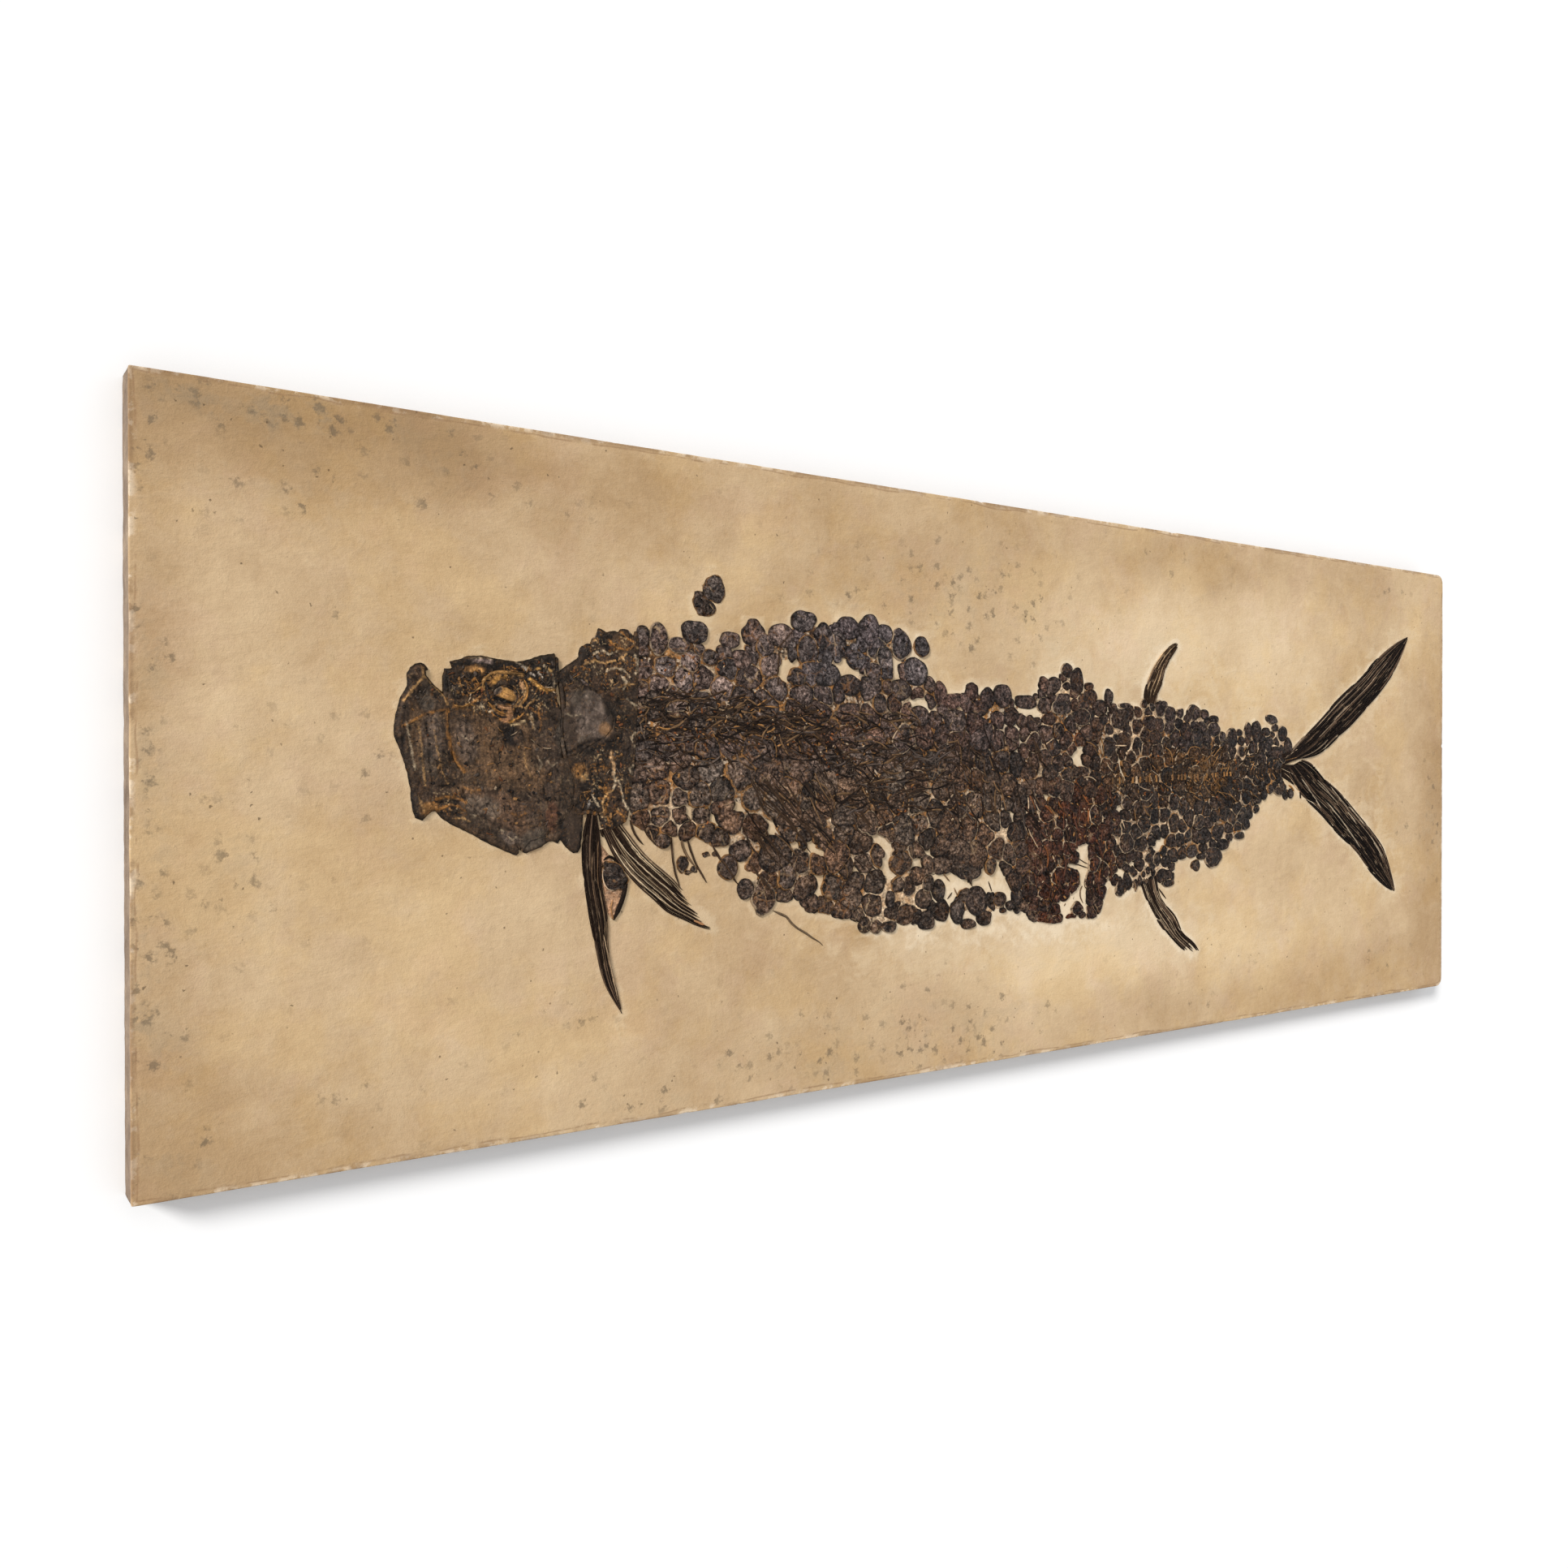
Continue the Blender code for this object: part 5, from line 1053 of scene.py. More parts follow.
def panel():
    def lines(half, lo, hi, close, wide):
        fine = np.array([0, 0.5, 1.1, 1.9, 2.9, 4.2, 6.0, 8.5, 12.0])
        a = np.linspace(-half + 12.0, lo, int((lo + half - 12) / wide) + 1)[1:-1]
        b = np.linspace(lo, hi, int((hi - lo) / close) + 1)
        c = np.linspace(hi, half - 12.0, int((half - 12 - hi) / wide) + 1)[1:-1]
        return np.concatenate([-half + fine, a, b, c, half - fine[::-1]])

    xs, ys = lines(LENGTH / 2, -868, 930, 4.2, 10.5), lines(HEIGHT / 2, -262, 232, 4.05, 9.5)
    X, Y = np.meshgrid(xs, ys)
    nx, ny = len(xs), len(ys)
    # square corners pulled in to round ones
    r = np.where(X < 0, CORNER_FRONT, CORNER_REAR)
    u, v = (np.abs(X) - (LENGTH / 2 - r)) / r, (np.abs(Y) - (HEIGHT / 2 - r)) / r
    corner = (u > 0) & (v > 0)
    uu, vv = np.where(corner, u, 0), np.where(corner, v, 0)
    X = np.where(corner, np.sign(X) * (LENGTH / 2 - r + r * uu * np.sqrt(1 - vv**2 / 2)), X)
    Y = np.where(corner, np.sign(Y) * (HEIGHT / 2 - r + r * vv * np.sqrt(1 - uu**2 / 2)), Y)
    D = edge_distance(X, Y)
    jit = smooth(8, 16, D) * 1.4
    X = X + jit * noise2(X / 3.1 + 9, Y / 3.1, 18)
    Y = Y + jit * noise2(X / 3.1, Y / 3.1 + 5, 19)
    D = edge_distance(X, Y)
    Z = face_height(X, Y, D)
    # the outline wavers inwards by up to a millimetre
    pull = (0.5 + 0.5 * fbm(X / 60, Y / 60, 20, 3)) * smooth(10, 0, D) * 0.7 + 0.05
    nearest_x = (LENGTH / 2 - np.abs(X)) < (HEIGHT / 2 - np.abs(Y))
    X = np.where(D < 10, np.where(nearest_x, X - np.sign(X) * pull, X), X)
    Y = np.where(D < 10, np.where(nearest_x, Y, Y - np.sign(Y) * pull), Y)
    top = np.stack([X.ravel(), Y.ravel(), Z.ravel()], 1)
    index = np.arange(nx * ny).reshape(ny, nx)
    quads = np.stack([index[:-1, :-1], index[:-1, 1:], index[1:, 1:], index[1:, :-1]], -1).reshape(-1, 4)
    faces = quads.tolist()
    loop = np.concatenate([index[0, :-1], index[:-1, -1], index[-1, :0:-1], index[:0:-1, 0]])
    ring_top = top[loop]
    coords, rows, previous = [top], [], loop
    sides = [np.zeros(len(top))]
    count = len(top)
    n = len(loop)
    for k, level in enumerate((0.93, 0.80, 0.62, 0.42, 0.22, 0.08, 0.02, 0.0)):
        z = ring_top[:, 2] * level
        x, y = ring_top[:, 0].copy(), ring_top[:, 1].copy()
        out_x = np.abs(x) > LENGTH / 2 - 17
        along = np.where(out_x, y, x)
        rough = 0.55 * (0.6 + fbm(along / 17, z / 9 + 40 * out_x, 21, 4)) + 0.5 * smooth(0.15, 0.5, fbm(along / 40, z / 12, 22, 3))
        rough = np.clip(rough, 0, 1.6) + (0.3 if k == 7 else 0.0)
        nearx = (LENGTH / 2 - np.abs(x)) < (HEIGHT / 2 - np.abs(y))
        x = np.where(nearx, x - np.sign(x) * rough, x)
        y = np.where(nearx, y, y - np.sign(y) * rough)
        coords.append(np.stack([x, y, z], 1))
        sides.append(np.full(n, smooth(0.97, 0.80, level)))
        current = count + np.arange(n)
        for i in range(n):
            j = (i + 1) % n
            faces.append([int(previous[j]), int(previous[i]), int(current[i]), int(current[j])])
        previous, count = current, count + n
    # a closed flat back
    back = coords[-1][:, :2]
    gx, gy = np.meshgrid(np.arange(-1060, 1061, 53.0), np.arange(-340, 341, 48.6))
    pts = [Vector(p) for p in back] + [Vector(p) for p in np.stack([gx.ravel(), gy.ravel()], 1)]
    vs, _, fs, orig, _, _ = delaunay_2d_cdt(pts, [(i, (i + 1) % n) for i in range(n)], [], 1, 1e-7)
    remap = {}
    extra = []
    for i, (v, o) in enumerate(zip(vs, orig)):
        border = [k for k in o if k < n]
        if border:
            remap[i] = int(previous[border[0]])
        else:
            remap[i] = count + len(extra)
            extra.append((v.x, v.y, 0.0))
    for f in fs:
        a, b, c = (vs[i] for i in f[:3])
        area = (b.x - a.x) * (c.y - a.y) - (b.y - a.y) * (c.x - a.x)
        f = f[::-1] if area > 0 else f
        faces.append([remap[i] for i in f])
    coords.append(np.array(extra))
    sides.append(np.ones(len(extra)))
    co = np.vstack(coords)
    side = np.concatenate(sides)
    x, y = co[:, 0], co[:, 1]
    fish = fish_distance(x, y)
    warp = 26 * fbm(x / 60, y / 60, 23, 3)
    halo = 0.42 * np.exp(-np.maximum(fish + warp * 0.6, 0) / 34)
    halo *= 0.45 + 0.55 * smooth(-420, -120, x)
    halo += 0.28 * smooth(7.5, 1.0, fish + 3 * fbm(x / 11, y / 11, 29, 3)) * (0.6 + 0.4 * smooth(-700, -300, x))
    belly = np.exp(-((x - 60) / 420) ** 2 - ((y + 215) / 46) ** 2) + 0.7 * np.exp(-((x - 330) / 260) ** 2 - ((y - 180) / 60) ** 2)
    tail = 0.55 * np.exp(-((x - 880) / 120) ** 2 - ((y - 10) / 190) ** 2)
    halo = np.clip(halo + 0.45 * belly + 0.3 * tail, 0, 1)
    wx, wy = x + 34 * fbm(x / 90, y / 90, 24, 3), y + 34 * fbm(x / 90, y / 90, 25, 3)
    tone = np.zeros(len(co))
    for cx, cy, rx, ry, light in TONES:
        tone += light * np.exp(-(((wx - cx) / rx) ** 2 + ((wy - cy) / ry) ** 2))
    spots = np.zeros(len(co))
    for cx, cy, rx, ry, much in SPECKLED:
        spots = np.maximum(spots, much * np.exp(-(((wx - cx) / rx) ** 2 + ((wy - cy) / ry) ** 2)))
    spots = np.minimum(spots, 1.0) * smooth(2, 20, fish)
    d = edge_distance(x, y)
    rim = smooth(7.5 + 5 * fbm(x / 60, y / 60, 26, 3), 0, d) * (1 - side)
    buf = Buffer()
    buf.add(co, faces, halo=halo, tone=tone, spots=spots, rim=rim, side=side)
    obj = buf.build("matrix_slab_chalk", CHALK, "chalk_matrix")
    obj.data.set_sharp_from_angle(angle=math.radians(60))
    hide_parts("matrix_slab")
    return obj


panel()


# ================================================================== small shapes
def pick(rng, table):
    """A colour from a list of (weight, colour)."""
    w = np.array([t[0] for t in table], float)
    return np.array(table[int(rng.choice(len(table), p=w / w.sum()))][1])


DARK, BROWN, RED = rgb(50, 40, 33), rgb(70, 53, 42), rgb(78, 50, 38)
SLATE, GREY, UMBER = rgb(76, 66, 60), rgb(92, 79, 70), rgb(60, 45, 33)
OCHRE, RUST, CREAM, CHALKY = rgb(150, 108, 64), rgb(122, 74, 42), rgb(186, 160, 130), rgb(208, 188, 160)
DEEP = rgb(30, 23, 19)


ground = Raster(-640, 680, -230, 250, 1.0)  # how high the laid scales reach
ground.v[:] = 39.6


def bulk(x, y):
    """How much the body stands up, from how far in from its outline a point is."""
    return 2.1 * smooth(2, 70, -coat_edge.at(x, y))


def coat_distance(x, y):
    d = polygon_distance(x, y, [SCALE_COAT, SHOULDER_GIRDLE])
    gap = polygon_distance(x, y, COAT_GAPS + SMALL_GAPS)
    return np.maximum(d, -gap)


coat_edge = Raster(-640, 680, -230, 250, 1.5, lambda x, y: polygon_distance(x, y, [SCALE_COAT, SHOULDER_GIRDLE]))
coat_clear = Raster(-640, 680, -230, 250, 1.5, coat_distance)

SIDES = 30
RINGS = np.array([0.0, 0.26, 0.50, 0.70, 0.84, 0.93, 0.975, 1.0])


def ring_faces(sides, rings):
    """Faces of a disc with a centre point, `rings` rings out from it, a foot ring and a flat bottom."""
    faces = [[0, 1 + i, 1 + (i + 1) % sides] for i in range(sides)]
    for k in range(rings):
        a, b = 1 + k * sides, 1 + (k + 1) * sides
        faces += [[a + i, b + i, b + (i + 1) % sides, a + (i + 1) % sides] for i in range(sides)]
    last = 1 + rings * sides
    faces.append([last + i for i in range(sides)][::-1])
    return faces


DISC_FACES = ring_faces(SIDES, len(RINGS) - 1)


def disc(buf, rng, cx, cy, rx, ry, turn=0.0, level=0.0, dome=1.0, tilt=(0.0, 0.0), clip=None, tint=BROWN,
         seam=0.0, seam_tint=OCHRE, fleck=0.3, lump=1.0, worn=0.0, ground_map=ground, radii=None):
    """One scale: a low dome with an uneven round outline, its foot sunk in the chalk."""
    th = np.arange(SIDES) / SIDES * 2 * math.pi
    shape = np.ones(SIDES)
    for k, size in ((2, 0.035), (3, 0.045), (4, 0.035), (5, 0.025), (7, 0.015)):
        shape += size * lump * rng.normal() * np.cos(k * th + rng.uniform(0, 6.3))
    square = rng.uniform(0.0, 0.09) * lump
    shape *= 1 + square * (np.abs(np.sin(2 * th + rng.uniform(0, 3))) - 0.5)
    if worn:  # a bite broken from the rim
        at = rng.uniform(0, 6.3)
        shape *= 1 - worn * np.exp(-((np.angle(np.exp(1j * (th - at)))) / 0.35) ** 2)
    ca, sa = math.cos(turn), math.sin(turn)
    ex, ey = np.cos(th) * rx * shape, np.sin(th) * ry * shape
    bx, by = ex * ca - ey * sa, ex * sa + ey * ca
    if radii is not None:
        bx, by = np.cos(th) * radii, np.sin(th) * radii
        bx = bx + 1.5 * noise2((cx + bx) / 8, (cy + by) / 8, 61)
        by = by + 1.5 * noise2((cx + bx) / 8, (cy + by) / 8, 62)
    if clip is not None:
        scale = np.ones(SIDES)
        for t in (1.0, 0.92, 0.84, 0.76, 0.68, 0.60, 0.52, 0.44, 0.36):
            out = clip.at(cx + bx * scale, cy + by * scale) > 0.4
            scale = np.where(out, t, scale)
        scale = (scale + np.roll(scale, 1) + np.roll(scale, -1)) / 3
        bx, by = bx * scale, by * scale
    t = np.repeat(RINGS[1:], SIDES)
    x = np.concatenate([[0.0], (RINGS[1:, None] * bx).ravel()])
    y = np.concatenate([[0.0], (RINGS[1:, None] * by).ravel()])
    rad = np.concatenate([[0.0], t])
    base = 41.1 + bulk(cx, cy) + level
    z = base + dome * (1 - rad**2.6) + tilt[0] * x / rx + tilt[1] * y / ry
    wx, wy = cx + x, cy + y
    z += 0.34 * fbm(wx / 7.5, wy / 6.0, int(rng.integers(1, 900)), 3) * (1 - 0.5 * rad)
    z += 0.10 * np.sin(rad * rng.uniform(16, 24) + rng.uniform(0, 6)) * smooth(0.25, 0.6, rad) * smooth(1.0, 0.9, rad)
    z -= 0.45 * smooth(0.93, 1.0, rad)
    z = np.maximum(z, 40.15)
    co = np.stack([wx, wy, z], 1)
    foot = np.stack([cx + bx * 1.005, cy + by * 1.005, np.full(SIDES, 39.2)], 1)
    co = np.vstack([co, foot])
    rad = np.concatenate([rad, np.full(SIDES, 1.0)])
    n = len(co)
    # painted light and shade: each scale lighter on one side and darker on the other, as a tilted scale would be lit,
    # and its middle lighter or darker than its rim
    core, lean, at = rng.uniform(-0.45, 0.75), rng.uniform(0.0, 0.5), rng.uniform(0, 6.3)
    shade = 1 + core * (0.55 - rad) + lean * rad * np.cos(np.arctan2(co[:, 1] - cy, co[:, 0] - cx) - at)
    tint = np.asarray(tint)[None] * np.clip(shade, 0.35, 1.8)[:, None]
    buf.add(co, DISC_FACES, rad=rad, tint=tint, seam=np.full(n, seam),
            seam_tint=np.broadcast_to(seam_tint, (n, 3)), fleck=np.full(n, fleck))
    if ground_map is not None:
        g = ground_map
        reach = max(rx, ry) + 1
        i0, i1 = int((cx - reach - g.x0) / g.step), int((cx + reach - g.x0) / g.step) + 2
        j0, j1 = int((cy - reach - g.y0) / g.step), int((cy + reach - g.y0) / g.step) + 2
        i0, j0, i1, j1 = max(i0, 0), max(j0, 0), min(i1, g.nx), min(j1, g.ny)
        if i0 < i1 and j0 < j1:
            lx, ly = g.X[j0:j1, i0:i1] - cx, g.Y[j0:j1, i0:i1] - cy
            ang = np.arctan2(ly, lx)
            rim = np.hypot(bx, by)
            bth = np.unwrap(np.arctan2(by, bx))
            edge = np.interp(np.mod(ang, 2 * math.pi), *periodic(bth, rim))
            rr = np.hypot(lx, ly) / np.maximum(edge, 0.1)
            h = base + dome * (1 - np.minimum(rr, 1) ** 2.6) + tilt[0] * lx / rx + tilt[1] * ly / ry
            g.v[j0:j1, i0:i1] = np.where(rr < 0.985, np.maximum(g.v[j0:j1, i0:i1], h), g.v[j0:j1, i0:i1])


def periodic(angle, value):
    a = np.mod(angle, 2 * math.pi)
    order = np.argsort(a)
    a, v = a[order], value[order]
    return np.concatenate([a[-1:] - 2 * math.pi, a, a[:1] + 2 * math.pi]), np.concatenate([v[-1:], v, v[:1]])


STRAND_SECTION = [(-0.5, 0.0), (-0.41, 0.60), (-0.15, 0.97), (0.15, 0.97), (0.41, 0.60), (0.5, 0.0)]


def strand(buf, path, width, height, z, taper=(0.25, 0.15), sink=1.2, **values):
    """A thin half-round bone along a path, its foot sunk below z. Its colours come in `values`."""
    path = np.asarray(path, float)
    n, m = len(path), len(STRAND_SECTION)
    ahead = np.gradient(path, axis=0)
    side = np.stack([-ahead[:, 1], ahead[:, 0]], 1)
    side /= np.maximum(np.hypot(side[:, 0], side[:, 1]), 1e-6)[:, None]
    s = np.linspace(0, 1, n)
    size = np.ones(n)
    if taper[0]:
        size *= np.clip(s / taper[0], 0.12, 1) ** 0.6
    if taper[1]:
        size *= np.clip((1 - s) / taper[1], 0.10, 1) ** 0.6
    width = np.broadcast_to(width, (n,)) * size
    height = np.broadcast_to(height, (n,)) * (0.4 + 0.6 * size)
    z = np.broadcast_to(z, (n,))
    co, across = [], []
    for i in range(n):
        for u, v in STRAND_SECTION:
            co.append((path[i, 0] + side[i, 0] * u * width[i], path[i, 1] + side[i, 1] * u * width[i],
                       z[i] + v * height[i] - (sink if v == 0.0 else 0.0)))
            across.append(u * width[i])
    faces = []
    for i in range(n - 1):
        a, b = i * m, (i + 1) * m
        for j in range(m):
            k = (j + 1) % m
            faces.append([a + k, a + j, b + j, b + k])
    faces.append(list(range(m)))
    faces.append([(n - 1) * m + j for j in range(m)][::-1])
    length = np.concatenate([[0], np.cumsum(np.hypot(*np.diff(path, axis=0).T))])
    full = {}
    for key, v in values.items():
        v = np.asarray(v, float)
        if v.ndim == 0:
            v = np.full(n * m, float(v))
        elif v.ndim == 1 and len(v) == 3:
            v = np.broadcast_to(v, (n * m, 3))
        else:
            v = np.repeat(v, m, axis=0)
        full[key] = v
    if "run" in full:
        full["run"] = np.repeat(length, m) + full["run"]
        full["across"] = np.array(across)
    if "rad" in full:
        full["rad"] = np.tile([0.9, 0.55, 0.22, 0.22, 0.55, 0.9], n)
    buf.add(np.array(co), faces, **full)


def shard(buf, rng, x, y, size, z, tint, stretch=1.0, turn=None, high=0.8, **values):
    """An angular fragment of bone with 5 to 7 sides."""
    k = int(rng.integers(5, 8))
    th = (np.arange(k) + rng.uniform(-0.3, 0.3, k)) / k * 2 * math.pi
    r = size * rng.uniform(0.65, 1.1, k)
    turn = rng.uniform(0, math.pi) if turn is None else turn
    px, py = r * np.cos(th) * stretch, r * np.sin(th)
    rx, ry = px * math.cos(turn) - py * math.sin(turn), px * math.sin(turn) + py * math.cos(turn)
    tip = rng.uniform(-0.12, 0.12, 2)
    co = [(x + a, y + b, z - 1.4) for a, b in zip(rx, ry)]
    co += [(x + a, y + b, z + high * 0.55 + tip[0] * a + tip[1] * b) for a, b in zip(rx, ry)]
    co += [(x + a * 0.72, y + b * 0.72, z + high + tip[0] * a + tip[1] * b) for a, b in zip(rx, ry)]
    faces = [list(range(k))[::-1], [2 * k + i for i in range(k)]]
    for i in range(k):
        j = (i + 1) % k
        faces += [[i, j, k + j, k + i], [k + i, k + j, 2 * k + j, 2 * k + i]]
    n = 3 * k
    buf.add(np.array(co), faces, tint=np.broadcast_to(tint, (n, 3)), **{q: np.full(n, float(v)) if np.ndim(v) == 0 else np.broadcast_to(v, (n, 3)) for q, v in values.items()})


# ================================================================== the coat of scales
ZONES = [  # up to x: seam colours, each with its weight and strength, and how flecked the scales are
    (-470, [(4, OCHRE, 0.8), (2, CREAM, 0.7), (6, DEEP, 0.8)], 0.70),
    (-250, [(4, OCHRE, 0.8), (1.5, CREAM, 0.7), (6, DEEP, 0.8)], 0.60),
    (20, [(2, OCHRE, 0.8), (2, CREAM, 0.8), (7, DEEP, 0.8)], 0.40),
    (200, [(1, OCHRE, 0.8), (4, CREAM, 0.9), (5, DEEP, 0.8), (1, RUST, 0.9)], 0.40),
    (900, [(1, OCHRE, 0.8), (5, CREAM, 0.9), (4, DEEP, 0.8)], 0.36),
]
# where the matrix shows as a net between the scales: x, y, half length, half height, how strongly
NET = [
    (110, 130, 60, 34, 1.0), (40, 80, 46, 46, 0.7), (222, 62, 44, 46, 0.8), (150, 96, 40, 26, 0.7), (300, 100, 48, 22, 0.75),
    (290, -140, 62, 44, 1.0), (400, 84, 56, 30, 0.7), (500, 56, 46, 34, 0.85), (570, 60, 50, 34, 0.8), (420, -88, 70, 26, 0.65),
    (330, -70, 60, 46, 0.7), (30, -40, 50, 40, 0.7), (-20, 60, 40, 60, 0.45), (-30, -70, 50, 36, 0.6), (-105, -50, 30, 50, 0.6),
    (-190, -52, 70, 18, 0.6), (-160, -25, 50, 30, 0.5), (-200, -150, 90, 46, 0.8), (-60, -165, 60, 26, 0.7), (-400, -100, 90, 40, 0.55),
    (-520, -30, 60, 40, 0.75), (-480, -62, 60, 30, 0.6), (-420, -20, 40, 30, 0.5), (-300, 150, 60, 40, 0.55), (-390, 160, 50, 34, 0.35),
    (-210, 110, 80, 30, 0.6), (-530, 128, 60, 36, 0.35), (-150, 60, 50, 30, 0.35), (60, 20, 70, 50, 0.45), (200, -70, 60, 60, 0.55),
    (120, -190, 50, 18, 0.5), (330, 30, 60, 40, 0.30), (470, -40, 70, 20, 0.45), (-250, -100, 60, 40, 0.6), (-270, 100, 50, 24, 0.4),
]


def net_strength(x, y):
    v = np.zeros(np.shape(x))
    for cx, cy, rx, ry, much in NET:
        v = np.maximum(v, much * np.exp(-(((x - cx) / rx) ** 2 + ((y - cy) / ry) ** 2) ** 1.5))
    # a little everywhere, and none along the bones of the back
    some = 0.44 * smooth(-0.10, 0.22, fbm(x / 42, y / 34, 66, 3))
    return np.maximum(v, some * (1 - smooth(26, 8, np.abs(y - 70)) * smooth(-300, -340, x)))


net = Raster(-640, 680, -230, 250, 3.0, net_strength)


def zone_at(x):
    return next(z for z in ZONES if x < z[0])


# the broad colours of the coat by region: x, y, half length, half height, colour
PALETTE = [
    (-500, 145, 120, 50, rgb(80, 67, 61)),  # behind the nape, greyer
    (-500, 72, 130, 22, rgb(46, 35, 26)),  # the band of spines, dark
    (-430, 20, 130, 36, rgb(72, 58, 52)), (-400, -90, 160, 60, rgb(67, 48, 38)),  # front flank and belly
    (-260, 165, 90, 45, rgb(63, 56, 56)),  # slate scales along the back
    (-250, 80, 110, 40, rgb(66, 50, 42)), (-240, 5, 120, 44, rgb(69, 54, 46)), (-230, -115, 110, 60, rgb(66, 50, 41)),
    (-70, 80, 90, 60, rgb(63, 47, 41)), (-60, -35, 90, 60, rgb(70, 52, 42)), (-70, -140, 90, 50, rgb(58, 43, 35)),  # mid body
    (60, 60, 90, 80, rgb(66, 49, 40)),
    (110, -95, 90, 80, rgb(62, 31, 17)),  # the rust red belly
    (220, 50, 90, 80, rgb(64, 46, 34)), (260, -90, 90, 70, rgb(52, 40, 34)),
    (380, 95, 110, 40, rgb(52, 40, 35)), (400, -75, 130, 50, rgb(52, 41, 36)),  # rear flanks, dark
    (380, 20, 130, 26, rgb(82, 59, 37)),  # ochre along the backbone
    (540, 20, 90, 50, rgb(50, 39, 33)),  # tail stem
]


def palette_at(x, y):
    total, weight = np.zeros(3), 1e-9
    for cx, cy, rx, ry, c in PALETTE:
        w = math.exp(-1.6 * (((x - cx) / rx) ** 2 + ((y - cy) / ry) ** 2))
        total = total + w * c
        weight += w
    level = np.interp(x, [-560, -200, -60, 60, 180, 340, 600], [1.38, 1.40, 1.28, 0.95, 0.70, 0.58, 0.54])
    return level * (total + 1e-4 * BROWN) / (weight + 1e-4)


def scale_tint(rng, x, y):
    """The colour of a scale: the broad colour of its place, then its own shade."""
    x2, y2 = x + rng.normal() * 14, y + rng.normal() * 10
    tint = palette_at(x2, y2)
    grey = tint.mean()
    tint = grey + (tint - grey) * (rng.uniform(0.65, 1.2) + 0.25 * float(smooth(40, 160, x)))
    tint = tint * (1 + np.array([0.0, 0.03, -0.10]) * float(smooth(60, 0, y)))
    return np.maximum(tint, 0.002) * math.exp(np.clip(rng.normal() * 0.34, -0.8, 0.42))


def region_of(x, y):
    """Which piece of the coat a scale belongs to."""
    column = 0 if x < -210 else (1 if x < 190 else 2)
    return column * 2 + (0 if y > 5 else 1)


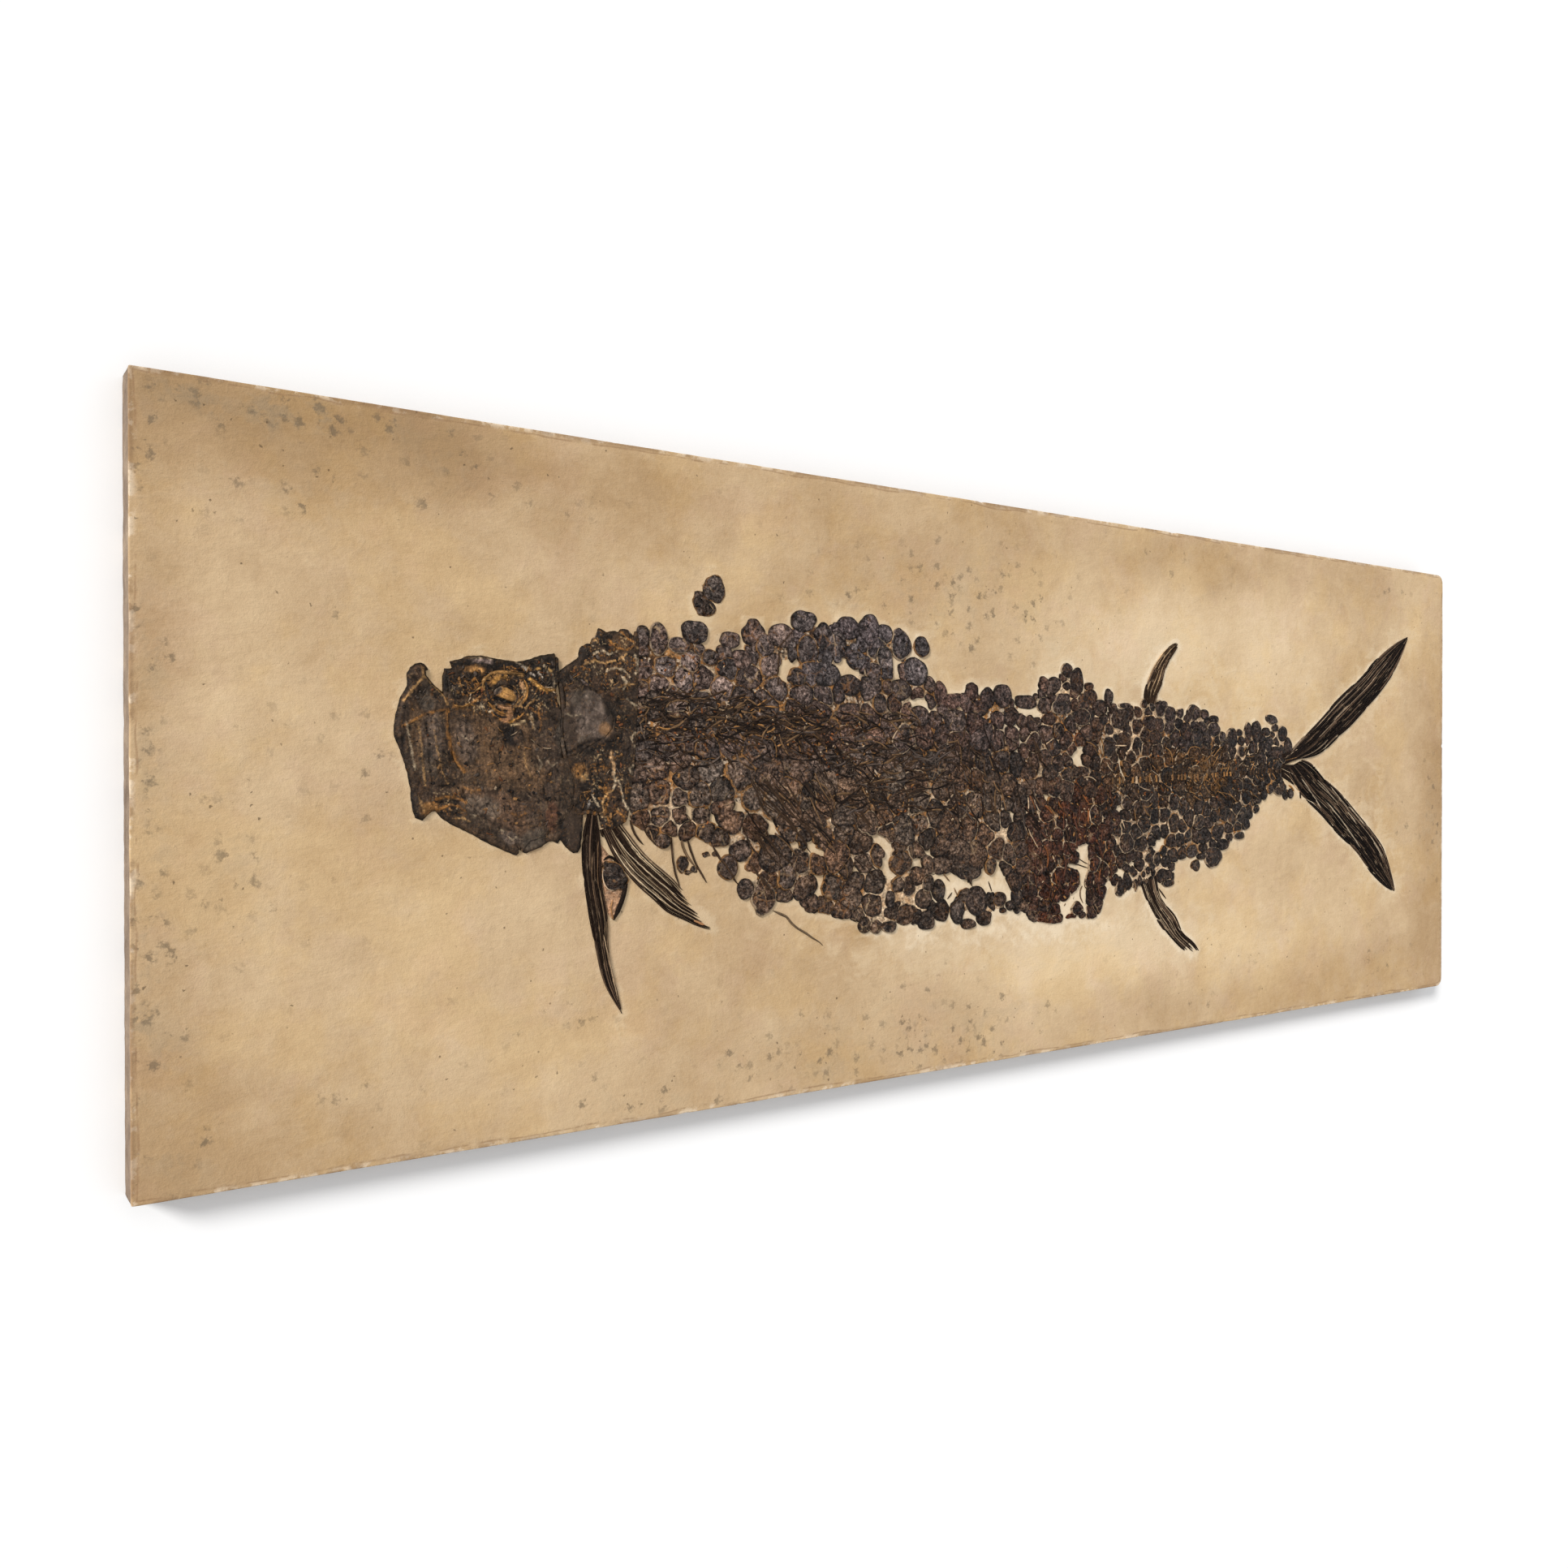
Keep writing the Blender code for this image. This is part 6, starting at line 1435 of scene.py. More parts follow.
def scale_coat():
    rng = np.random.default_rng(41)
    buffers = [Buffer() for _ in range(6)]
    hand = UPPER_SCALES + LOWER_SCALES
    hx = np.array([h[0] for h in hand])
    hy = np.array([h[1] for h in hand])
    hr = np.array([math.sqrt(h[2] * h[3]) for h in hand])
    # cell centres at uneven steps over the outline
    placed = []
    tries = 24000
    px, py = rng.uniform(-650, 640, tries), rng.uniform(-205, 215, tries)
    clear = coat_clear.at(px, py)
    for x, y, d in zip(px, py, clear):
        if d > -3.5 or (x < -588 and y < 96):
            continue
        size = 25.0 - 6.5 * smooth(-60, 60, x) - 2.5 * smooth(380, 560, x) - 4.0 * smooth(-470, -560, x) - 6.0 * smooth(-570, -600, x)
        size += 5.0 * fbm(np.array([x / 55.0]), np.array([y / 45.0]), 65, 2)[0]
        spacing = size * (0.80 if d > -12 else 1.0)
        if np.any(np.hypot(hx - x, hy - y) < 0.72 * hr + spacing * 0.30):
            continue
        if placed:
            p = np.array(placed)
            if np.any(np.hypot((p[:, 0] - x) * 0.92, (p[:, 1] - y) * 1.08) < 0.5 * (spacing + p[:, 2])):
                continue
        placed.append((x, y, spacing))
    cells_xy = np.array([(p[0], p[1]) for p in placed])
    size_all = np.array([p[2] for p in placed])
    sites = np.vstack([cells_xy, np.stack([hx, hy], 1)])
    weight = np.concatenate([size_all * 0.5, hr])
    th = np.arange(SIDES) / SIDES * 2 * math.pi
    count = 0
    for k, (x, y, spacing) in enumerate(placed):
        dx, dy = sites[:, 0] - x, sites[:, 1] - y
        dist = np.hypot(dx, dy)
        near = (dist > 0.01) & (dist < 70)
        dist, dirn = dist[near], np.arctan2(dy[near], dx[near])
        share = weight[k] / (weight[k] + weight[near])
        c = np.cos(th[:, None] - dirn[None])
        r = np.where(c > 0.05, dist * share / np.maximum(c, 0.05), 1e4)
        r = (np.sum(r**-9.0, axis=1)) ** (-1 / 9.0)
        r = np.minimum(r, spacing * 0.95)
        r = (r + 0.5 * (np.roll(r, 1) + np.roll(r, -1))) / 2
        open_net = float(net.at(x, y))
        if rng.random() < 0.32 * (1 - open_net):  # laid over its neighbours
            r = r * rng.uniform(1.08, 1.24)
            level = rng.uniform(0.5, 1.3)
        else:
            r = r + rng.uniform(-0.4, 0.8) - (1.0 + rng.uniform(0.0, 0.9)) * open_net
            level = rng.uniform(-0.3, 0.6)
        zone = zone_at(x + rng.normal() * 22)
        w = np.array([s[0] for s in zone[1]], float)
        _, seam_tint, seam = zone[1][int(rng.choice(len(w), p=w / w.sum()))]
        disc(buffers[region_of(x, y)], rng, x, y, spacing * 0.55, spacing * 0.5, 0.0, level, rng.uniform(0.7, 1.2),
             (rng.normal() * 0.30 + 0.25, rng.normal() * 0.30), coat_clear, scale_tint(rng, x, y), seam, seam_tint,
             zone[2] * rng.uniform(0.2, 1.4), 1.0, 0.0, radii=r)
        count += 1
    for x, y, rx, ry, turn in hand:
        zone = zone_at(x)
        tint = scale_tint(rng, x, y)
        if rng.random() < 0.35:
            tint = tint * 0.5 + 0.5 * (SLATE if rng.random() < 0.5 else DARK) * rng.uniform(0.8, 1.1)
        w = np.array([s[0] for s in zone[1]], float)
        _, seam_tint, seam = zone[1][int(rng.choice(len(w), p=w / w.sum()))]
        disc(buffers[region_of(x, y)], rng, x, y, rx, ry, math.radians(turn) + rng.uniform(-0.08, 0.08), rng.uniform(0.2, 1.3),
             rng.uniform(0.9, 1.4), (rng.normal() * 0.35, rng.normal() * 0.35), None, tint, seam * 0.8, seam_tint,
             zone[2] * rng.uniform(0.3, 1.2), 0.8, 0.14 if rng.random() < 0.2 else 0.0)
    names = ("front_upper", "front_lower", "middle_upper", "middle_lower", "rear_upper", "rear_lower")
    for name, buf in zip(names, buffers):
        obj = buf.build("scale_coat_" + name, SCALE, "dark_scale")
        obj.data.set_sharp_from_angle(angle=math.radians(58))
        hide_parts("scale_coat")
    return count + len(hand)


def coat_bed():
    """The crushed bone and chalk that the scales lie in. Where it shows dark between the scales it is partly the
    crushed bone's colour and partly painted shade.
    """
    pts, tri = filled(SCALE_COAT, spacing=4.6, seed=51, inset=0.3)
    x, y = pts[:, 0], pts[:, 1]
    gap = polygon_distance(x, y, COAT_GAPS + SMALL_GAPS)
    d = np.minimum(-coat_edge.at(x, y), gap)
    front = x < -585
    d = np.where(front, np.minimum(-coat_edge.at(x, y), gap), d)
    top = 38.9 + (1.9 + 0.8 * bulk(x, y)) * smooth(1.5, 8.5, d + 1.5 * noise2(x / 6, y / 6, 52))
    top += 0.5 * fbm(x / 6, y / 5, 53, 3) * smooth(3, 9, d)
    pale = np.clip(smooth(0.25, 0.7, net.at(x, y) + 0.35 * fbm(x / 14, y / 13, 54, 3)), 0, 1)
    ochre = smooth(0.02, 0.25, fbm(x / 22, y / 18, 55, 3)) * (1 - 0.6 * pale * smooth(-500, 0, x))
    # dark where the net is closed, partly painted shade between the scales; pale chalk where it opens
    tint = np.outer(1 - pale, 0.55 * DEEP + 0.45 * rgb(104, 72, 44)) + np.outer(pale, rgb(206, 180, 148))
    tint = tint * (1 - ochre[:, None]) + np.outer(ochre, OCHRE)
    shallow = smooth(9, 2, d)[:, None]
    tint = tint * (1 - shallow) + rgb(206, 184, 154) * shallow
    buf = Buffer()
    slab_solid(buf, pts, tri, top, 38.2, tint=tint, fleck=0.8 - 0.6 * pale)
    obj = buf.build("scale_coat_bed", FILM, "dark_scale")
    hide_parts("scale_coat")


coat_bed()
print("scales", scale_coat())


# ================================================================== fins
def eased(p, rounds=3):
    """Takes small wavers out of a line and keeps its ends."""
    p = p.copy()
    for _ in range(rounds):
        p[1:-1] = 0.25 * p[:-2] + 0.5 * p[1:-1] + 0.25 * p[2:]
    return p


def fin(name, node, edges, rays, seed, base_tint, pale, high=2.6, reach=None, wave=0.5, bed=0.5, group=1, gather=(1.0, 1.0),
        bed_to=1.0, seams=0.75, extra=None, bed_tint=None, breaks=(6, 18)):
    """A fin: thin rays fanned between two edges, on a low bed. `reach` says how far along each ray goes,
    `group` how many go together and `gather` how much of its room a group fills, at the root and at the tip."""
    rng = np.random.default_rng(seed)
    buf = Buffer()
    n = 46
    one, two = eased(resample(edges[0], count=n), 8), eased(resample(edges[1], count=n), 8)
    span = np.hypot(*(one - two).T)
    length = float(np.hypot(*np.diff((one + two) / 2, axis=0).T).sum())
    groups = rays // group
    fill = np.linspace(gather[0], gather[1], n)
    for j in range(groups * group):
        g, k = divmod(j, group)
        f = (g + 0.5) / groups + ((k + 0.5) / group - 0.5) / groups * fill
        f_path = f + wave * (0.55 / rays) * fbm(np.linspace(0, 3, n), np.full(n, j * 3.7), seed, 2)
        path = one * (1 - f_path)[:, None] + two * f_path[:, None]
        end = 1.0 if reach is None else float(np.interp((g + 0.5) / groups, *reach))
        end = min(1.0, end + rng.uniform(-0.03, 0.02))
        keep = slice(0, max(5, int(end * (n - 1)) + 1))
        p = path[keep]
        s = np.linspace(0, 1, len(p))
        w = span[keep] / rays * fill[keep] * (0.88 + 0.14 * fbm(np.linspace(0, 6, len(p)), np.full(len(p), j * 1.3), seed + 3, 2)) + 0.35
        z = 40.05 + high * (1 - 0.35 * s) * 0.35 + 0.3 * fbm(s * 5, np.full(len(p), j * 2.1), seed + 5, 2) + rng.uniform(-0.25, 0.25)
        h = np.minimum(high * 0.62, 0.55 * w + 0.5) * (1 - 0.3 * s)
        tone = base_tint * rng.uniform(0.65, 1.3)
        # a ray lies in a few lengths, each a little out of line and of its own shade
        off = np.stack([-np.gradient(p[:, 1]), np.gradient(p[:, 0])], 1)
        off /= np.maximum(np.hypot(*off.T), 1e-6)[:, None]
        cuts, last = [0], len(p) - 1
        while cuts[-1] < last - breaks[1]:
            cuts.append(min(last, cuts[-1] + int(rng.integers(breaks[0], breaks[1]))))
        if last - cuts[-1] < 4 and len(cuts) > 1:
            cuts.pop()
        cuts.append(last)
        for a, b in zip(cuts[:-1], cuts[1:]):
            q = p[a:b + 1] + off[a:b + 1] * rng.normal() * (0.24 if j in (0, 1, groups * group - 2, groups * group - 1) else 0.12) * w[a:b + 1, None]
            shade = rng.random()
            tint = tone * rng.uniform(0.55, 1.5)
            if shade < 0.20:
                tint = tint * 0.3 + 0.7 * rgb(112, 90, 72) * rng.uniform(0.35, 1.0)
            elif shade < 0.235:
                tint = tint * 0.2 + 0.8 * pale * rng.uniform(0.4, 0.8)
            strand(buf, q, w[a:b + 1] * rng.uniform(0.78, 1.0), h[a:b + 1], z[a:b + 1] + rng.uniform(-0.2, 0.2),
                   taper=(0.05, 0.16 if b == last else 0.06), sink=1.6, tint=tint, groove=0.0, fleck=rng.uniform(0.3, 1.0),
                   run=rng.uniform(0, 200), across=0.0, rnd=rng.uniform(0, 50))
        if rng.random() < seams and len(p) > 12:  # a pale seam beside the ray
            a, b = sorted(rng.uniform(0.0, 1.0, 2))
            i, e = int(a * (len(p) - 1)), int(min(1, b + 0.2) * (len(p) - 1))
            if e - i > 5:
                q = p[i:e] + off[i:e] * (w[i:e] * 0.47)[:, None]
                strand(buf, q, np.minimum(w[i:e] * 0.22, 1.1), 0.5, z[i:e] + h[i:e] * 0.40, taper=(0.2, 0.3), sink=1.2,
                       tint=pale * rng.uniform(0.45, 1.0), groove=0.0, fleck=0.2, run=rng.uniform(0, 200), across=0.0, rnd=rng.uniform(0, 50))
    # the bed under the rays
    stop = max(4, int(n * bed_to))
    a = one * 0.9 + two * 0.1
    b = two * 0.9 + one * 0.1
    m = 8
    rows = np.array([[a[i] * (1 - t) + b[i] * t for t in np.linspace(0, 1, m)] for i in range(stop)])
    r, c = rows.shape[:2]
    xy = rows.reshape(-1, 2)
    inner = np.tile((np.minimum(np.arange(m), m - 1 - np.arange(m)) > 0), r).reshape(r, m)
    inner[0], inner[-1] = False, False
    z = np.where(inner.ravel(), 40.0 + bed + 0.25 * fbm(xy[:, 0] / 8, xy[:, 1] / 8, seed + 9, 2), 39.4)
    co = np.vstack([np.column_stack([xy, z]), np.column_stack([xy, np.full(len(xy), 38.6)])])
    idx = np.arange(r * c).reshape(r, c)
    flip = (rows[0, -1, 0] - rows[0, 0, 0]) * (rows[-1, 0, 1] - rows[0, 0, 1]) - (rows[0, -1, 1] - rows[0, 0, 1]) * (rows[-1, 0, 0] - rows[0, 0, 0]) < 0
    faces = []
    for i in range(r - 1):
        for j in range(c - 1):
            q = [idx[i, j], idx[i, j + 1], idx[i + 1, j + 1], idx[i + 1, j]]
            faces.append(q[::-1] if flip else q)
            low = [v + r * c for v in q]
            faces.append(low if flip else low[::-1])
    ring = list(idx[0, :-1]) + list(idx[:-1, -1]) + list(idx[-1, :0:-1]) + list(idx[:0:-1, 0])
    for i in range(len(ring)):
        u, v = ring[i], ring[(i + 1) % len(ring)]
        q = [v, u, u + r * c, v + r * c]
        faces.append(q[::-1] if flip else q)
    k = len(co)
    run = np.concatenate([np.repeat(np.arange(r) * length / n, c)] * 2)
    acr = np.concatenate([np.tile(np.linspace(0, 1, m), r) * np.repeat(span[:stop], c)] * 2)
    under = base_tint * 0.7 if bed_tint is None else bed_tint
    buf.add(co, faces, tint=np.broadcast_to(under, (k, 3)), groove=np.full(k, 0.8), fleck=np.full(k, 0.6),
            run=run, across=acr, rnd=np.full(k, 77.0))
    if extra is not None:
        extra(buf, rng)
    obj = buf.build(name, RAY, "fin_ray")
    obj.data.set_sharp_from_angle(angle=math.radians(70))
    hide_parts(node)
    return obj


def grown(edges, root):
    """Both edges of a fin carried back past its root."""
    out = []
    for edge in edges:
        e = np.array(edge, float)
        back = e[0] - e[1]
        out.append([tuple(e[0] + back / np.hypot(*back) * root)] + [tuple(q) for q in e])
    return out


def laid_strands(buf, rng, lines, wobble=0.4, level=40.5):
    """Listed strands: width, height, colour, then points."""
    for width, high, tint, line in lines:
        p = resample(line, step=3.0)
        p = p + wobble * np.stack([noise2(p[:, 0] / 8, p[:, 1] / 8, 78), noise2(p[:, 0] / 8, p[:, 1] / 8, 79)], 1)
        z = np.maximum(ground.at(p[:, 0], p[:, 1]) - 0.2, level)
        strand(buf, p, width, high, z, taper=(0.1, 0.2), sink=2.0, tint=tint, fleck=0.6, groove=0.0, run=rng.uniform(0, 300),
               across=0.0, rnd=rng.uniform(0, 60))


LOBE = rgb(31, 21, 15)
LOBE_DARK = rgb(20, 13, 10)


def upper_root(buf, rng):
    lines = []
    for k in range(9):
        t = k / 8
        end = (700 - 30 * t, 92 - 47 * t)
        lines.append((3.6, 1.6, LOBE * rng.uniform(0.7, 1.3), [(606 + 3 * t, 44 - 16 * t), (632, 50 - 16 * t), (660, 66 - 26 * t), end]))
    lines.append((1.5, 1.8, rgb(180, 156, 126), [(610, 38), (626, 45), (646, 58), (664, 72)]))
    lines.append((1.3, 1.8, rgb(150, 112, 70), [(608, 33), (630, 37), (654, 41), (680, 44)]))
    lines.append((1.2, 1.9, rgb(184, 160, 132), [(622, 42), (640, 50), (660, 58)]))
    laid_strands(buf, rng, lines)


def lower_root(buf, rng):
    lines = []
    for k in range(9):
        t = k / 8
        end = (700 - 40 * t, 24 - 52 * t)
        lines.append((3.8, 1.6, LOBE * rng.uniform(0.6, 1.2), [(606, 26 - 16 * t), (628, 26 - 24 * t), (655, 26 - 38 * t), end]))
    lines.append((1.7, 1.8, rgb(196, 174, 144), [(606, 21), (620, 17), (636, 12), (650, 4)]))
    lines.append((1.5, 1.8, rgb(190, 166, 134), [(612, 14), (628, 6), (642, -6), (656, -18)]))
    lines.append((2.4, 1.6, rgb(164, 116, 62), [(628, -6), (636, -11), (641, -16)]))
    for width, points in ((2.0, [(725, -32), (752, -50), (790, -80), (833, -117)]), (1.6, [(660, 5), (690, -22), (720, -50)]),
                          (1.5, [(797, -44), (820, -60), (845, -78)]), (1.5, [(790, -52), (806, -63), (820, -76)]),
                          (1.2, [(740, -8), (770, -30), (800, -52)]), (1.2, [(860, -96), (884, -118), (902, -140)]),
                          (1.1, [(700, 4), (730, -14), (756, -34)])):
        lines.append((width, 2.6, rgb(196, 178, 152) * rng.uniform(0.75, 1.0), points))
    laid_strands(buf, rng, lines)


def front_web(buf, rng):
    lines = [(6.5, 2.0, LOBE * 0.8, [(-606, -98), (-600, -110), (-602.5, -124), (-608, -138), (-614.5, -151)]),
             (1.6, 2.2, rgb(184, 158, 130), [(-628, -92), (-628.5, -104), (-622, -116), (-610, -118)]),
             (1.5, 1.6, rgb(150, 110, 72), [(-615, -150), (-618, -138), (-616, -128)]),
             (1.3, 2.6, rgb(160, 136, 108), [(-628, -165), (-622, -190), (-616, -215), (-610, -240)]),
             (0.9, 2.6, rgb(110, 88, 68), [(-640, -70), (-642, -100), (-638, -130), (-632, -160)]),
             (0.9, 2.6, rgb(104, 80, 58), [(-634, -60), (-635, -90), (-634, -120)]),
             (3.0, 1.8, LOBE * 0.7, [(-627, -84), (-618, -80), (-608, -90), (-602, -100)])]
    laid_strands(buf, rng, lines)


def pectoral_lines(buf, rng):
    lines = []
    for width, points in ((1.9, [(-618, -66), (-600, -92), (-584, -108), (-562, -126), (-540, -142)]),
                          (1.7, [(-612, -58), (-598, -76), (-580, -92), (-556, -112), (-532, -130)]),
                          (1.3, [(-604, -52), (-590, -70), (-572, -88), (-552, -104)]),
                          (1.3, [(-606, -78), (-588, -98), (-566, -116), (-542, -134), (-520, -150)]),
                          (1.2, [(-600, -60), (-584, -80), (-562, -99), (-540, -118)])):
        lines.append((width, 1.9, rgb(204, 182, 150) * rng.uniform(0.75, 1.0), points))
    lines.append((3.2, 1.6, rgb(176, 128, 88), [(-512, -158), (-504, -161), (-497, -164)]))
    for _ in range(26):
        x, y = rng.uniform(-632, -600), rng.uniform(-58, -20)
        a = rng.uniform(0, 3.1)
        lines.append((rng.uniform(1.2, 2.6), 1.6, pick(rng, [(3, DEEP), (3, UMBER), (2, OCHRE), (2, CREAM)]) * rng.uniform(0.7, 1.1),
                      [(x - 5 * math.cos(a), y - 5 * math.sin(a)), (x + rng.normal(), y + rng.normal()), (x + 5 * math.cos(a), y + 5 * math.sin(a))]))
    laid_strands(buf, rng, lines)


BLADE_EDGES = (
    [(-634, -42), (-631, -60), (-629, -80), (-630, -100), (-628.5, -116), (-624.5, -134), (-621, -150), (-622, -166),
     (-620.5, -187), (-616.5, -205), (-612.5, -222), (-608.5, -238), (-603.5, -256)],
    [(-646, -34), (-650, -47), (-652.8, -66.6), (-652.6, -87), (-651, -100), (-649.4, -111.5), (-645.3, -140), (-642, -155),
     (-639, -168.7), (-634, -189), (-629.5, -212), (-620, -233), (-610, -247), (-604.5, -256.5)],
)
fin("caudal_upper_rays", "caudal_lobe_upper", CAUDAL_UPPER_EDGES, 21, 71, LOBE_DARK, rgb(168, 146, 122), extra=upper_root, seams=0.4,
    bed_tint=rgb(28, 19, 16), wave=0.8, breaks=(4, 13))
fin("caudal_lower_rays", "caudal_lobe_lower", CAUDAL_LOWER_EDGES, 21, 72, LOBE_DARK, rgb(180, 158, 132), extra=lower_root, seams=0.38,
    bed_tint=rgb(28, 20, 15), wave=0.8, breaks=(4, 13))
fin("dorsal_rays", "dorsal_fin", grown(DORSAL_EDGES, 9), 9, 73, rgb(50, 35, 23), rgb(196, 166, 128), high=2.4, group=3, gather=(0.95, 0.8), bed_to=0.85,
    bed_tint=rgb(66, 47, 31), breaks=(5, 12))
fin("anal_rays", "anal_fin", grown(ANAL_EDGES, 14), 9, 74, LOBE, rgb(204, 180, 148), high=2.4, group=3, gather=(0.95, 0.7), seams=0.9,
    reach=([0, 0.3, 0.7, 1.0], [1.0, 0.96, 0.90, 0.84]), bed_to=0.85)
fin("pectoral_front_rays", "pectoral_fin_front", grown(BLADE_EDGES, 10), 9, 75, LOBE * 0.95, rgb(140, 116, 90), high=2.8, extra=front_web, seams=0.4)
fin("pectoral_rear_rays", "pectoral_fin_rear", grown(PECTORAL_REAR_EDGES, 8), 24, 76, rgb(38, 27, 20), rgb(190, 164, 130), high=2.5, group=3,
    gather=(1.0, 0.74), reach=([0, 0.12, 0.25, 0.37, 0.5, 0.62, 0.75, 0.88, 1.0], [0.64, 0.70, 0.73, 0.84, 0.88, 0.84, 0.98, 0.92, 1.0]),
    bed_to=0.5, extra=pectoral_lines, seams=0.25, breaks=(10, 30))


def web():
    """The skin of the front pectoral fin, a low tan film."""
    outline = [(-630, -66), (-620, -78), (-604, -101), (-598, -110), (-601, -125), (-608, -140), (-616, -152), (-622, -142), (-627, -116), (-630, -95)]
    pts, tri = filled(resample(outline, step=3, closed=True, curve=False), spacing=3.0, seed=77)
    d = -polygon_distance(pts[:, 0], pts[:, 1], [outline])
    top = 39.6 + 1.2 * smooth(0, 3, d) + 0.25 * fbm(pts[:, 0] / 6, pts[:, 1] / 6, 77, 2)
    tint = np.broadcast_to(rgb(172, 134, 104), (len(pts), 3))
    buf = Buffer()
    slab_solid(buf, pts, tri, top, 38.8, tint=tint, fleck=np.full(len(pts), 0.15))
    obj = buf.build("pectoral_web", FILM, "fin_ray")


web()


# ================================================================== bones on and in the coat
def surface(x, y):
    return ground.at(x, y)


def bones_of_the_back():
    """Ribs, spines and vertebrae: many short splinters that follow the body, in two pieces."""
    rng = np.random.default_rng(81)
    front, rear = Buffer(), Buffer()
    # from x, to x, from y, to y, lean in degrees, spread, length, width, how many, colours
    tan, straw = rgb(104, 80, 56), rgb(124, 92, 58)
    beds = [
        (-590, -330, 56, 100, 8, 24, (9, 30), (1.2, 3.2), 360, [(6, DEEP), (4, UMBER), (3, DARK), (1.6, tan), (0.5, OCHRE)], front),
        (-590, -420, 20, 60, -12, 26, (10, 30), (1.2, 2.8), 120, [(4, DEEP), (4, UMBER), (2, GREY), (1, tan)], front),
        (-420, -180, 24, 90, -8, 26, (10, 36), (1.3, 3.2), 190, [(5, DEEP), (5, UMBER), (2, tan), (1, SLATE)], front),
        (-440, -320, -80, 5, -46, 8, (24, 64), (1.4, 3.0), 70, [(4, UMBER), (3, DARK), (3, DEEP), (1, tan)], front),
        (-340, -230, -120, 20, -52, 14, (20, 56), (1.2, 2.6), 70, [(4, UMBER), (3, DARK), (3, DEEP), (1, tan)], front),
        (-300, -110, -40, 60, 4, 18, (12, 40), (1.3, 3.2), 190, [(5, UMBER), (4, DARK), (3, DEEP), (3, SLATE), (1, tan)], front),
        (-120, 60, -60, 70, -62, 26, (12, 38), (1.2, 2.8), 150, [(4, UMBER), (4, DEEP), (2, SLATE), (1, tan)], rear),
        (20, 200, -170, -20, -74, 26, (10, 34), (1.2, 2.8), 150, [(4, RED), (4, DEEP), (2, UMBER), (0.8, CREAM), (1, RUST)], rear),
        (150, 330, -60, 60, -30, 40, (10, 30), (1.1, 2.4), 100, [(3, UMBER), (1.4, straw), (3, DEEP), (0.7, CREAM)], rear),
        (330, 560, 20, 56, 34, 16, (12, 30), (1.0, 2.0), 70, [(3, UMBER), (1.4, straw), (3, DEEP)], rear),
        (330, 560, -36, 5, -34, 16, (12, 30), (1.0, 2.0), 70, [(3, UMBER), (1.4, straw), (3, DEEP)], rear),
    ]
    for x0, x1, y0, y1, lean, spread, lengths, widths, count, colours, buf in beds:
        for _ in range(count):
            x, y = rng.uniform(x0, x1), rng.uniform(y0, y1)
            if x < -330 and y > 40:
                y += 8 * math.sin((x + 590) / 60.0)
            length, width = rng.uniform(*lengths), rng.uniform(*widths)
            a = math.radians(lean + rng.normal() * spread)
            n = max(5, int(length / 4))
            s = np.linspace(-0.5, 0.5, n)
            bend = rng.normal() * 0.16 * length
            p = np.stack([x + s * length * math.cos(a) - bend * (s**2) * 2 * math.sin(a),
                          y + s * length * math.sin(a) + bend * (s**2) * 2 * math.cos(a)], 1)
            if np.any(coat_clear.at(p[:, 0], p[:, 1]) > -2):
                continue
            z = surface(p[:, 0], p[:, 1])
            z = np.maximum(z, np.median(z) - 0.3)
            z = np.convolve(np.pad(z, 2, mode="edge"), np.ones(5) / 5, mode="valid") - 0.25
            tint = pick(rng, colours) * rng.uniform(0.75, 1.25)
            strand(buf, p, width, min(0.5 * width, 1.1), z, tint=tint, fleck=rng.uniform(0.2, 0.9), groove=0.0,
                   run=rng.uniform(0, 300), across=0.0, rnd=rng.uniform(0, 60))
    crumbs = [(-590, -300, 44, 92, 260, 0.75), (-590, -470, 95, 150, 60, 0.8), (-350, -260, 10, 90, 110, 0.8), (-590, -460, -50, 10, 50, 0.8),
              (-250, -150, -60, 0, 90, 0.8), (-120, -60, -60, 0, 50, 0.8), (30, 210, -190, -20, 200, 0.9), (200, 500, -30, 40, 240, 0.8)]
    for x0, x1, y0, y1, count, size in crumbs:
        for x, y in zip(rng.uniform(x0, x1, count), rng.uniform(y0, y1, count)):
            if coat_clear.at(x, y) > -3:
                continue
            tint = pick(rng, [(3, OCHRE), (1, CREAM), (6, DEEP), (3, RUST)]) * rng.uniform(0.45, 0.95)
            shard(front if x < -60 else rear, rng, x, y, size * rng.uniform(0.7, 2.3), float(surface(x, y)) - 0.25, tint, rng.uniform(1.0, 2.6),
                  fleck=0.5, groove=0.0, run=rng.uniform(0, 300), across=0.0, rnd=rng.uniform(0, 60))
    for width, path in SPLINTERS:
        p = resample(path, step=4.0)
        p = p + 0.5 * np.stack([noise2(p[:, 0] / 9, p[:, 1] / 9, 82), noise2(p[:, 0] / 9, p[:, 1] / 9, 83)], 1)
        z = np.maximum(surface(p[:, 0], p[:, 1]) - 0.2, 40.0)
        dark = rng.random() < 0.75
        tint = (UMBER if dark else rgb(110, 88, 66)) * rng.uniform(0.8, 1.1)
        strand(front, p, width, min(0.62 * width, 1.4), z, taper=(0.12, 0.2), tint=tint, fleck=0.6, groove=0.0,
               run=rng.uniform(0, 300), across=0.0, rnd=rng.uniform(0, 60))
    obj = front.build("ribs_and_spines", RAY, "dark_bone")
    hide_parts("neural_spines")
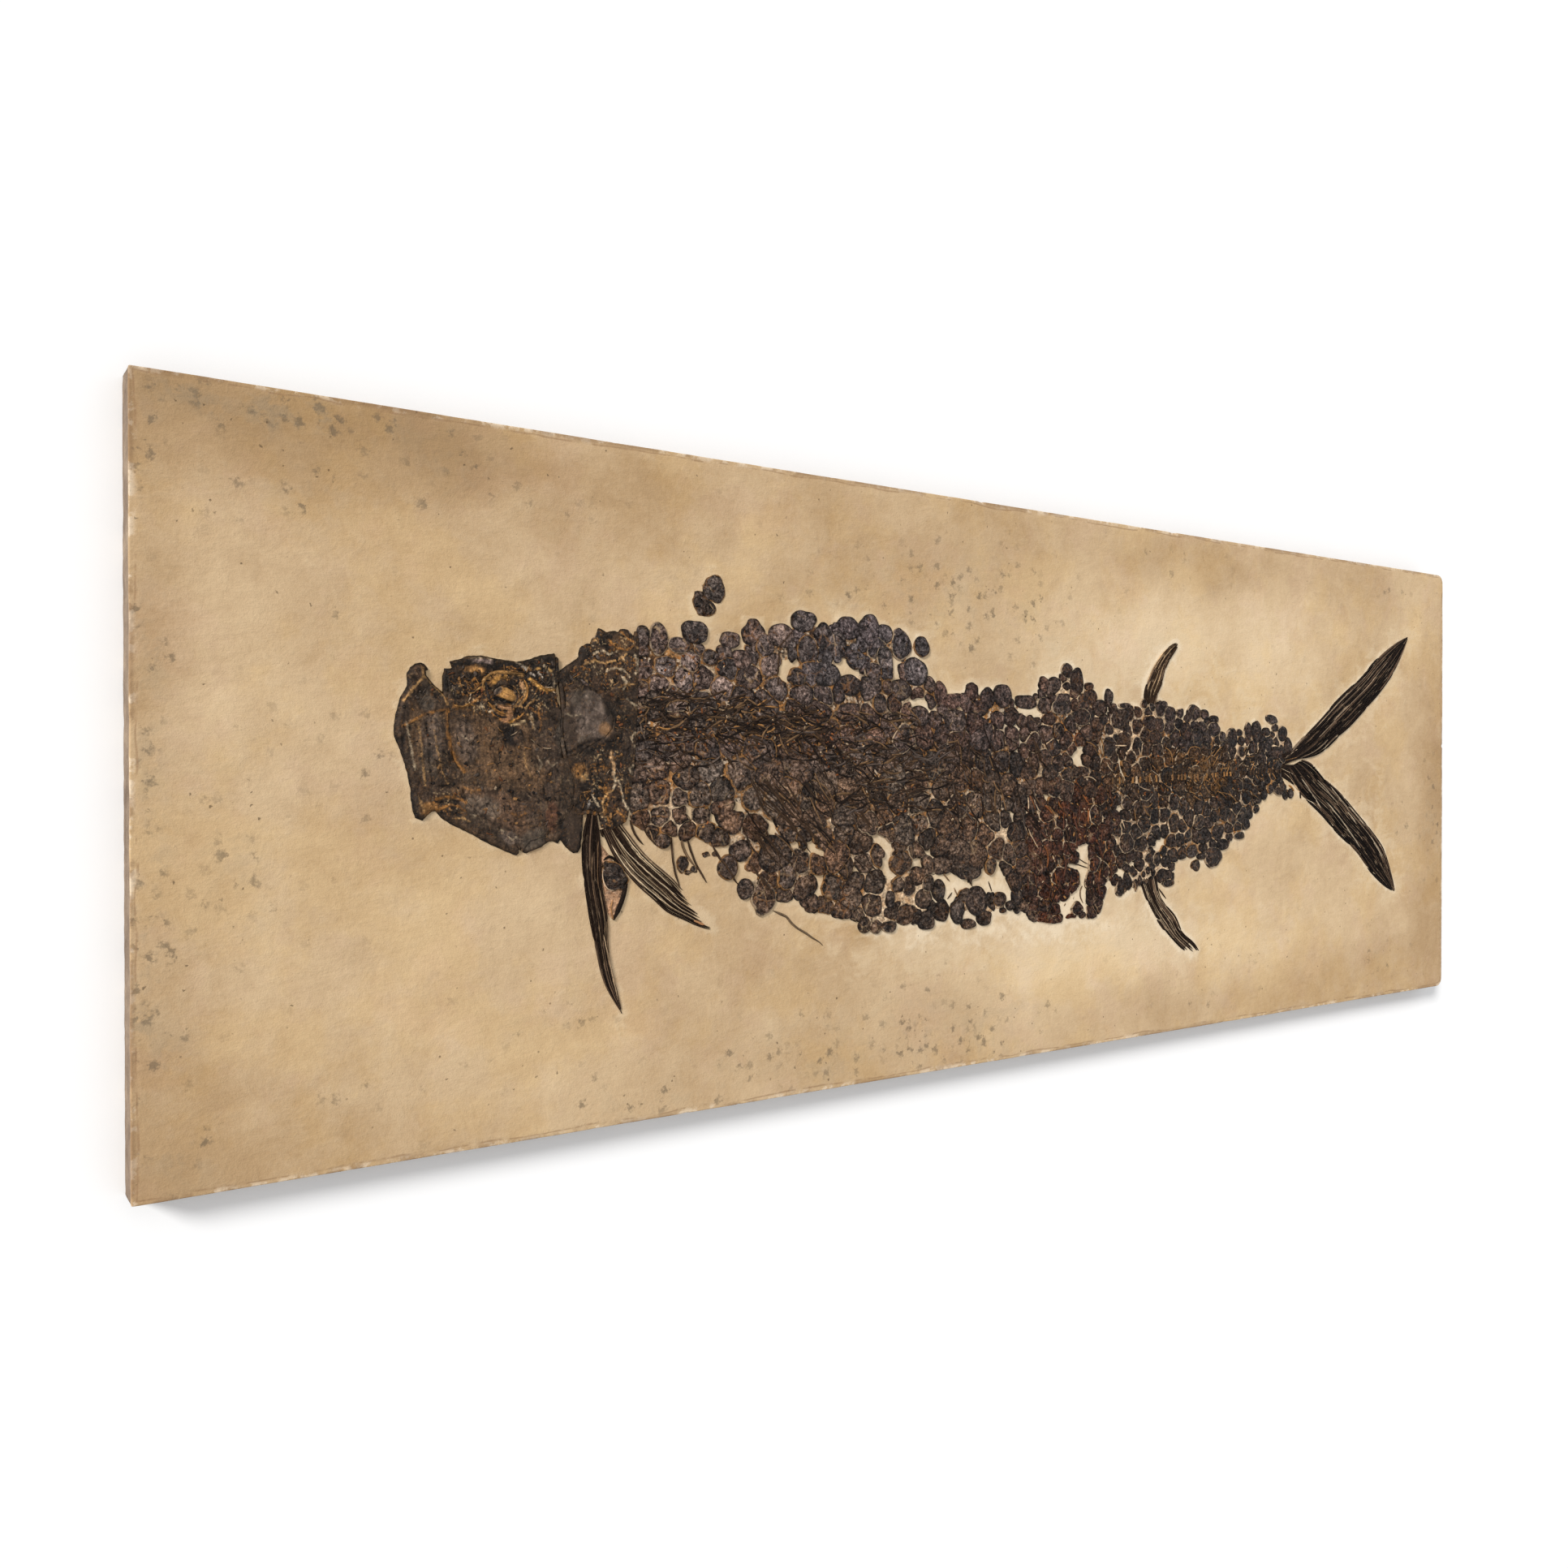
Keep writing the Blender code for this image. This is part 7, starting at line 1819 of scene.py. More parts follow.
    # vertebrae, as pinched beads with short arches above and below
    line = resample(VERTEBRAE, step=7.4)
    ahead = np.gradient(line, axis=0)
    ahead /= np.hypot(*ahead.T)[:, None]
    for i, (c, t) in enumerate(zip(line, ahead)):
        nrm = np.array([-t[1], t[0]])
        share = i / len(line)
        tall = (5.6 - 2.6 * share) * rng.uniform(0.85, 1.15)
        wide = 2.9 * rng.uniform(0.85, 1.1)
        s = np.linspace(-1, 1, 9)
        p = c + np.outer(s * tall, nrm) + np.outer(rng.normal() * 0.5 * s, t)
        z = float(np.max(surface(p[:, 0], p[:, 1]))) - 0.5
        pinch = 0.62 + 0.38 * np.abs(s) ** 1.5
        tint = pick(rng, [(4, OCHRE), (3, rgb(120, 88, 58)), (3, UMBER), (1, CREAM)]) * rng.uniform(0.6, 1.0)
        if c[0] > 470 or rng.random() < 0.25:
            tint = pick(rng, [(3, UMBER), (3, DEEP), (1, rgb(110, 84, 58))]) * rng.uniform(0.7, 1.1)
        strand(rear, p, 2 * wide * pinch, 1.5, z, taper=(0.12, 0.12), sink=1.5, tint=tint, fleck=0.9, groove=0.0,
               run=rng.uniform(0, 300), across=0.0, rnd=rng.uniform(0, 60))
        for way in (1, -1):
            if rng.random() < 0.75:
                length = rng.uniform(12, 26) * (1 - 0.35 * share)
                s2 = np.linspace(0, 1, 7)
                lean = 0.75 + 0.35 * rng.random()
                q = c + nrm * way * tall * 0.8 + np.outer(s2 * length * math.cos(lean), t) + np.outer(s2 * length * math.sin(lean) * way, nrm)
                if np.any(coat_clear.at(q[:, 0], q[:, 1]) > -1):
                    continue
                zz = surface(q[:, 0], q[:, 1])
                zz = np.convolve(np.pad(zz, 1, mode="edge"), np.ones(3) / 3, mode="valid") - 0.3
                tint = pick(rng, [(3, UMBER), (2, DEEP), (2, OCHRE)]) * rng.uniform(0.8, 1.2)
                strand(rear, q, rng.uniform(1.0, 1.9), 0.8, zz, taper=(0.1, 0.5), tint=tint, fleck=0.7, groove=0.0,
                       run=rng.uniform(0, 300), across=0.0, rnd=rng.uniform(0, 60))
    obj = rear.build("vertebrae_and_arches", RAY, "ochre_bone")
    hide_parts("vertebral_column")


bones_of_the_back()


def loose_pieces():
    rng = np.random.default_rng(91)
    for name, outline, tint in (("loose_scale_upper", LOOSE_SCALE_UPPER, SLATE * 0.8), ("loose_scale_lower", LOOSE_SCALE_LOWER, DARK * 1.1),
                                ("loose_scale_rear", LOOSE_SCALE_REAR, DARK)):
        o = np.array(outline, float)
        c = o.mean(0)
        th = np.arange(SIDES) / SIDES * 2 * math.pi
        a, r = periodic(np.arctan2(o[:, 1] - c[1], o[:, 0] - c[0]), np.hypot(*(o - c).T))
        radii = np.interp(th, a, r)
        radii = (radii * 2 + np.roll(radii, 1) + np.roll(radii, -1)) / 4
        buf = Buffer()
        disc(buf, rng, c[0], c[1], radii.mean(), radii.mean(), 0, -0.9, 1.5, (0.2, 0.2), None, tint, 0.5, OCHRE, 0.6, 0.5, radii=radii, ground_map=None)
        obj = buf.build(name + "_shell", SCALE, "dark_scale")
        obj.data.set_sharp_from_angle(angle=math.radians(58))
        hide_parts(name)
    buf = Buffer()
    for x, y, rx, ry in CRUMBS:
        disc(buf, rng, x, y, rx, ry, 0, -1.1, 1.0, (0.1, 0.1), None, DARK * 1.1, 0.6, OCHRE, 0.6, 1.8, ground_map=None)
    plate = [(-627, -86), (-615, -85), (-602, -99), (-596, -108.5), (-599.5, -115.6), (-609, -117.6), (-621, -117.6), (-627, -109.5), (-630, -99)]
    o = np.array(plate, float)
    c = o.mean(0)
    th = np.arange(SIDES) / SIDES * 2 * math.pi
    a, r = periodic(np.arctan2(o[:, 1] - c[1], o[:, 0] - c[0]), np.hypot(*(o - c).T))
    disc(buf, rng, c[0], c[1], 15, 15, 0, 1.0, 1.4, (0.2, 0.2), None, DARK, 0.8, OCHRE, 0.8, 0.5, radii=np.interp(th, a, r), ground_map=None)
    buf.build("scale_crumbs", SCALE, "dark_scale")
    buf = Buffer()
    p = resample(LOOSE_RIB, step=3.0)
    p = p + 0.5 * np.stack([noise2(p[:, 0] / 12, p[:, 1] / 9, 92), noise2(p[:, 0] / 12, p[:, 1] / 9, 93)], 1)
    strand(buf, p, 2.9, 1.7, 39.9, taper=(0.1, 0.3), tint=rgb(96, 80, 62), fleck=0.8, groove=0.0, run=0.0, across=0.0, rnd=3.0)
    q = p[2:-14] + np.array([1.2, -1.6])
    strand(buf, q, 1.5, 1.2, 39.8, taper=(0.1, 0.3), tint=rgb(60, 48, 38), fleck=0.5, groove=0.0, run=40.0, across=0.0, rnd=9.0)
    obj = buf.build("loose_rib_bone", RAY, "fin_ray")
    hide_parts("loose_rib")


loose_pieces()


# ================================================================== the head
EYE = (-742.0, 94.0)


def blob(x, y, cx, cy, rx, ry, turn=0.0):
    """1 in the middle of an ellipse, falling off past its rim."""
    c, s = math.cos(math.radians(turn)), math.sin(math.radians(turn))
    u, v = (x - cx) * c + (y - cy) * s, -(x - cx) * s + (y - cy) * c
    return smooth(1.25, 0.75, np.hypot(u / rx, v / ry))


def lay(tint, much, colour):
    much = np.clip(much, 0, 1)[:, None]
    return tint * (1 - much) + np.asarray(colour)[None] * much


def crushed(x, y, seed, coarse=9.0, fine=3.4, lean=0.0):
    """Relief of crushed bone: broken plates with sharp edges, over finer rubble."""
    c, s = math.cos(lean), math.sin(lean)
    u, v = x * c + y * s, -x * s + y * c
    wx, wy = u + 3.5 * fbm(x / 9, y / 9, seed, 3), v + 3.5 * fbm(x / 9, y / 9, seed + 1, 3)
    f1, f2, who = cells(wx / (coarse * 1.5), wy / coarse, seed + 2)
    g1, g2, who2 = cells(wx / (fine * 1.4), wy / fine, seed + 3)
    crack = smooth(0.16, 0.0, f2 - f1)
    step = (who - 0.5) * 1.3 + (who2 - 0.5) * 0.75
    return step - 0.7 * crack, crack, who, who2


HEAD_PLATES = [LOWER_JAW, SKULL_ROOF, CHEEK_BONES, OPERCULUM, GULAR_PLATES, SHOULDER_GIRDLE, SCALE_COAT]


def plate(name, node, slot, outline, spacing, high, seed, paint, edge=5.0, holes=(), foot=38.8):
    """A head bone: an outline filled with points, raised and coloured by `paint`. Its outer edge falls away
    to the matrix, and an edge that meets another bone stays up."""
    border = resample(outline, step=spacing * 1.05, closed=True, curve=False)
    border = border + 0.55 * np.stack([noise2(border[:, 0] / 5, border[:, 1] / 5, seed + 91),
                                       noise2(border[:, 0] / 5, border[:, 1] / 5, seed + 92)], 1)
    pts, tri = filled(border, holes, spacing, seed)
    x, y = pts[:, 0], pts[:, 1]
    d = -polygon_distance(x, y, [outline])
    others = [p for p in HEAD_PLATES if p is not outline]
    loop = resample(outline, step=1.5, closed=True, curve=False)
    free = polygon_distance(loop[:, 0], loop[:, 1], others) > 3.6
    if free.any():
        out = loop[free]
        outer = np.full(len(x), 1e9)
        for i in range(0, len(out), 64):
            part = out[i:i + 64]
            outer = np.minimum(outer, np.sqrt(((x[:, None] - part[None, :, 0]) ** 2 + (y[:, None] - part[None, :, 1]) ** 2).min(axis=1)))
    else:
        outer = np.full(len(x), 50.0)
    for hole in holes:
        d = np.minimum(d, polygon_distance(x, y, [hole]))
    z, tint, fleck, polish = paint(x, y, outer)
    top = 40.0 + (high + z) * (0.16 + 0.84 * smooth(0.0, edge, outer)) * (0.93 + 0.07 * smooth(0.0, 1.6, d))
    top = np.clip(top, 40.25, TOP_LIMIT)
    buf = Buffer()
    slab_solid(buf, pts, tri, top, foot, tint=np.clip(tint, 0.003, 0.9), fleck=fleck, polish=polish)
    obj = buf.build(name, BONE, slot)
    obj.data.set_sharp_from_angle(angle=math.radians(64))
    if node:
        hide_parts(node)
    return obj


def rubble(x, y, seed, tint, amount=1.0, colours=None):
    """Breaks a colour up into angular fragments of cream, ochre and near black."""
    _, _, who, who2 = crushed(x, y, seed)
    g1, g2, who3 = cells(x / 2.6 + 0.8 * noise2(x / 4, y / 4, seed + 5), y / 2.2, seed + 6)
    colours = colours or ((0.10, OCHRE), (0.07, CREAM), (0.22, DEEP), (0.12, GREY))
    at = 0.0
    for share, colour in colours:
        hit = (who3 >= at) & (who3 < at + share)
        at += share
        tint = lay(tint, hit * amount * (0.5 + 0.5 * who2), np.asarray(colour))
    return tint * (0.78 + 0.44 * who)[:, None]


# the tints that the bones of the head are painted with
BONE_NIGHT, BONE_SOOT, BONE_PEAT, BONE_UMBER = rgb(27, 21, 17), rgb(36, 29, 23), rgb(50, 40, 31), rgb(60, 47, 37)
BONE_BARK, BONE_CLAY, BONE_SHALE, BONE_STONE = rgb(74, 55, 41), rgb(88, 66, 46), rgb(76, 66, 56), rgb(94, 80, 70)
BONE_RUSSET, BONE_HONEY, BONE_SAND = rgb(84, 54, 38), rgb(144, 102, 58), rgb(186, 150, 104)
# which tint shows where on the head, laid one over another: x, y, half length, half height, turn, tint, how much
HEAD_ZONES = [
    (-835, 40, 22, 50, 0, BONE_CLAY, 0.9), (-853, 60, 6, 42, -6, BONE_UMBER, 0.85), (-842, 6, 6, 36, 8, BONE_UMBER, 0.7),
    (-822, 50, 13, 24, 0, BONE_STONE, 0.7), (-826, 12, 10, 26, 4, BONE_SHALE, 0.7), (-836, 116, 9, 8, 0, BONE_BARK, 0.9),
    (-840, 124, 9, 3, 0, BONE_NIGHT, 0.9), (-820, 98, 12, 9, -38, BONE_PEAT, 0.9), (-829, 86, 9, 11, 20, BONE_SHALE, 0.85),
    (-845, 100, 5, 12, 30, BONE_UMBER, 0.8), (-826, -4, 14, 12, 0, BONE_BARK, 0.7), (-838, -20, 9, 12, 0, BONE_UMBER, 0.8),
    (-824, -24, 10, 7, 0, BONE_HONEY, 0.9), (-839, -30, 4, 5, 0, BONE_NIGHT, 0.9),
    (-775, 46, 26, 32, 0, BONE_CLAY, 0.9), (-786, 46, 12, 24, 10, BONE_STONE, 0.6), (-748, 22, 22, 26, -20, BONE_CLAY, 0.75),
    (-722, 40, 12, 26, 0, BONE_CLAY, 0.7), (-786, -6, 17, 6, -4, BONE_CLAY, 0.85), (-750, -30, 46, 20, -22, BONE_BARK, 0.9),
    (-770, -22, 22, 12, -15, BONE_SHALE, 0.7), (-705, -20, 18, 30, 0, BONE_UMBER, 0.8), (-715, 6, 20, 14, 0, BONE_CLAY, 0.7),
    (-766, -40, 44, 8, -24, BONE_PEAT, 0.8), (-738, -56, 12, 6, -24, BONE_STONE, 0.7), (-735, 52, 14, 11, -12, BONE_NIGHT, 0.95),
    (-728, 50, 5, 9, 0, BONE_UMBER, 0.8), (-704, 66, 12, 16, 0, BONE_UMBER, 0.8), (-690, 40, 10, 36, 0, BONE_UMBER, 0.85),
    (-690, 10, 10, 22, 0, BONE_UMBER, 0.7), (-806, 108, 6, 12, 0, BONE_SOOT, 0.95), (-786, 104, 16, 14, -20, BONE_PEAT, 0.9),
    (-780, 84, 22, 8, 0, BONE_CLAY, 0.7), (-750, 128, 52, 6, 4, BONE_SOOT, 0.95), (-778, 121, 12, 4, 0, BONE_HONEY, 0.7),
    (-700, 130, 16, 10, 20, BONE_SOOT, 0.95), (-712, 112, 20, 10, -10, BONE_SOOT, 0.9), (-706, 92, 16, 10, 0, BONE_PEAT, 0.8),
    (-762, 86, 9, 9, 0, BONE_UMBER, 0.95), (-760, 110, 10, 7, 40, BONE_HONEY, 0.95), (-726, 92, 8, 14, 0, BONE_SOOT, 0.8),
    (-744, 76, 9, 7, 0, BONE_HONEY, 0.9), (-728, 72, 9, 6, 0, BONE_CLAY, 0.8), (-694, 108, 9, 12, 0, BONE_PEAT, 0.85),
    (-678, 92, 12, 34, 0, BONE_UMBER, 0.9), (-676, 56, 9, 20, 0, BONE_SHALE, 0.8), (-680, 120, 12, 10, 0, BONE_SOOT, 0.85),
    (-642, 76, 26, 28, 10, BONE_STONE, 0.95), (-634, 66, 16, 16, 0, BONE_STONE, 0.6), (-626, 62, 9, 8, 0, BONE_HONEY, 0.5),
    (-655, 96, 14, 9, 20, BONE_SHALE, 0.7), (-652, 46, 12, 8, 20, BONE_SHALE, 0.8), (-669, 62, 9, 26, 0, BONE_UMBER, 0.85), (-650, 44, 20, 6, 16, BONE_UMBER, 0.7), (-616, 76, 7, 22, 12, BONE_PEAT, 0.8), (-668, -56, 13, 20, 0, BONE_UMBER, 0.9), (-676, -56, 4, 22, 8, BONE_NIGHT, 0.9), (-654, -60, 4, 18, -10, BONE_NIGHT, 0.85), (-711, -60, 14, 13, 0, BONE_SHALE, 0.8),
    (-645, 112, 22, 6, -32, BONE_SOOT, 0.9), (-618, 84, 9, 24, 28, BONE_PEAT, 0.9), (-600, 70, 10, 30, 10, BONE_PEAT, 0.8),
    (-628, 104, 18, 7, -40, BONE_BARK, 0.7), (-632, 40, 26, 6, 12, BONE_SOOT, 0.9), (-640, 26, 22, 9, 0, BONE_PEAT, 0.85),
    (-656, 15, 9, 8, -30, BONE_HONEY, 0.85), (-652, 8, 5, 5, 0, BONE_SAND, 0.7), (-640, -8, 16, 18, 0, BONE_SOOT, 0.9),
    (-672, -8, 9, 26, 0, BONE_PEAT, 0.85), (-690, -34, 7, 16, 0, BONE_RUSSET, 0.7), (-604, 20, 12, 26, 0, BONE_PEAT, 0.85),
    (-600, 46, 12, 14, 0, BONE_UMBER, 0.8), (-612, -16, 10, 24, 10, BONE_BARK, 0.8), (-630, -40, 16, 14, 0, BONE_UMBER, 0.8),
    (-655, 122, 16, 8, 30, BONE_PEAT, 0.9), (-630, 160, 11, 11, 0, BONE_PEAT, 0.95), (-608, 156, 13, 12, 0, BONE_CLAY, 0.8),
    (-622, 138, 20, 8, 10, BONE_BARK, 0.8), (-596, 132, 12, 14, 0, BONE_UMBER, 0.85), (-612, 122, 16, 9, 0, BONE_BARK, 0.8),
    (-593, 164, 8, 8, 0, BONE_UMBER, 0.85), (-594, 104, 12, 12, 0, BONE_UMBER, 0.8), (-645, 142, 10, 8, 30, BONE_PEAT, 0.85),
]
# lines on the head: how much, width, colour, points
TANNISH, OCHREOUS, PALEBONE, BLACKISH = rgb(180, 138, 88), rgb(154, 104, 50), rgb(186, 164, 134), rgb(16, 11, 8)
HEAD_LINES = [
    (0.9, 1.9, TANNISH, [(-832, 119), (-831, 111), (-837, 103), (-844, 95), (-851, 86)]), (0.8, 1.4, TANNISH, [(-830, 112), (-819, 101), (-810, 93), (-806, 84)]),
    (0.8, 1.5, BLACKISH, [(-845, 118), (-842, 125), (-834, 125), (-828, 119)]), (0.7, 1.8, BLACKISH, [(-834, 100), (-838, 90), (-834, 78)]),
    (0.8, 1.5, OCHREOUS, [(-852, 60), (-842, 66), (-832, 72), (-818, 76), (-808, 78)]), (0.8, 2.4, OCHREOUS, [(-806, 78), (-806, 58), (-803, 40), (-797, 24), (-788, 14)]),
    (0.9, 2.2, BLACKISH, [(-806, 46), (-803, 30), (-797, 16)]), (0.6, 1.2, PALEBONE, [(-848, 64), (-846, 50), (-843, 36), (-840, 16)]),
    (0.6, 1.4, BLACKISH, [(-852, 50), (-849, 30), (-845, 8), (-842, -12)]), (0.55, 1.3, TANNISH, [(-836, 60), (-833, 40), (-832, 20), (-829, 0)]),
    (0.5, 1.2, BLACKISH, [(-828, 64), (-825, 44), (-824, 20), (-822, 0)]), (0.5, 1.2, TANNISH, [(-820, 56), (-816, 34), (-812, 16), (-806, 2)]),
    (0.8, 1.5, TANNISH, [(-836, -12), (-832, -22), (-828, -32)]), (0.9, 1.8, BLACKISH, [(-842, -18), (-838, -28), (-834, -36), (-828, -34)]),
    (0.9, 1.8, OCHREOUS, [(-818, -14), (-808, -12), (-798, -12), (-786, -18)]), (0.85, 1.7, OCHREOUS, [(-814, -24), (-804, -20), (-794, -22), (-786, -28)]),
    (0.9, 2.4, BLACKISH, [(-812, -18), (-802, -16), (-794, -17)]), (0.9, 2.2, BLACKISH, [(-806, -28), (-797, -30), (-790, -26)]),
    (0.7, 1.5, TANNISH, [(-800, -34), (-790, -34), (-782, -38)]),
    (0.9, 3.4, rgb(150, 112, 66), [(-768, 101), (-766, 109), (-759, 115), (-748, 118), (-736, 119), (-724, 116)]),
    (0.9, 1.6, BLACKISH, [(-770, 104), (-767, 113), (-758, 120), (-744, 122.5), (-728, 121)]), (0.9, 1.6, BLACKISH, [(-762, 102), (-757, 109), (-748, 112), (-736, 113)]),
    (0.95, 2.2, rgb(184, 136, 70), [(-716, 114), (-710, 109), (-704, 103.5), (-696, 102), (-687, 101.5)]), (0.8, 1.6, BLACKISH, [(-712, 119), (-704, 111), (-694, 107), (-686, 106)]),
    (0.85, 1.5, TANNISH, [(-724, 108), (-720, 101), (-722, 92), (-727, 84)]), (0.85, 1.5, TANNISH, [(-734, 104), (-729, 98), (-728, 90), (-732, 83)]),
    (0.8, 1.4, TANNISH, [(-727, 84), (-720, 81), (-716, 87), (-711, 90)]), (0.8, 1.4, OCHREOUS, [(-760, 79), (-754, 72), (-746, 68), (-737, 68)]),
    (0.8, 1.3, PALEBONE, [(-771, 86), (-768, 79), (-761, 77), (-754, 80), (-753, 87)]), (0.8, 1.6, OCHREOUS, [(-800, 82), (-790, 80), (-782, 84), (-774, 90)]),
    (0.8, 1.5, OCHREOUS, [(-796, 96), (-786, 93), (-778, 98), (-772, 106)]), (0.75, 1.3, OCHREOUS, [(-790, 110), (-782, 106), (-776, 112)]),
    (0.7, 1.4, TANNISH, [(-712, 60), (-713, 68), (-718, 76)]), (0.6, 1.3, OCHREOUS, [(-705, 56), (-702, 66), (-706, 78), (-702, 88)]),
    (0.7, 1.3, PALEBONE, [(-701, 132), (-697, 125), (-694, 118)]), (0.6, 1.2, PALEBONE, [(-730, 130), (-722, 126), (-714, 124)]), (0.6, 1.2, PALEBONE, [(-780, 131), (-768, 133), (-758, 131)]),
    (0.3, 1.1, PALEBONE, [(-690, 120), (-687, 112), (-688, 104)]), (0.8, 2.0, BLACKISH, [(-748, 62), (-740, 62), (-730, 66), (-720, 70)]),
    (0.6, 1.5, BLACKISH, [(-760, 40), (-754, 30), (-750, 16)]), (0.5, 1.3, BLACKISH, [(-784, 60), (-780, 44), (-776, 30)]), (0.5, 1.3, PALEBONE, [(-790, 52), (-784, 46), (-780, 48)]),
    (0.6, 1.6, BLACKISH, [(-714, 40), (-712, 26), (-706, 12)]), (0.5, 1.4, TANNISH, [(-722, 34), (-720, 20), (-714, 8)]), (0.55, 1.3, PALEBONE, [(-706, 30), (-702, 22), (-706, 14)]),
    (0.6, 1.3, PALEBONE, [(-696, 26), (-690, 20), (-684, 24)]), (0.6, 1.4, OCHREOUS, [(-788, -2), (-778, -6), (-768, -4)]), (0.6, 1.5, BLACKISH, [(-800, -10), (-786, -13), (-772, -12)]),
    (0.6, 1.4, OCHREOUS, [(-736, -30), (-728, -34), (-720, -30)]), (0.7, 1.5, BLACKISH, [(-740, -40), (-726, -44), (-712, -40)]), (0.6, 1.6, BLACKISH, [(-700, 6), (-698, -12), (-690, -26)]),
    (0.7, 1.5, PALEBONE, [(-740, -54), (-735, -58), (-730, -56)]), (0.6, 1.3, PALEBONE, [(-752, -46), (-746, -48)]), (0.5, 1.2, PALEBONE, [(-782, -30), (-776, -32)]),
    (0.85, 2.4, BLACKISH, [(-672, 34), (-660, 40), (-648, 47), (-634, 50), (-620, 48), (-608, 52)]), (0.8, 2.4, BLACKISH, [(-668, 118), (-655, 114), (-642, 106), (-630, 96), (-620, 84), (-612, 70)]),
    (0.8, 1.5, BLACKISH, [(-669, 67), (-661, 69), (-653, 73), (-651, 68), (-655, 62)]), (0.55, 1.2, PALEBONE, [(-674, 77), (-665, 74), (-657, 77)]),
    (0.4, 1.0, rgb(140, 122, 108), [(-650, 98), (-640, 84), (-628, 78)]), (0.4, 1.0, rgb(50, 42, 37), [(-660, 90), (-648, 82), (-636, 72), (-624, 70)]),
    (0.4, 1.0, rgb(140, 122, 108), [(-662, 58), (-652, 54), (-640, 58)]), (0.5, 1.2, rgb(50, 42, 37), [(-672, 100), (-666, 84), (-668, 70)]),
    (0.9, 2.8, rgb(178, 140, 100), [(-619, 36), (-618, 28), (-615, 20), (-616, 12)]), (0.9, 1.8, PALEBONE, [(-616, 14), (-614, 4), (-616, -4)]), (0.8, 1.6, PALEBONE, [(-610, 4), (-606, -6), (-604, -18), (-598, -28)]),
    (0.8, 1.6, OCHREOUS, [(-626, -4), (-622, -16), (-626, -28), (-622, -40)]), (0.8, 1.4, TANNISH, [(-616, -6), (-624, -10), (-630, -20), (-628, -32)]), (0.8, 1.5, OCHREOUS, [(-612, -30), (-604, -36), (-600, -44)]),
    (0.9, 1.3, PALEBONE, [(-642, -12), (-637, -20), (-634, -24)]), (0.8, 1.6, rgb(120, 112, 104), [(-645, -18), (-650, -34), (-654, -50)]), (0.7, 1.6, OCHREOUS, [(-662, 22), (-658, 12), (-650, 6)]),
    (0.8, 1.4, PALEBONE, [(-600, 96), (-593, 91), (-586, 88), (-578, 87)]), (0.8, 1.4, PALEBONE, [(-606, 121), (-600, 114), (-604, 106)]), (0.8, 1.4, TANNISH, [(-590, 112), (-600, 112), (-610, 108)]),
    (0.85, 1.6, TANNISH, [(-652, 132), (-640, 136), (-626, 134), (-612, 138), (-600, 146)]), (0.8, 1.4, PALEBONE, [(-640, 144), (-630, 148), (-622, 144), (-612, 148)]), (0.8, 1.5, OCHREOUS, [(-622, 160), (-612, 152), (-600, 150), (-590, 156)]),
    (0.8, 1.4, PALEBONE, [(-624, 126), (-614, 130), (-604, 128), (-596, 120)]), (0.8, 1.3, PALEBONE, [(-590, 146), (-586, 136), (-588, 124)]), (0.7, 1.4, OCHREOUS, [(-606, 170), (-600, 164), (-592, 160)]),
    (0.7, 1.3, TANNISH, [(-645, 154), (-638, 160), (-636, 168)]), (0.7, 1.3, PALEBONE, [(-588, 60), (-594, 52), (-590, 42)]), (0.7, 1.3, PALEBONE, [(-588, 24), (-596, 18), (-592, 8)]),
    (0.8, 2.0, BLACKISH, [(-668, -14), (-660, -24), (-648, -30)]), (0.7, 2.2, BLACKISH, [(-680, -14), (-682, -30), (-678, -46)]),
    (1.1, 3.6, rgb(160, 118, 84), [(-750, 84), (-744, 83), (-739, 82)]), (1.2, 1.5, BLACKISH, [(-751, 80), (-746, 78), (-741, 79)]),
    (1.1, 4.2, rgb(160, 116, 82), [(-745, 69), (-740, 71), (-737, 76)]), (1.1, 1.3, BLACKISH, [(-736, 76), (-728, 76)]),
    (1.1, 3.4, rgb(172, 124, 64), [(-756, 108), (-750, 113), (-742, 115)]), (1.1, 2.6, rgb(158, 118, 82), [(-729, 110), (-725, 107), (-723, 102)]),
    (0.9, 2.8, rgb(150, 128, 118), [(-777, 129), (-767, 130), (-758, 129)]), (1.0, 3.0, rgb(170, 124, 72), [(-779, 120), (-773, 121), (-769, 119)]),
    (0.9, 1.2, OCHREOUS, [(-742, 124), (-736, 125), (-731, 123)]), (1.0, 1.1, rgb(196, 180, 162), [(-724, 126), (-720, 123)]),
    (1.0, 1.2, rgb(196, 180, 162), [(-714, 119), (-710, 117)]), (1.0, 1.2, rgb(186, 168, 148), [(-705, 120), (-702, 116)]),
    (1.0, 2.0, rgb(178, 134, 76), [(-708, 124), (-704, 125)]), (1.0, 2.0, rgb(178, 138, 84), [(-696, 126), (-691, 122)]),
    (1.0, 1.4, rgb(176, 126, 60), [(-738, 66), (-732, 69), (-726, 74)]), (1.0, 1.4, rgb(188, 160, 120), [(-736, 63), (-728, 65), (-721, 68)]),
    (1.0, 1.6, BLACKISH, [(-716, 68), (-714, 62)]), (1.0, 1.2, rgb(170, 146, 116), [(-713, 76), (-714, 68), (-710, 60)]),
]


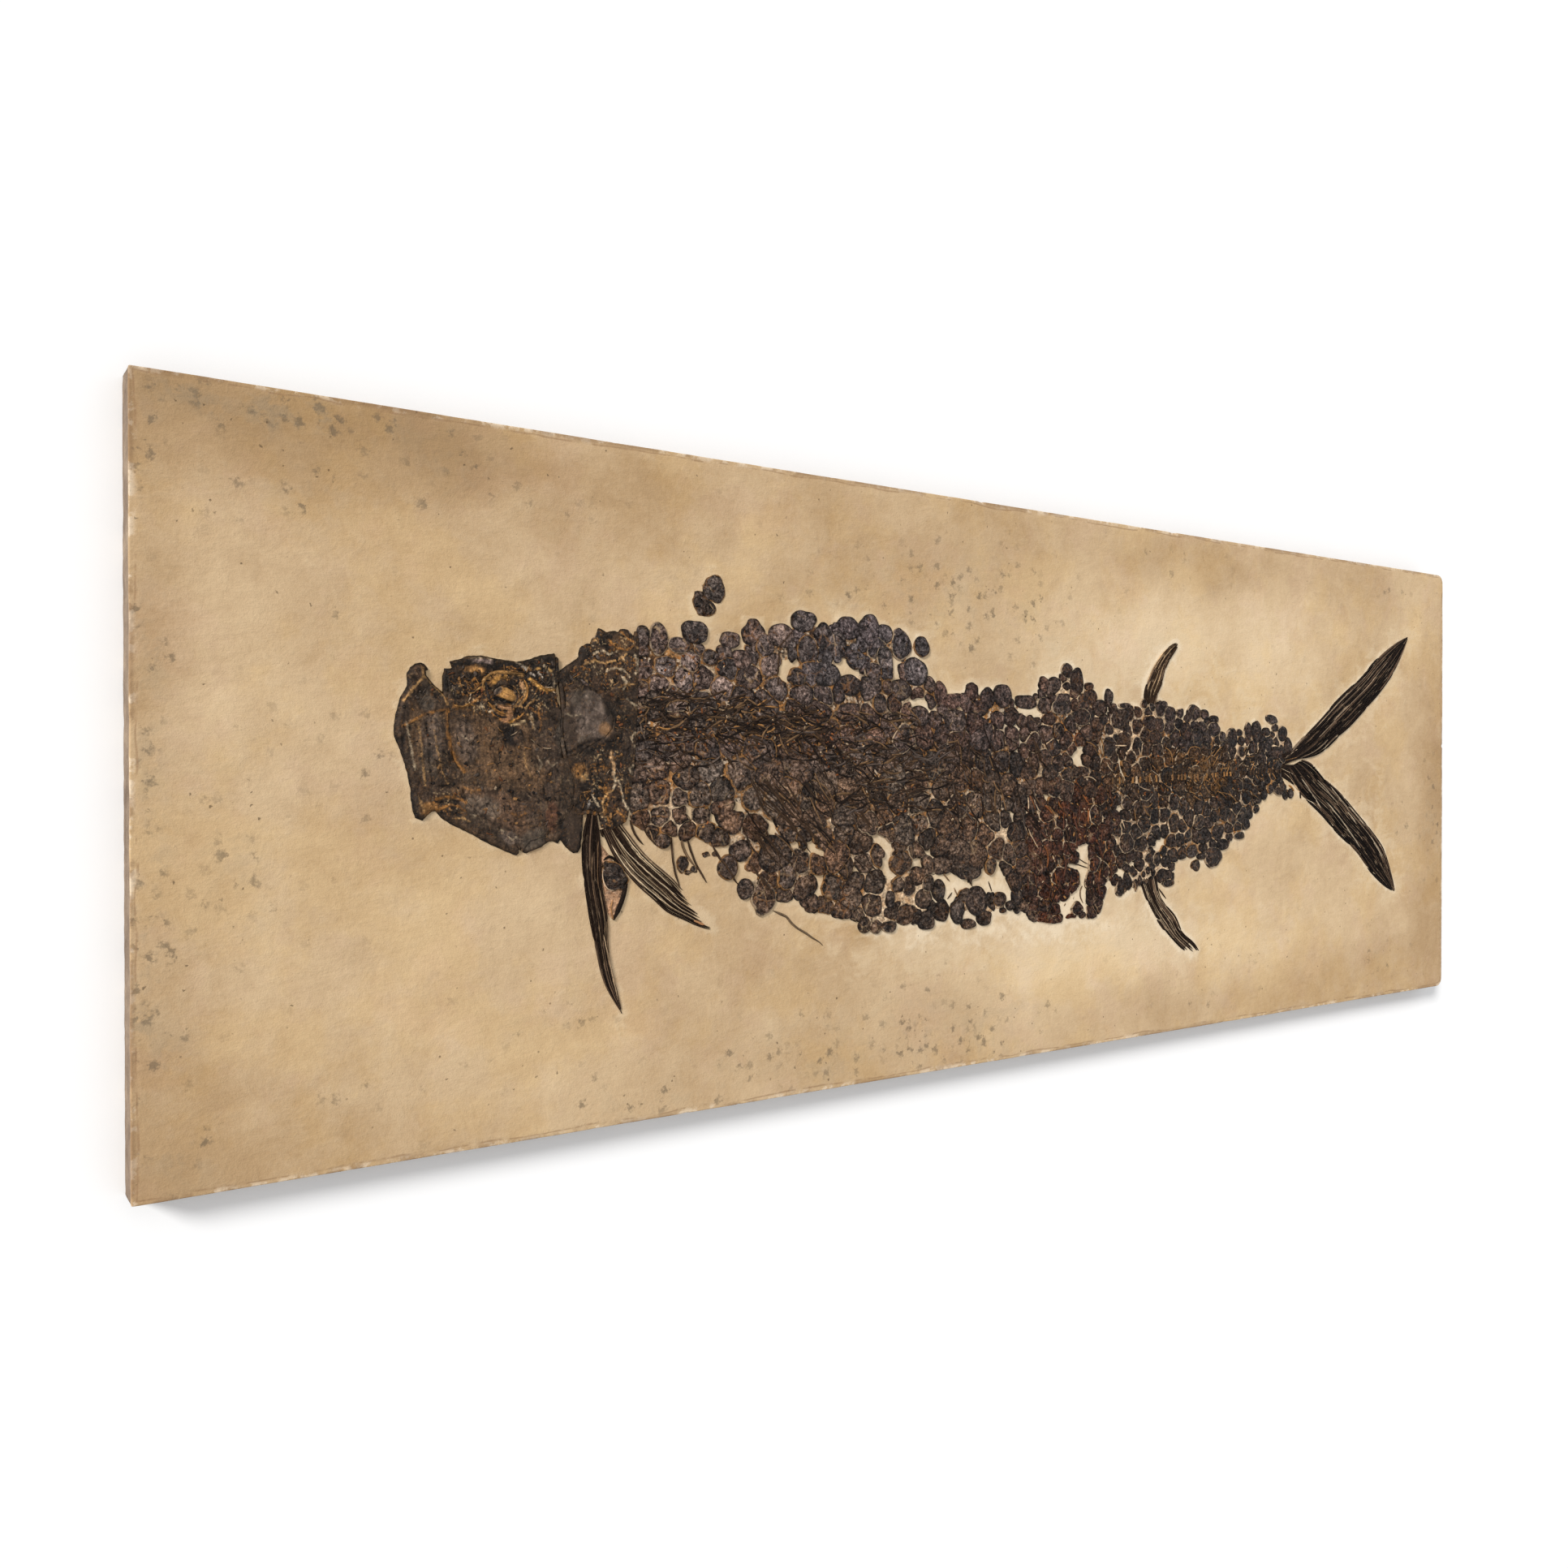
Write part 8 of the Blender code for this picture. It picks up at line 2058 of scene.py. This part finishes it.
def head_paint(x, y, outer):
    """Relief and colour of the head as one surface, so that the bones run on into each other."""
    wx, wy = x + 3.4 * fbm(x / 11, y / 11, 501, 3), y + 3.4 * fbm(x / 11, y / 11, 502, 3)
    tint = np.broadcast_to(rgb(62, 48, 36), (len(x), 3)).copy()
    for cx, cy, rx, ry, turn, colour, much in HEAD_ZONES:
        tint = lay(tint, blob(wx, wy, cx, cy, rx, ry, turn) * much, colour)
    level = (1 - 0.28 * smooth(-800, -812, x) - 0.32 * smooth(64, 78, y) * smooth(-805, -798, x) * smooth(-672, -682, x)
             - 0.30 * smooth(-672, -660, x) * (1 - blob(x, y, -648, 72, 30, 30, 10)) - 0.12 * blob(x, y, -645, 72, 28, 30, 10) + 0.40 * blob(x, y, -748, -28, 46, 20, -22))
    tint = tint * level[:, None]
    jaw = smooth(-800, -812, x) * smooth(-30, -10, y)
    relief, crack, who, who2 = crushed(x, y, 503, 11, 4.4, 1.2)
    fibre = fbm(x / 2.4, y / 17, 504, 3) * (0.5 + 0.5 * jaw) + fbm((x + y * 0.3) / 3.0, (y - x * 0.3) / 9, 505, 3) * (1 - jaw) * 0.7
    grain = fbm(x / 3.2, y / 2.8, 506, 3)
    lumps = fbm(x / 15, y / 13, 507, 3)
    smoothness = np.maximum(blob(wx, wy, -648, 74, 31, 30, 10), blob(wx, wy, -664, -56, 13, 22))
    smoothness = np.maximum(smoothness, 0.8 * blob(wx, wy, -711, -60, 13, 12))
    rough = 1 - 0.58 * smoothness
    z = (0.62 * relief + 0.55 * fibre + 0.35 * grain) * rough + 0.9 * lumps * (1 - 0.4 * smoothness) + 0.6 * smoothness
    shade = 1 + rough * (0.85 * fibre + 0.5 * grain) + 0.35 * lumps + rough * 0.42 * (who - 0.5) + rough * 0.34 * (who2 - 0.5)
    tint = tint * np.clip(0.10 + 1.15 * (shade - 0.1), 0.26, 2.5)[:, None]
    tint = lay(tint, rough * crack * 0.45, BLACKISH)
    cover = blob(x, y, -648, 72, 32, 34, 10)
    sheen = fbm((x - y * 0.4) / 9, (y + x * 0.4) / 26, 515, 4)
    tint = tint * (1 + cover * (0.9 * sheen + 0.5 * fbm(x / 5, y / 5, 516, 3)))[:, None]
    tint = lay(tint, 0.55 * cover * smooth(0.10, 0.30, fbm(x / 12, y / 10, 517, 3)), rgb(62, 50, 42))
    z += cover * (0.7 * sheen)
    # broken bits of pale and ochre bone, most round the eye, the girdle and the foot of the jaw
    webby = 0.18 + 0.8 * np.maximum.reduce([blob(wx, wy, -740, 96, 66, 26), blob(wx, wy, -622, 140, 38, 34), blob(wx, wy, -622, -8, 26, 50), blob(wx, wy, -804, -18, 20, 14)])
    f1, f2, who3 = cells(wx / 5.4, wy / 4.6, 508)
    thread = smooth(0.13, 0.02, f2 - f1) * smooth(-0.02, 0.2, fbm(x / 14, y / 14, 509, 3) + 0.10) * webby * rough
    tint = lay(tint, 0.85 * thread, OCHREOUS * 0.9)
    thread2 = smooth(0.10, 0.02, f2 - f1) * smooth(0.08, 0.26, fbm(x / 17 + 9, y / 15, 510, 3)) * webby * rough
    tint = lay(tint, 0.8 * thread2, rgb(188, 160, 120))
    tint = lay(tint, rough * webby * (who3 > 0.80) * 0.75, BLACKISH)
    z += 0.5 * thread * rough
    wob = 1.1 * noise2(x / 4.5, y / 4.5, 511) + 0.6 * noise2(x / 2.0, y / 2.0, 514)
    worn = 0.42 + 0.58 * smooth(-0.22, 0.10, fbm(x / 7, y / 7, 512, 3))
    shade = np.clip(0.82 + 0.9 * fbm(x / 3.0, y / 3.0, 513, 3), 0.35, 1.4) * (1 + 0.35 * smooth(-668, -650, x) + 0.25 * blob(x, y, -745, 96, 60, 34))
    for much, width, colour, line in HEAD_LINES:
        near = path_distance(x, y, line) + wob
        over = np.minimum(much * worn * smooth(width, width * 0.35, near), 1.0)[:, None]
        tint = tint * (1 - over) + colour[None, :] * shade[:, None] * over
        z += 0.55 * smooth(width + 1.0, 0, near) * (1 if colour[0] > 0.06 else -1.5)
    z -= 1.5 * blob(x, y, -828, 88, 8, 10, 20) + 0.9 * blob(x, y, -735, 52, 14, 11, -12)
    z += 1.4 * blob(x, y, -836, 116, 9, 8) + 0.9 * np.exp(-(path_distance(x, y, [(-846, 96), (-836, 84), (-832, 60), (-835, 30), (-838, 4)]) / 5) ** 2)
    z += 1.2 * np.exp(-(path_distance(x, y, [(-676, 36), (-660, 44), (-644, 51), (-626, 53), (-610, 58)]) / 4) ** 2)
    z += 1.0 * np.exp(-(path_distance(x, y, [(-800, 126), (-770, 134), (-735, 130), (-702, 138), (-688, 140)]) / 4) ** 2)
    tint = lay(tint, smooth(3.0, 0.6, outer) * 0.75, BLACKISH)
    return z, tint, 0.12 + 0.35 * np.clip(webby, 0, 1) * rough, np.clip(0.15 + 0.75 * smoothness, 0, 1)


def ellipse(cx, cy, rx, ry, count, wobble=0.0, seed=0):
    th = np.arange(count) / count * 2 * math.pi
    r = 1 + wobble * noise2(np.cos(th) * 1.7 + 9, np.sin(th) * 1.7, seed)
    return np.stack([cx + rx * r * np.cos(th), cy + ry * r * np.sin(th)], 1)


plate("lower_jaw_bone", "lower_jaw", "dark_bone", LOWER_JAW, 1.4, 4.2, 401, head_paint, 4.5)
plate("skull_roof_bone", "skull_roof", "dark_bone", SKULL_ROOF, 1.35, 4.3, 402, head_paint, 3.0,
      holes=[ellipse(*EYE, 14.5, 12.0, 40, 0.06, 4)])
plate("cheek_bone", "cheek_bones", "dark_bone", CHEEK_BONES, 1.4, 4.3, 403, head_paint, 3.5)
plate("operculum_bone", "operculum", "grey_bone", OPERCULUM, 1.6, 4.5, 404, head_paint, 5.0)
plate("gular_bone", "gular_plates", "grey_bone", GULAR_PLATES, 1.6, 2.9, 405, head_paint, 3.5)
plate("shoulder_girdle_bone", "shoulder_girdle", "dark_bone", SHOULDER_GIRDLE, 1.5, 3.8, 406, head_paint, 3.5)


def eye():
    rng = np.random.default_rng(95)

    def paint(x, y, d):
        dx, dy = x - EYE[0], y - EYE[1]
        r = np.hypot(dx / 14.5, dy / 12.0)
        relief, crack, who, who2 = crushed(x, y, 361, 6, 3)
        z = 0.5 * relief + 0.6 * fbm(x / 4, y / 4, 362, 3)
        ball = blob(x, y, -741.5, 95.5, 10.8, 7.4, -36)
        z += 1.9 * ball * (1 - 0.5 * np.hypot((x + 741.5) / 11, (y - 95.5) / 9) ** 2)
        tint = np.broadcast_to(rgb(58, 47, 40), (len(x), 3)).copy()
        tint = rubble(x, y, 363, tint, 0.8)
        tint = lay(tint, 0.95 * ball, rgb(166, 122, 68))
        tint = lay(tint, 0.6 * ball * smooth(0.0, 0.3, fbm(x / 4, y / 4, 364, 3)), rgb(128, 88, 46))
        rim = path_distance(x, y, [(-746, 107), (-740, 109), (-732, 106.5), (-727, 101), (-727, 94)]) + 0.6 * noise2(x / 3, y / 3, 366)
        tint = lay(tint, 0.85 * smooth(2.2, 1.0, rim), rgb(158, 116, 80))
        z += 0.7 * smooth(2.6, 0.6, rim)
        slit = path_distance(x, y, [(-755, 92.5), (-749, 90.5), (-742, 88), (-737, 87)]) + 0.5 * noise2(x / 4, y / 4, 365)
        z -= 1.9 * smooth(3.0, 0.8, slit)
        tint = lay(tint, smooth(2.4, 1.5, slit), rgb(15, 11, 10))
        below = blob(x, y, -741, 81.5, 11, 3.6, -6)
        tint = lay(tint, 0.75 * below, rgb(146, 106, 70))
        z += 0.7 * below
        nick = blob(x, y, -735.5, 102.8, 5.8, 2.8, -12)
        tint = lay(tint, 0.95 * nick, rgb(16, 12, 11))
        z -= 0.9 * nick
        grey = blob(x, y, -752, 101, 5, 5)
        tint = lay(tint, 0.7 * grey, rgb(96, 84, 76))
        for a, b, c in ((-0.9, 0.75, 1.5), (0.5, 0.8, 1.2), (1.6, 0.82, 1.6), (2.6, 0.78, 1.1), (3.6, 0.8, 1.5), (4.6, 0.76, 1.2)):
            dash = smooth(0.16, 0.05, np.abs(r - b)) * smooth(0.5, 0.3, np.abs(np.angle(np.exp(1j * (np.arctan2(dy, dx) - a)))))
            tint = lay(tint, 0.9 * dash, rgb(20, 15, 12))
        return z, tint, np.full(len(x), 0.5), np.full(len(x), 0.5)

    plate("eye_socket_bone", "eye_ring", "ochre_bone", ellipse(*EYE, 14.1, 11.6, 64, 0.06, 4), 0.9, 4.4, 407, paint, 1.6)
    # bones of the orbit, as ribbons that stand up over the socket
    buf = Buffer()
    ribbons = [
        (3.4, 1.7, rgb(150, 110, 62), [(-769, 101), (-767, 109), (-760, 116), (-750, 119), (-738, 118), (-722, 118)]),
        (2.6, 1.5, rgb(168, 118, 60), [(-722, 112), (-718.5, 104), (-719, 95), (-724, 86)]),
        (2.2, 1.3, rgb(158, 114, 60), [(-712, 112), (-704, 107), (-697, 102.5), (-685.5, 101.5)]),
        (2.4, 1.3, rgb(160, 112, 58), [(-762, 87), (-757, 81), (-749, 76.5), (-741, 75)]),
        (1.9, 1.2, rgb(150, 104, 54), [(-733, 68), (-727, 72), (-722, 77)]),
        (3.2, 1.6, rgb(40, 32, 28), [(-765, 108), (-763, 97), (-761, 88)]),
        (2.4, 1.3, rgb(44, 35, 30), [(-757, 76), (-749, 72), (-741, 71.5)]),
        (1.8, 1.1, rgb(176, 134, 80), [(-782, 95), (-776, 98), (-770, 103)]),
        (2.0, 1.2, rgb(160, 116, 64), [(-799, 83), (-791, 81), (-783, 84), (-776, 82)]),
    ]
    for width, high, tint, line in ribbons:
        p = resample(line, step=1.6)
        p = p + 0.5 * np.stack([noise2(p[:, 0] / 5, p[:, 1] / 5, 371), noise2(p[:, 0] / 5, p[:, 1] / 5, 372)], 1)
        z = np.full(len(p), 44.6) + 0.4 * noise2(p[:, 0] / 6, p[:, 1] / 6, 373)
        w = width * (1 + 0.45 * noise2(p[:, 0] / 4, p[:, 1] / 4, 374))
        worn = np.clip(0.75 + 0.8 * noise2(p[:, 0] / 5, p[:, 1] / 5, 375), 0.25, 1.2)
        strand(buf, p, w, high, z, taper=(0.15, 0.2), sink=2.2, tint=tint[None, :] * worn[:, None], fleck=0.6, polish=0.4)
    buf.build("orbit_bones", BONE, "ochre_bone")


eye()


def seams_between_bones():
    """Crushed bone that fills the joints of the head."""
    buf = Buffer()
    joints = [
        (6.0, 43.0, [(-807, 118), (-806.5, 96), (-805, 78), (-803, 62), (-803.5, 50), (-800.5, 27), (-791.5, 12), (-789.5, -4), (-785.5, -19),
                     (-769.5, -32), (-750, -45.5), (-732, -57.5), (-726, -69)]),
        (5.0, 43.4, [(-803, 77.2), (-785, 80.8), (-770, 75.6), (-757, 71.6), (-745, 68), (-732, 67), (-719, 68), (-708.5, 78), (-702, 83), (-692, 89), (-683, 97)]),
        (4.6, 43.0, [(-680, 112), (-677, 100), (-676, 84), (-677.5, 66), (-677.5, 50), (-674, 31), (-667, 20), (-664, 0), (-665.5, -20), (-676, -38)]),
        (5.0, 42.6, [(-676, -38.6), (-690, -45.5), (-700, -56.5), (-716, -60.5), (-724, -70)]),
        (4.4, 43.0, [(-675, 102.6), (-664, 104.6), (-649.4, 107.6), (-635, 101.6), (-622.5, 93), (-616, 76), (-618, 62), (-629, 51), (-649, 41), (-660, 33), (-672, 31)]),
        (6.0, 42.6, [(-587, 172), (-586.5, 150), (-587, 120), (-587.5, 95), (-589.3, 60), (-591.3, 30), (-595, 0), (-598, -24), (-601, -42)]),
        (5.0, 42.4, [(-664, -23), (-658, -31), (-646, -30), (-634, -33)]),
        (5.0, 43.0, [(-684, 138), (-683, 122), (-681, 111)]),
    ]
    for width, level, line in joints:
        p = resample(line, step=1.6)
        z, tint, fleck, polish = head_paint(p[:, 0], p[:, 1], np.full(len(p), 20.0))
        level = level - 0.25 + 0.45 * z + 0.3 * noise2(p[:, 0] / 5, p[:, 1] / 5, 383)
        strand(buf, p, width, 0.7, np.minimum(level, 46.5), taper=(0.03, 0.03), sink=3.4, tint=np.clip(tint, 0.003, 0.9), fleck=0.25, polish=0.2)
    buf.build("bone_joints", BONE, "dark_bone")


seams_between_bones()


def head_fragments():
    """Splinters and chips of bone on the head and shoulder."""
    rng = np.random.default_rng(97)
    buf = Buffer()
    plates = [(SKULL_ROOF, 130, 44.5, (0.8, 1.9)), (CHEEK_BONES, 150, 44.2, (0.8, 2.0)), (SHOULDER_GIRDLE, 300, 43.4, (0.9, 2.6)),
              (LOWER_JAW, 70, 44.0, (0.8, 1.8))]
    for outline, count, level, sizes in plates:
        o = np.array(outline, float)
        x = rng.uniform(o[:, 0].min(), o[:, 0].max(), count * 3)
        y = rng.uniform(o[:, 1].min(), o[:, 1].max(), count * 3)
        keep = polygon_distance(x, y, [outline]) < -4
        keep &= np.hypot((x - EYE[0]) / 17, (y - EYE[1]) / 15) > 1
        for px, py in list(zip(x[keep], y[keep]))[:count]:
            tint = pick(rng, [(3, OCHRE), (0.7, CREAM), (6, DARK), (5, DEEP), (3, GREY), (2, RUST)]) * rng.uniform(0.4, 0.85)
            if rng.random() < 0.55:
                shard(buf, rng, px, py, rng.uniform(*sizes), level + rng.uniform(-0.7, 0.4), tint, rng.uniform(1.0, 2.2), fleck=0.6, polish=0.3)
            else:
                length, a = rng.uniform(3, 10), rng.uniform(0, math.pi)
                s = np.linspace(-0.5, 0.5, 7)
                bend = rng.normal() * 0.15 * length
                p = np.stack([px + s * length * math.cos(a) - bend * s**2 * math.sin(a), py + s * length * math.sin(a) + bend * s**2 * math.cos(a)], 1)
                strand(buf, p, rng.uniform(0.7, 1.6), 0.7, level + rng.uniform(-0.4, 0.4), sink=1.6, tint=tint, fleck=0.5, polish=0.3)
    buf.build("head_fragments", BONE, "dark_bone")


head_fragments()
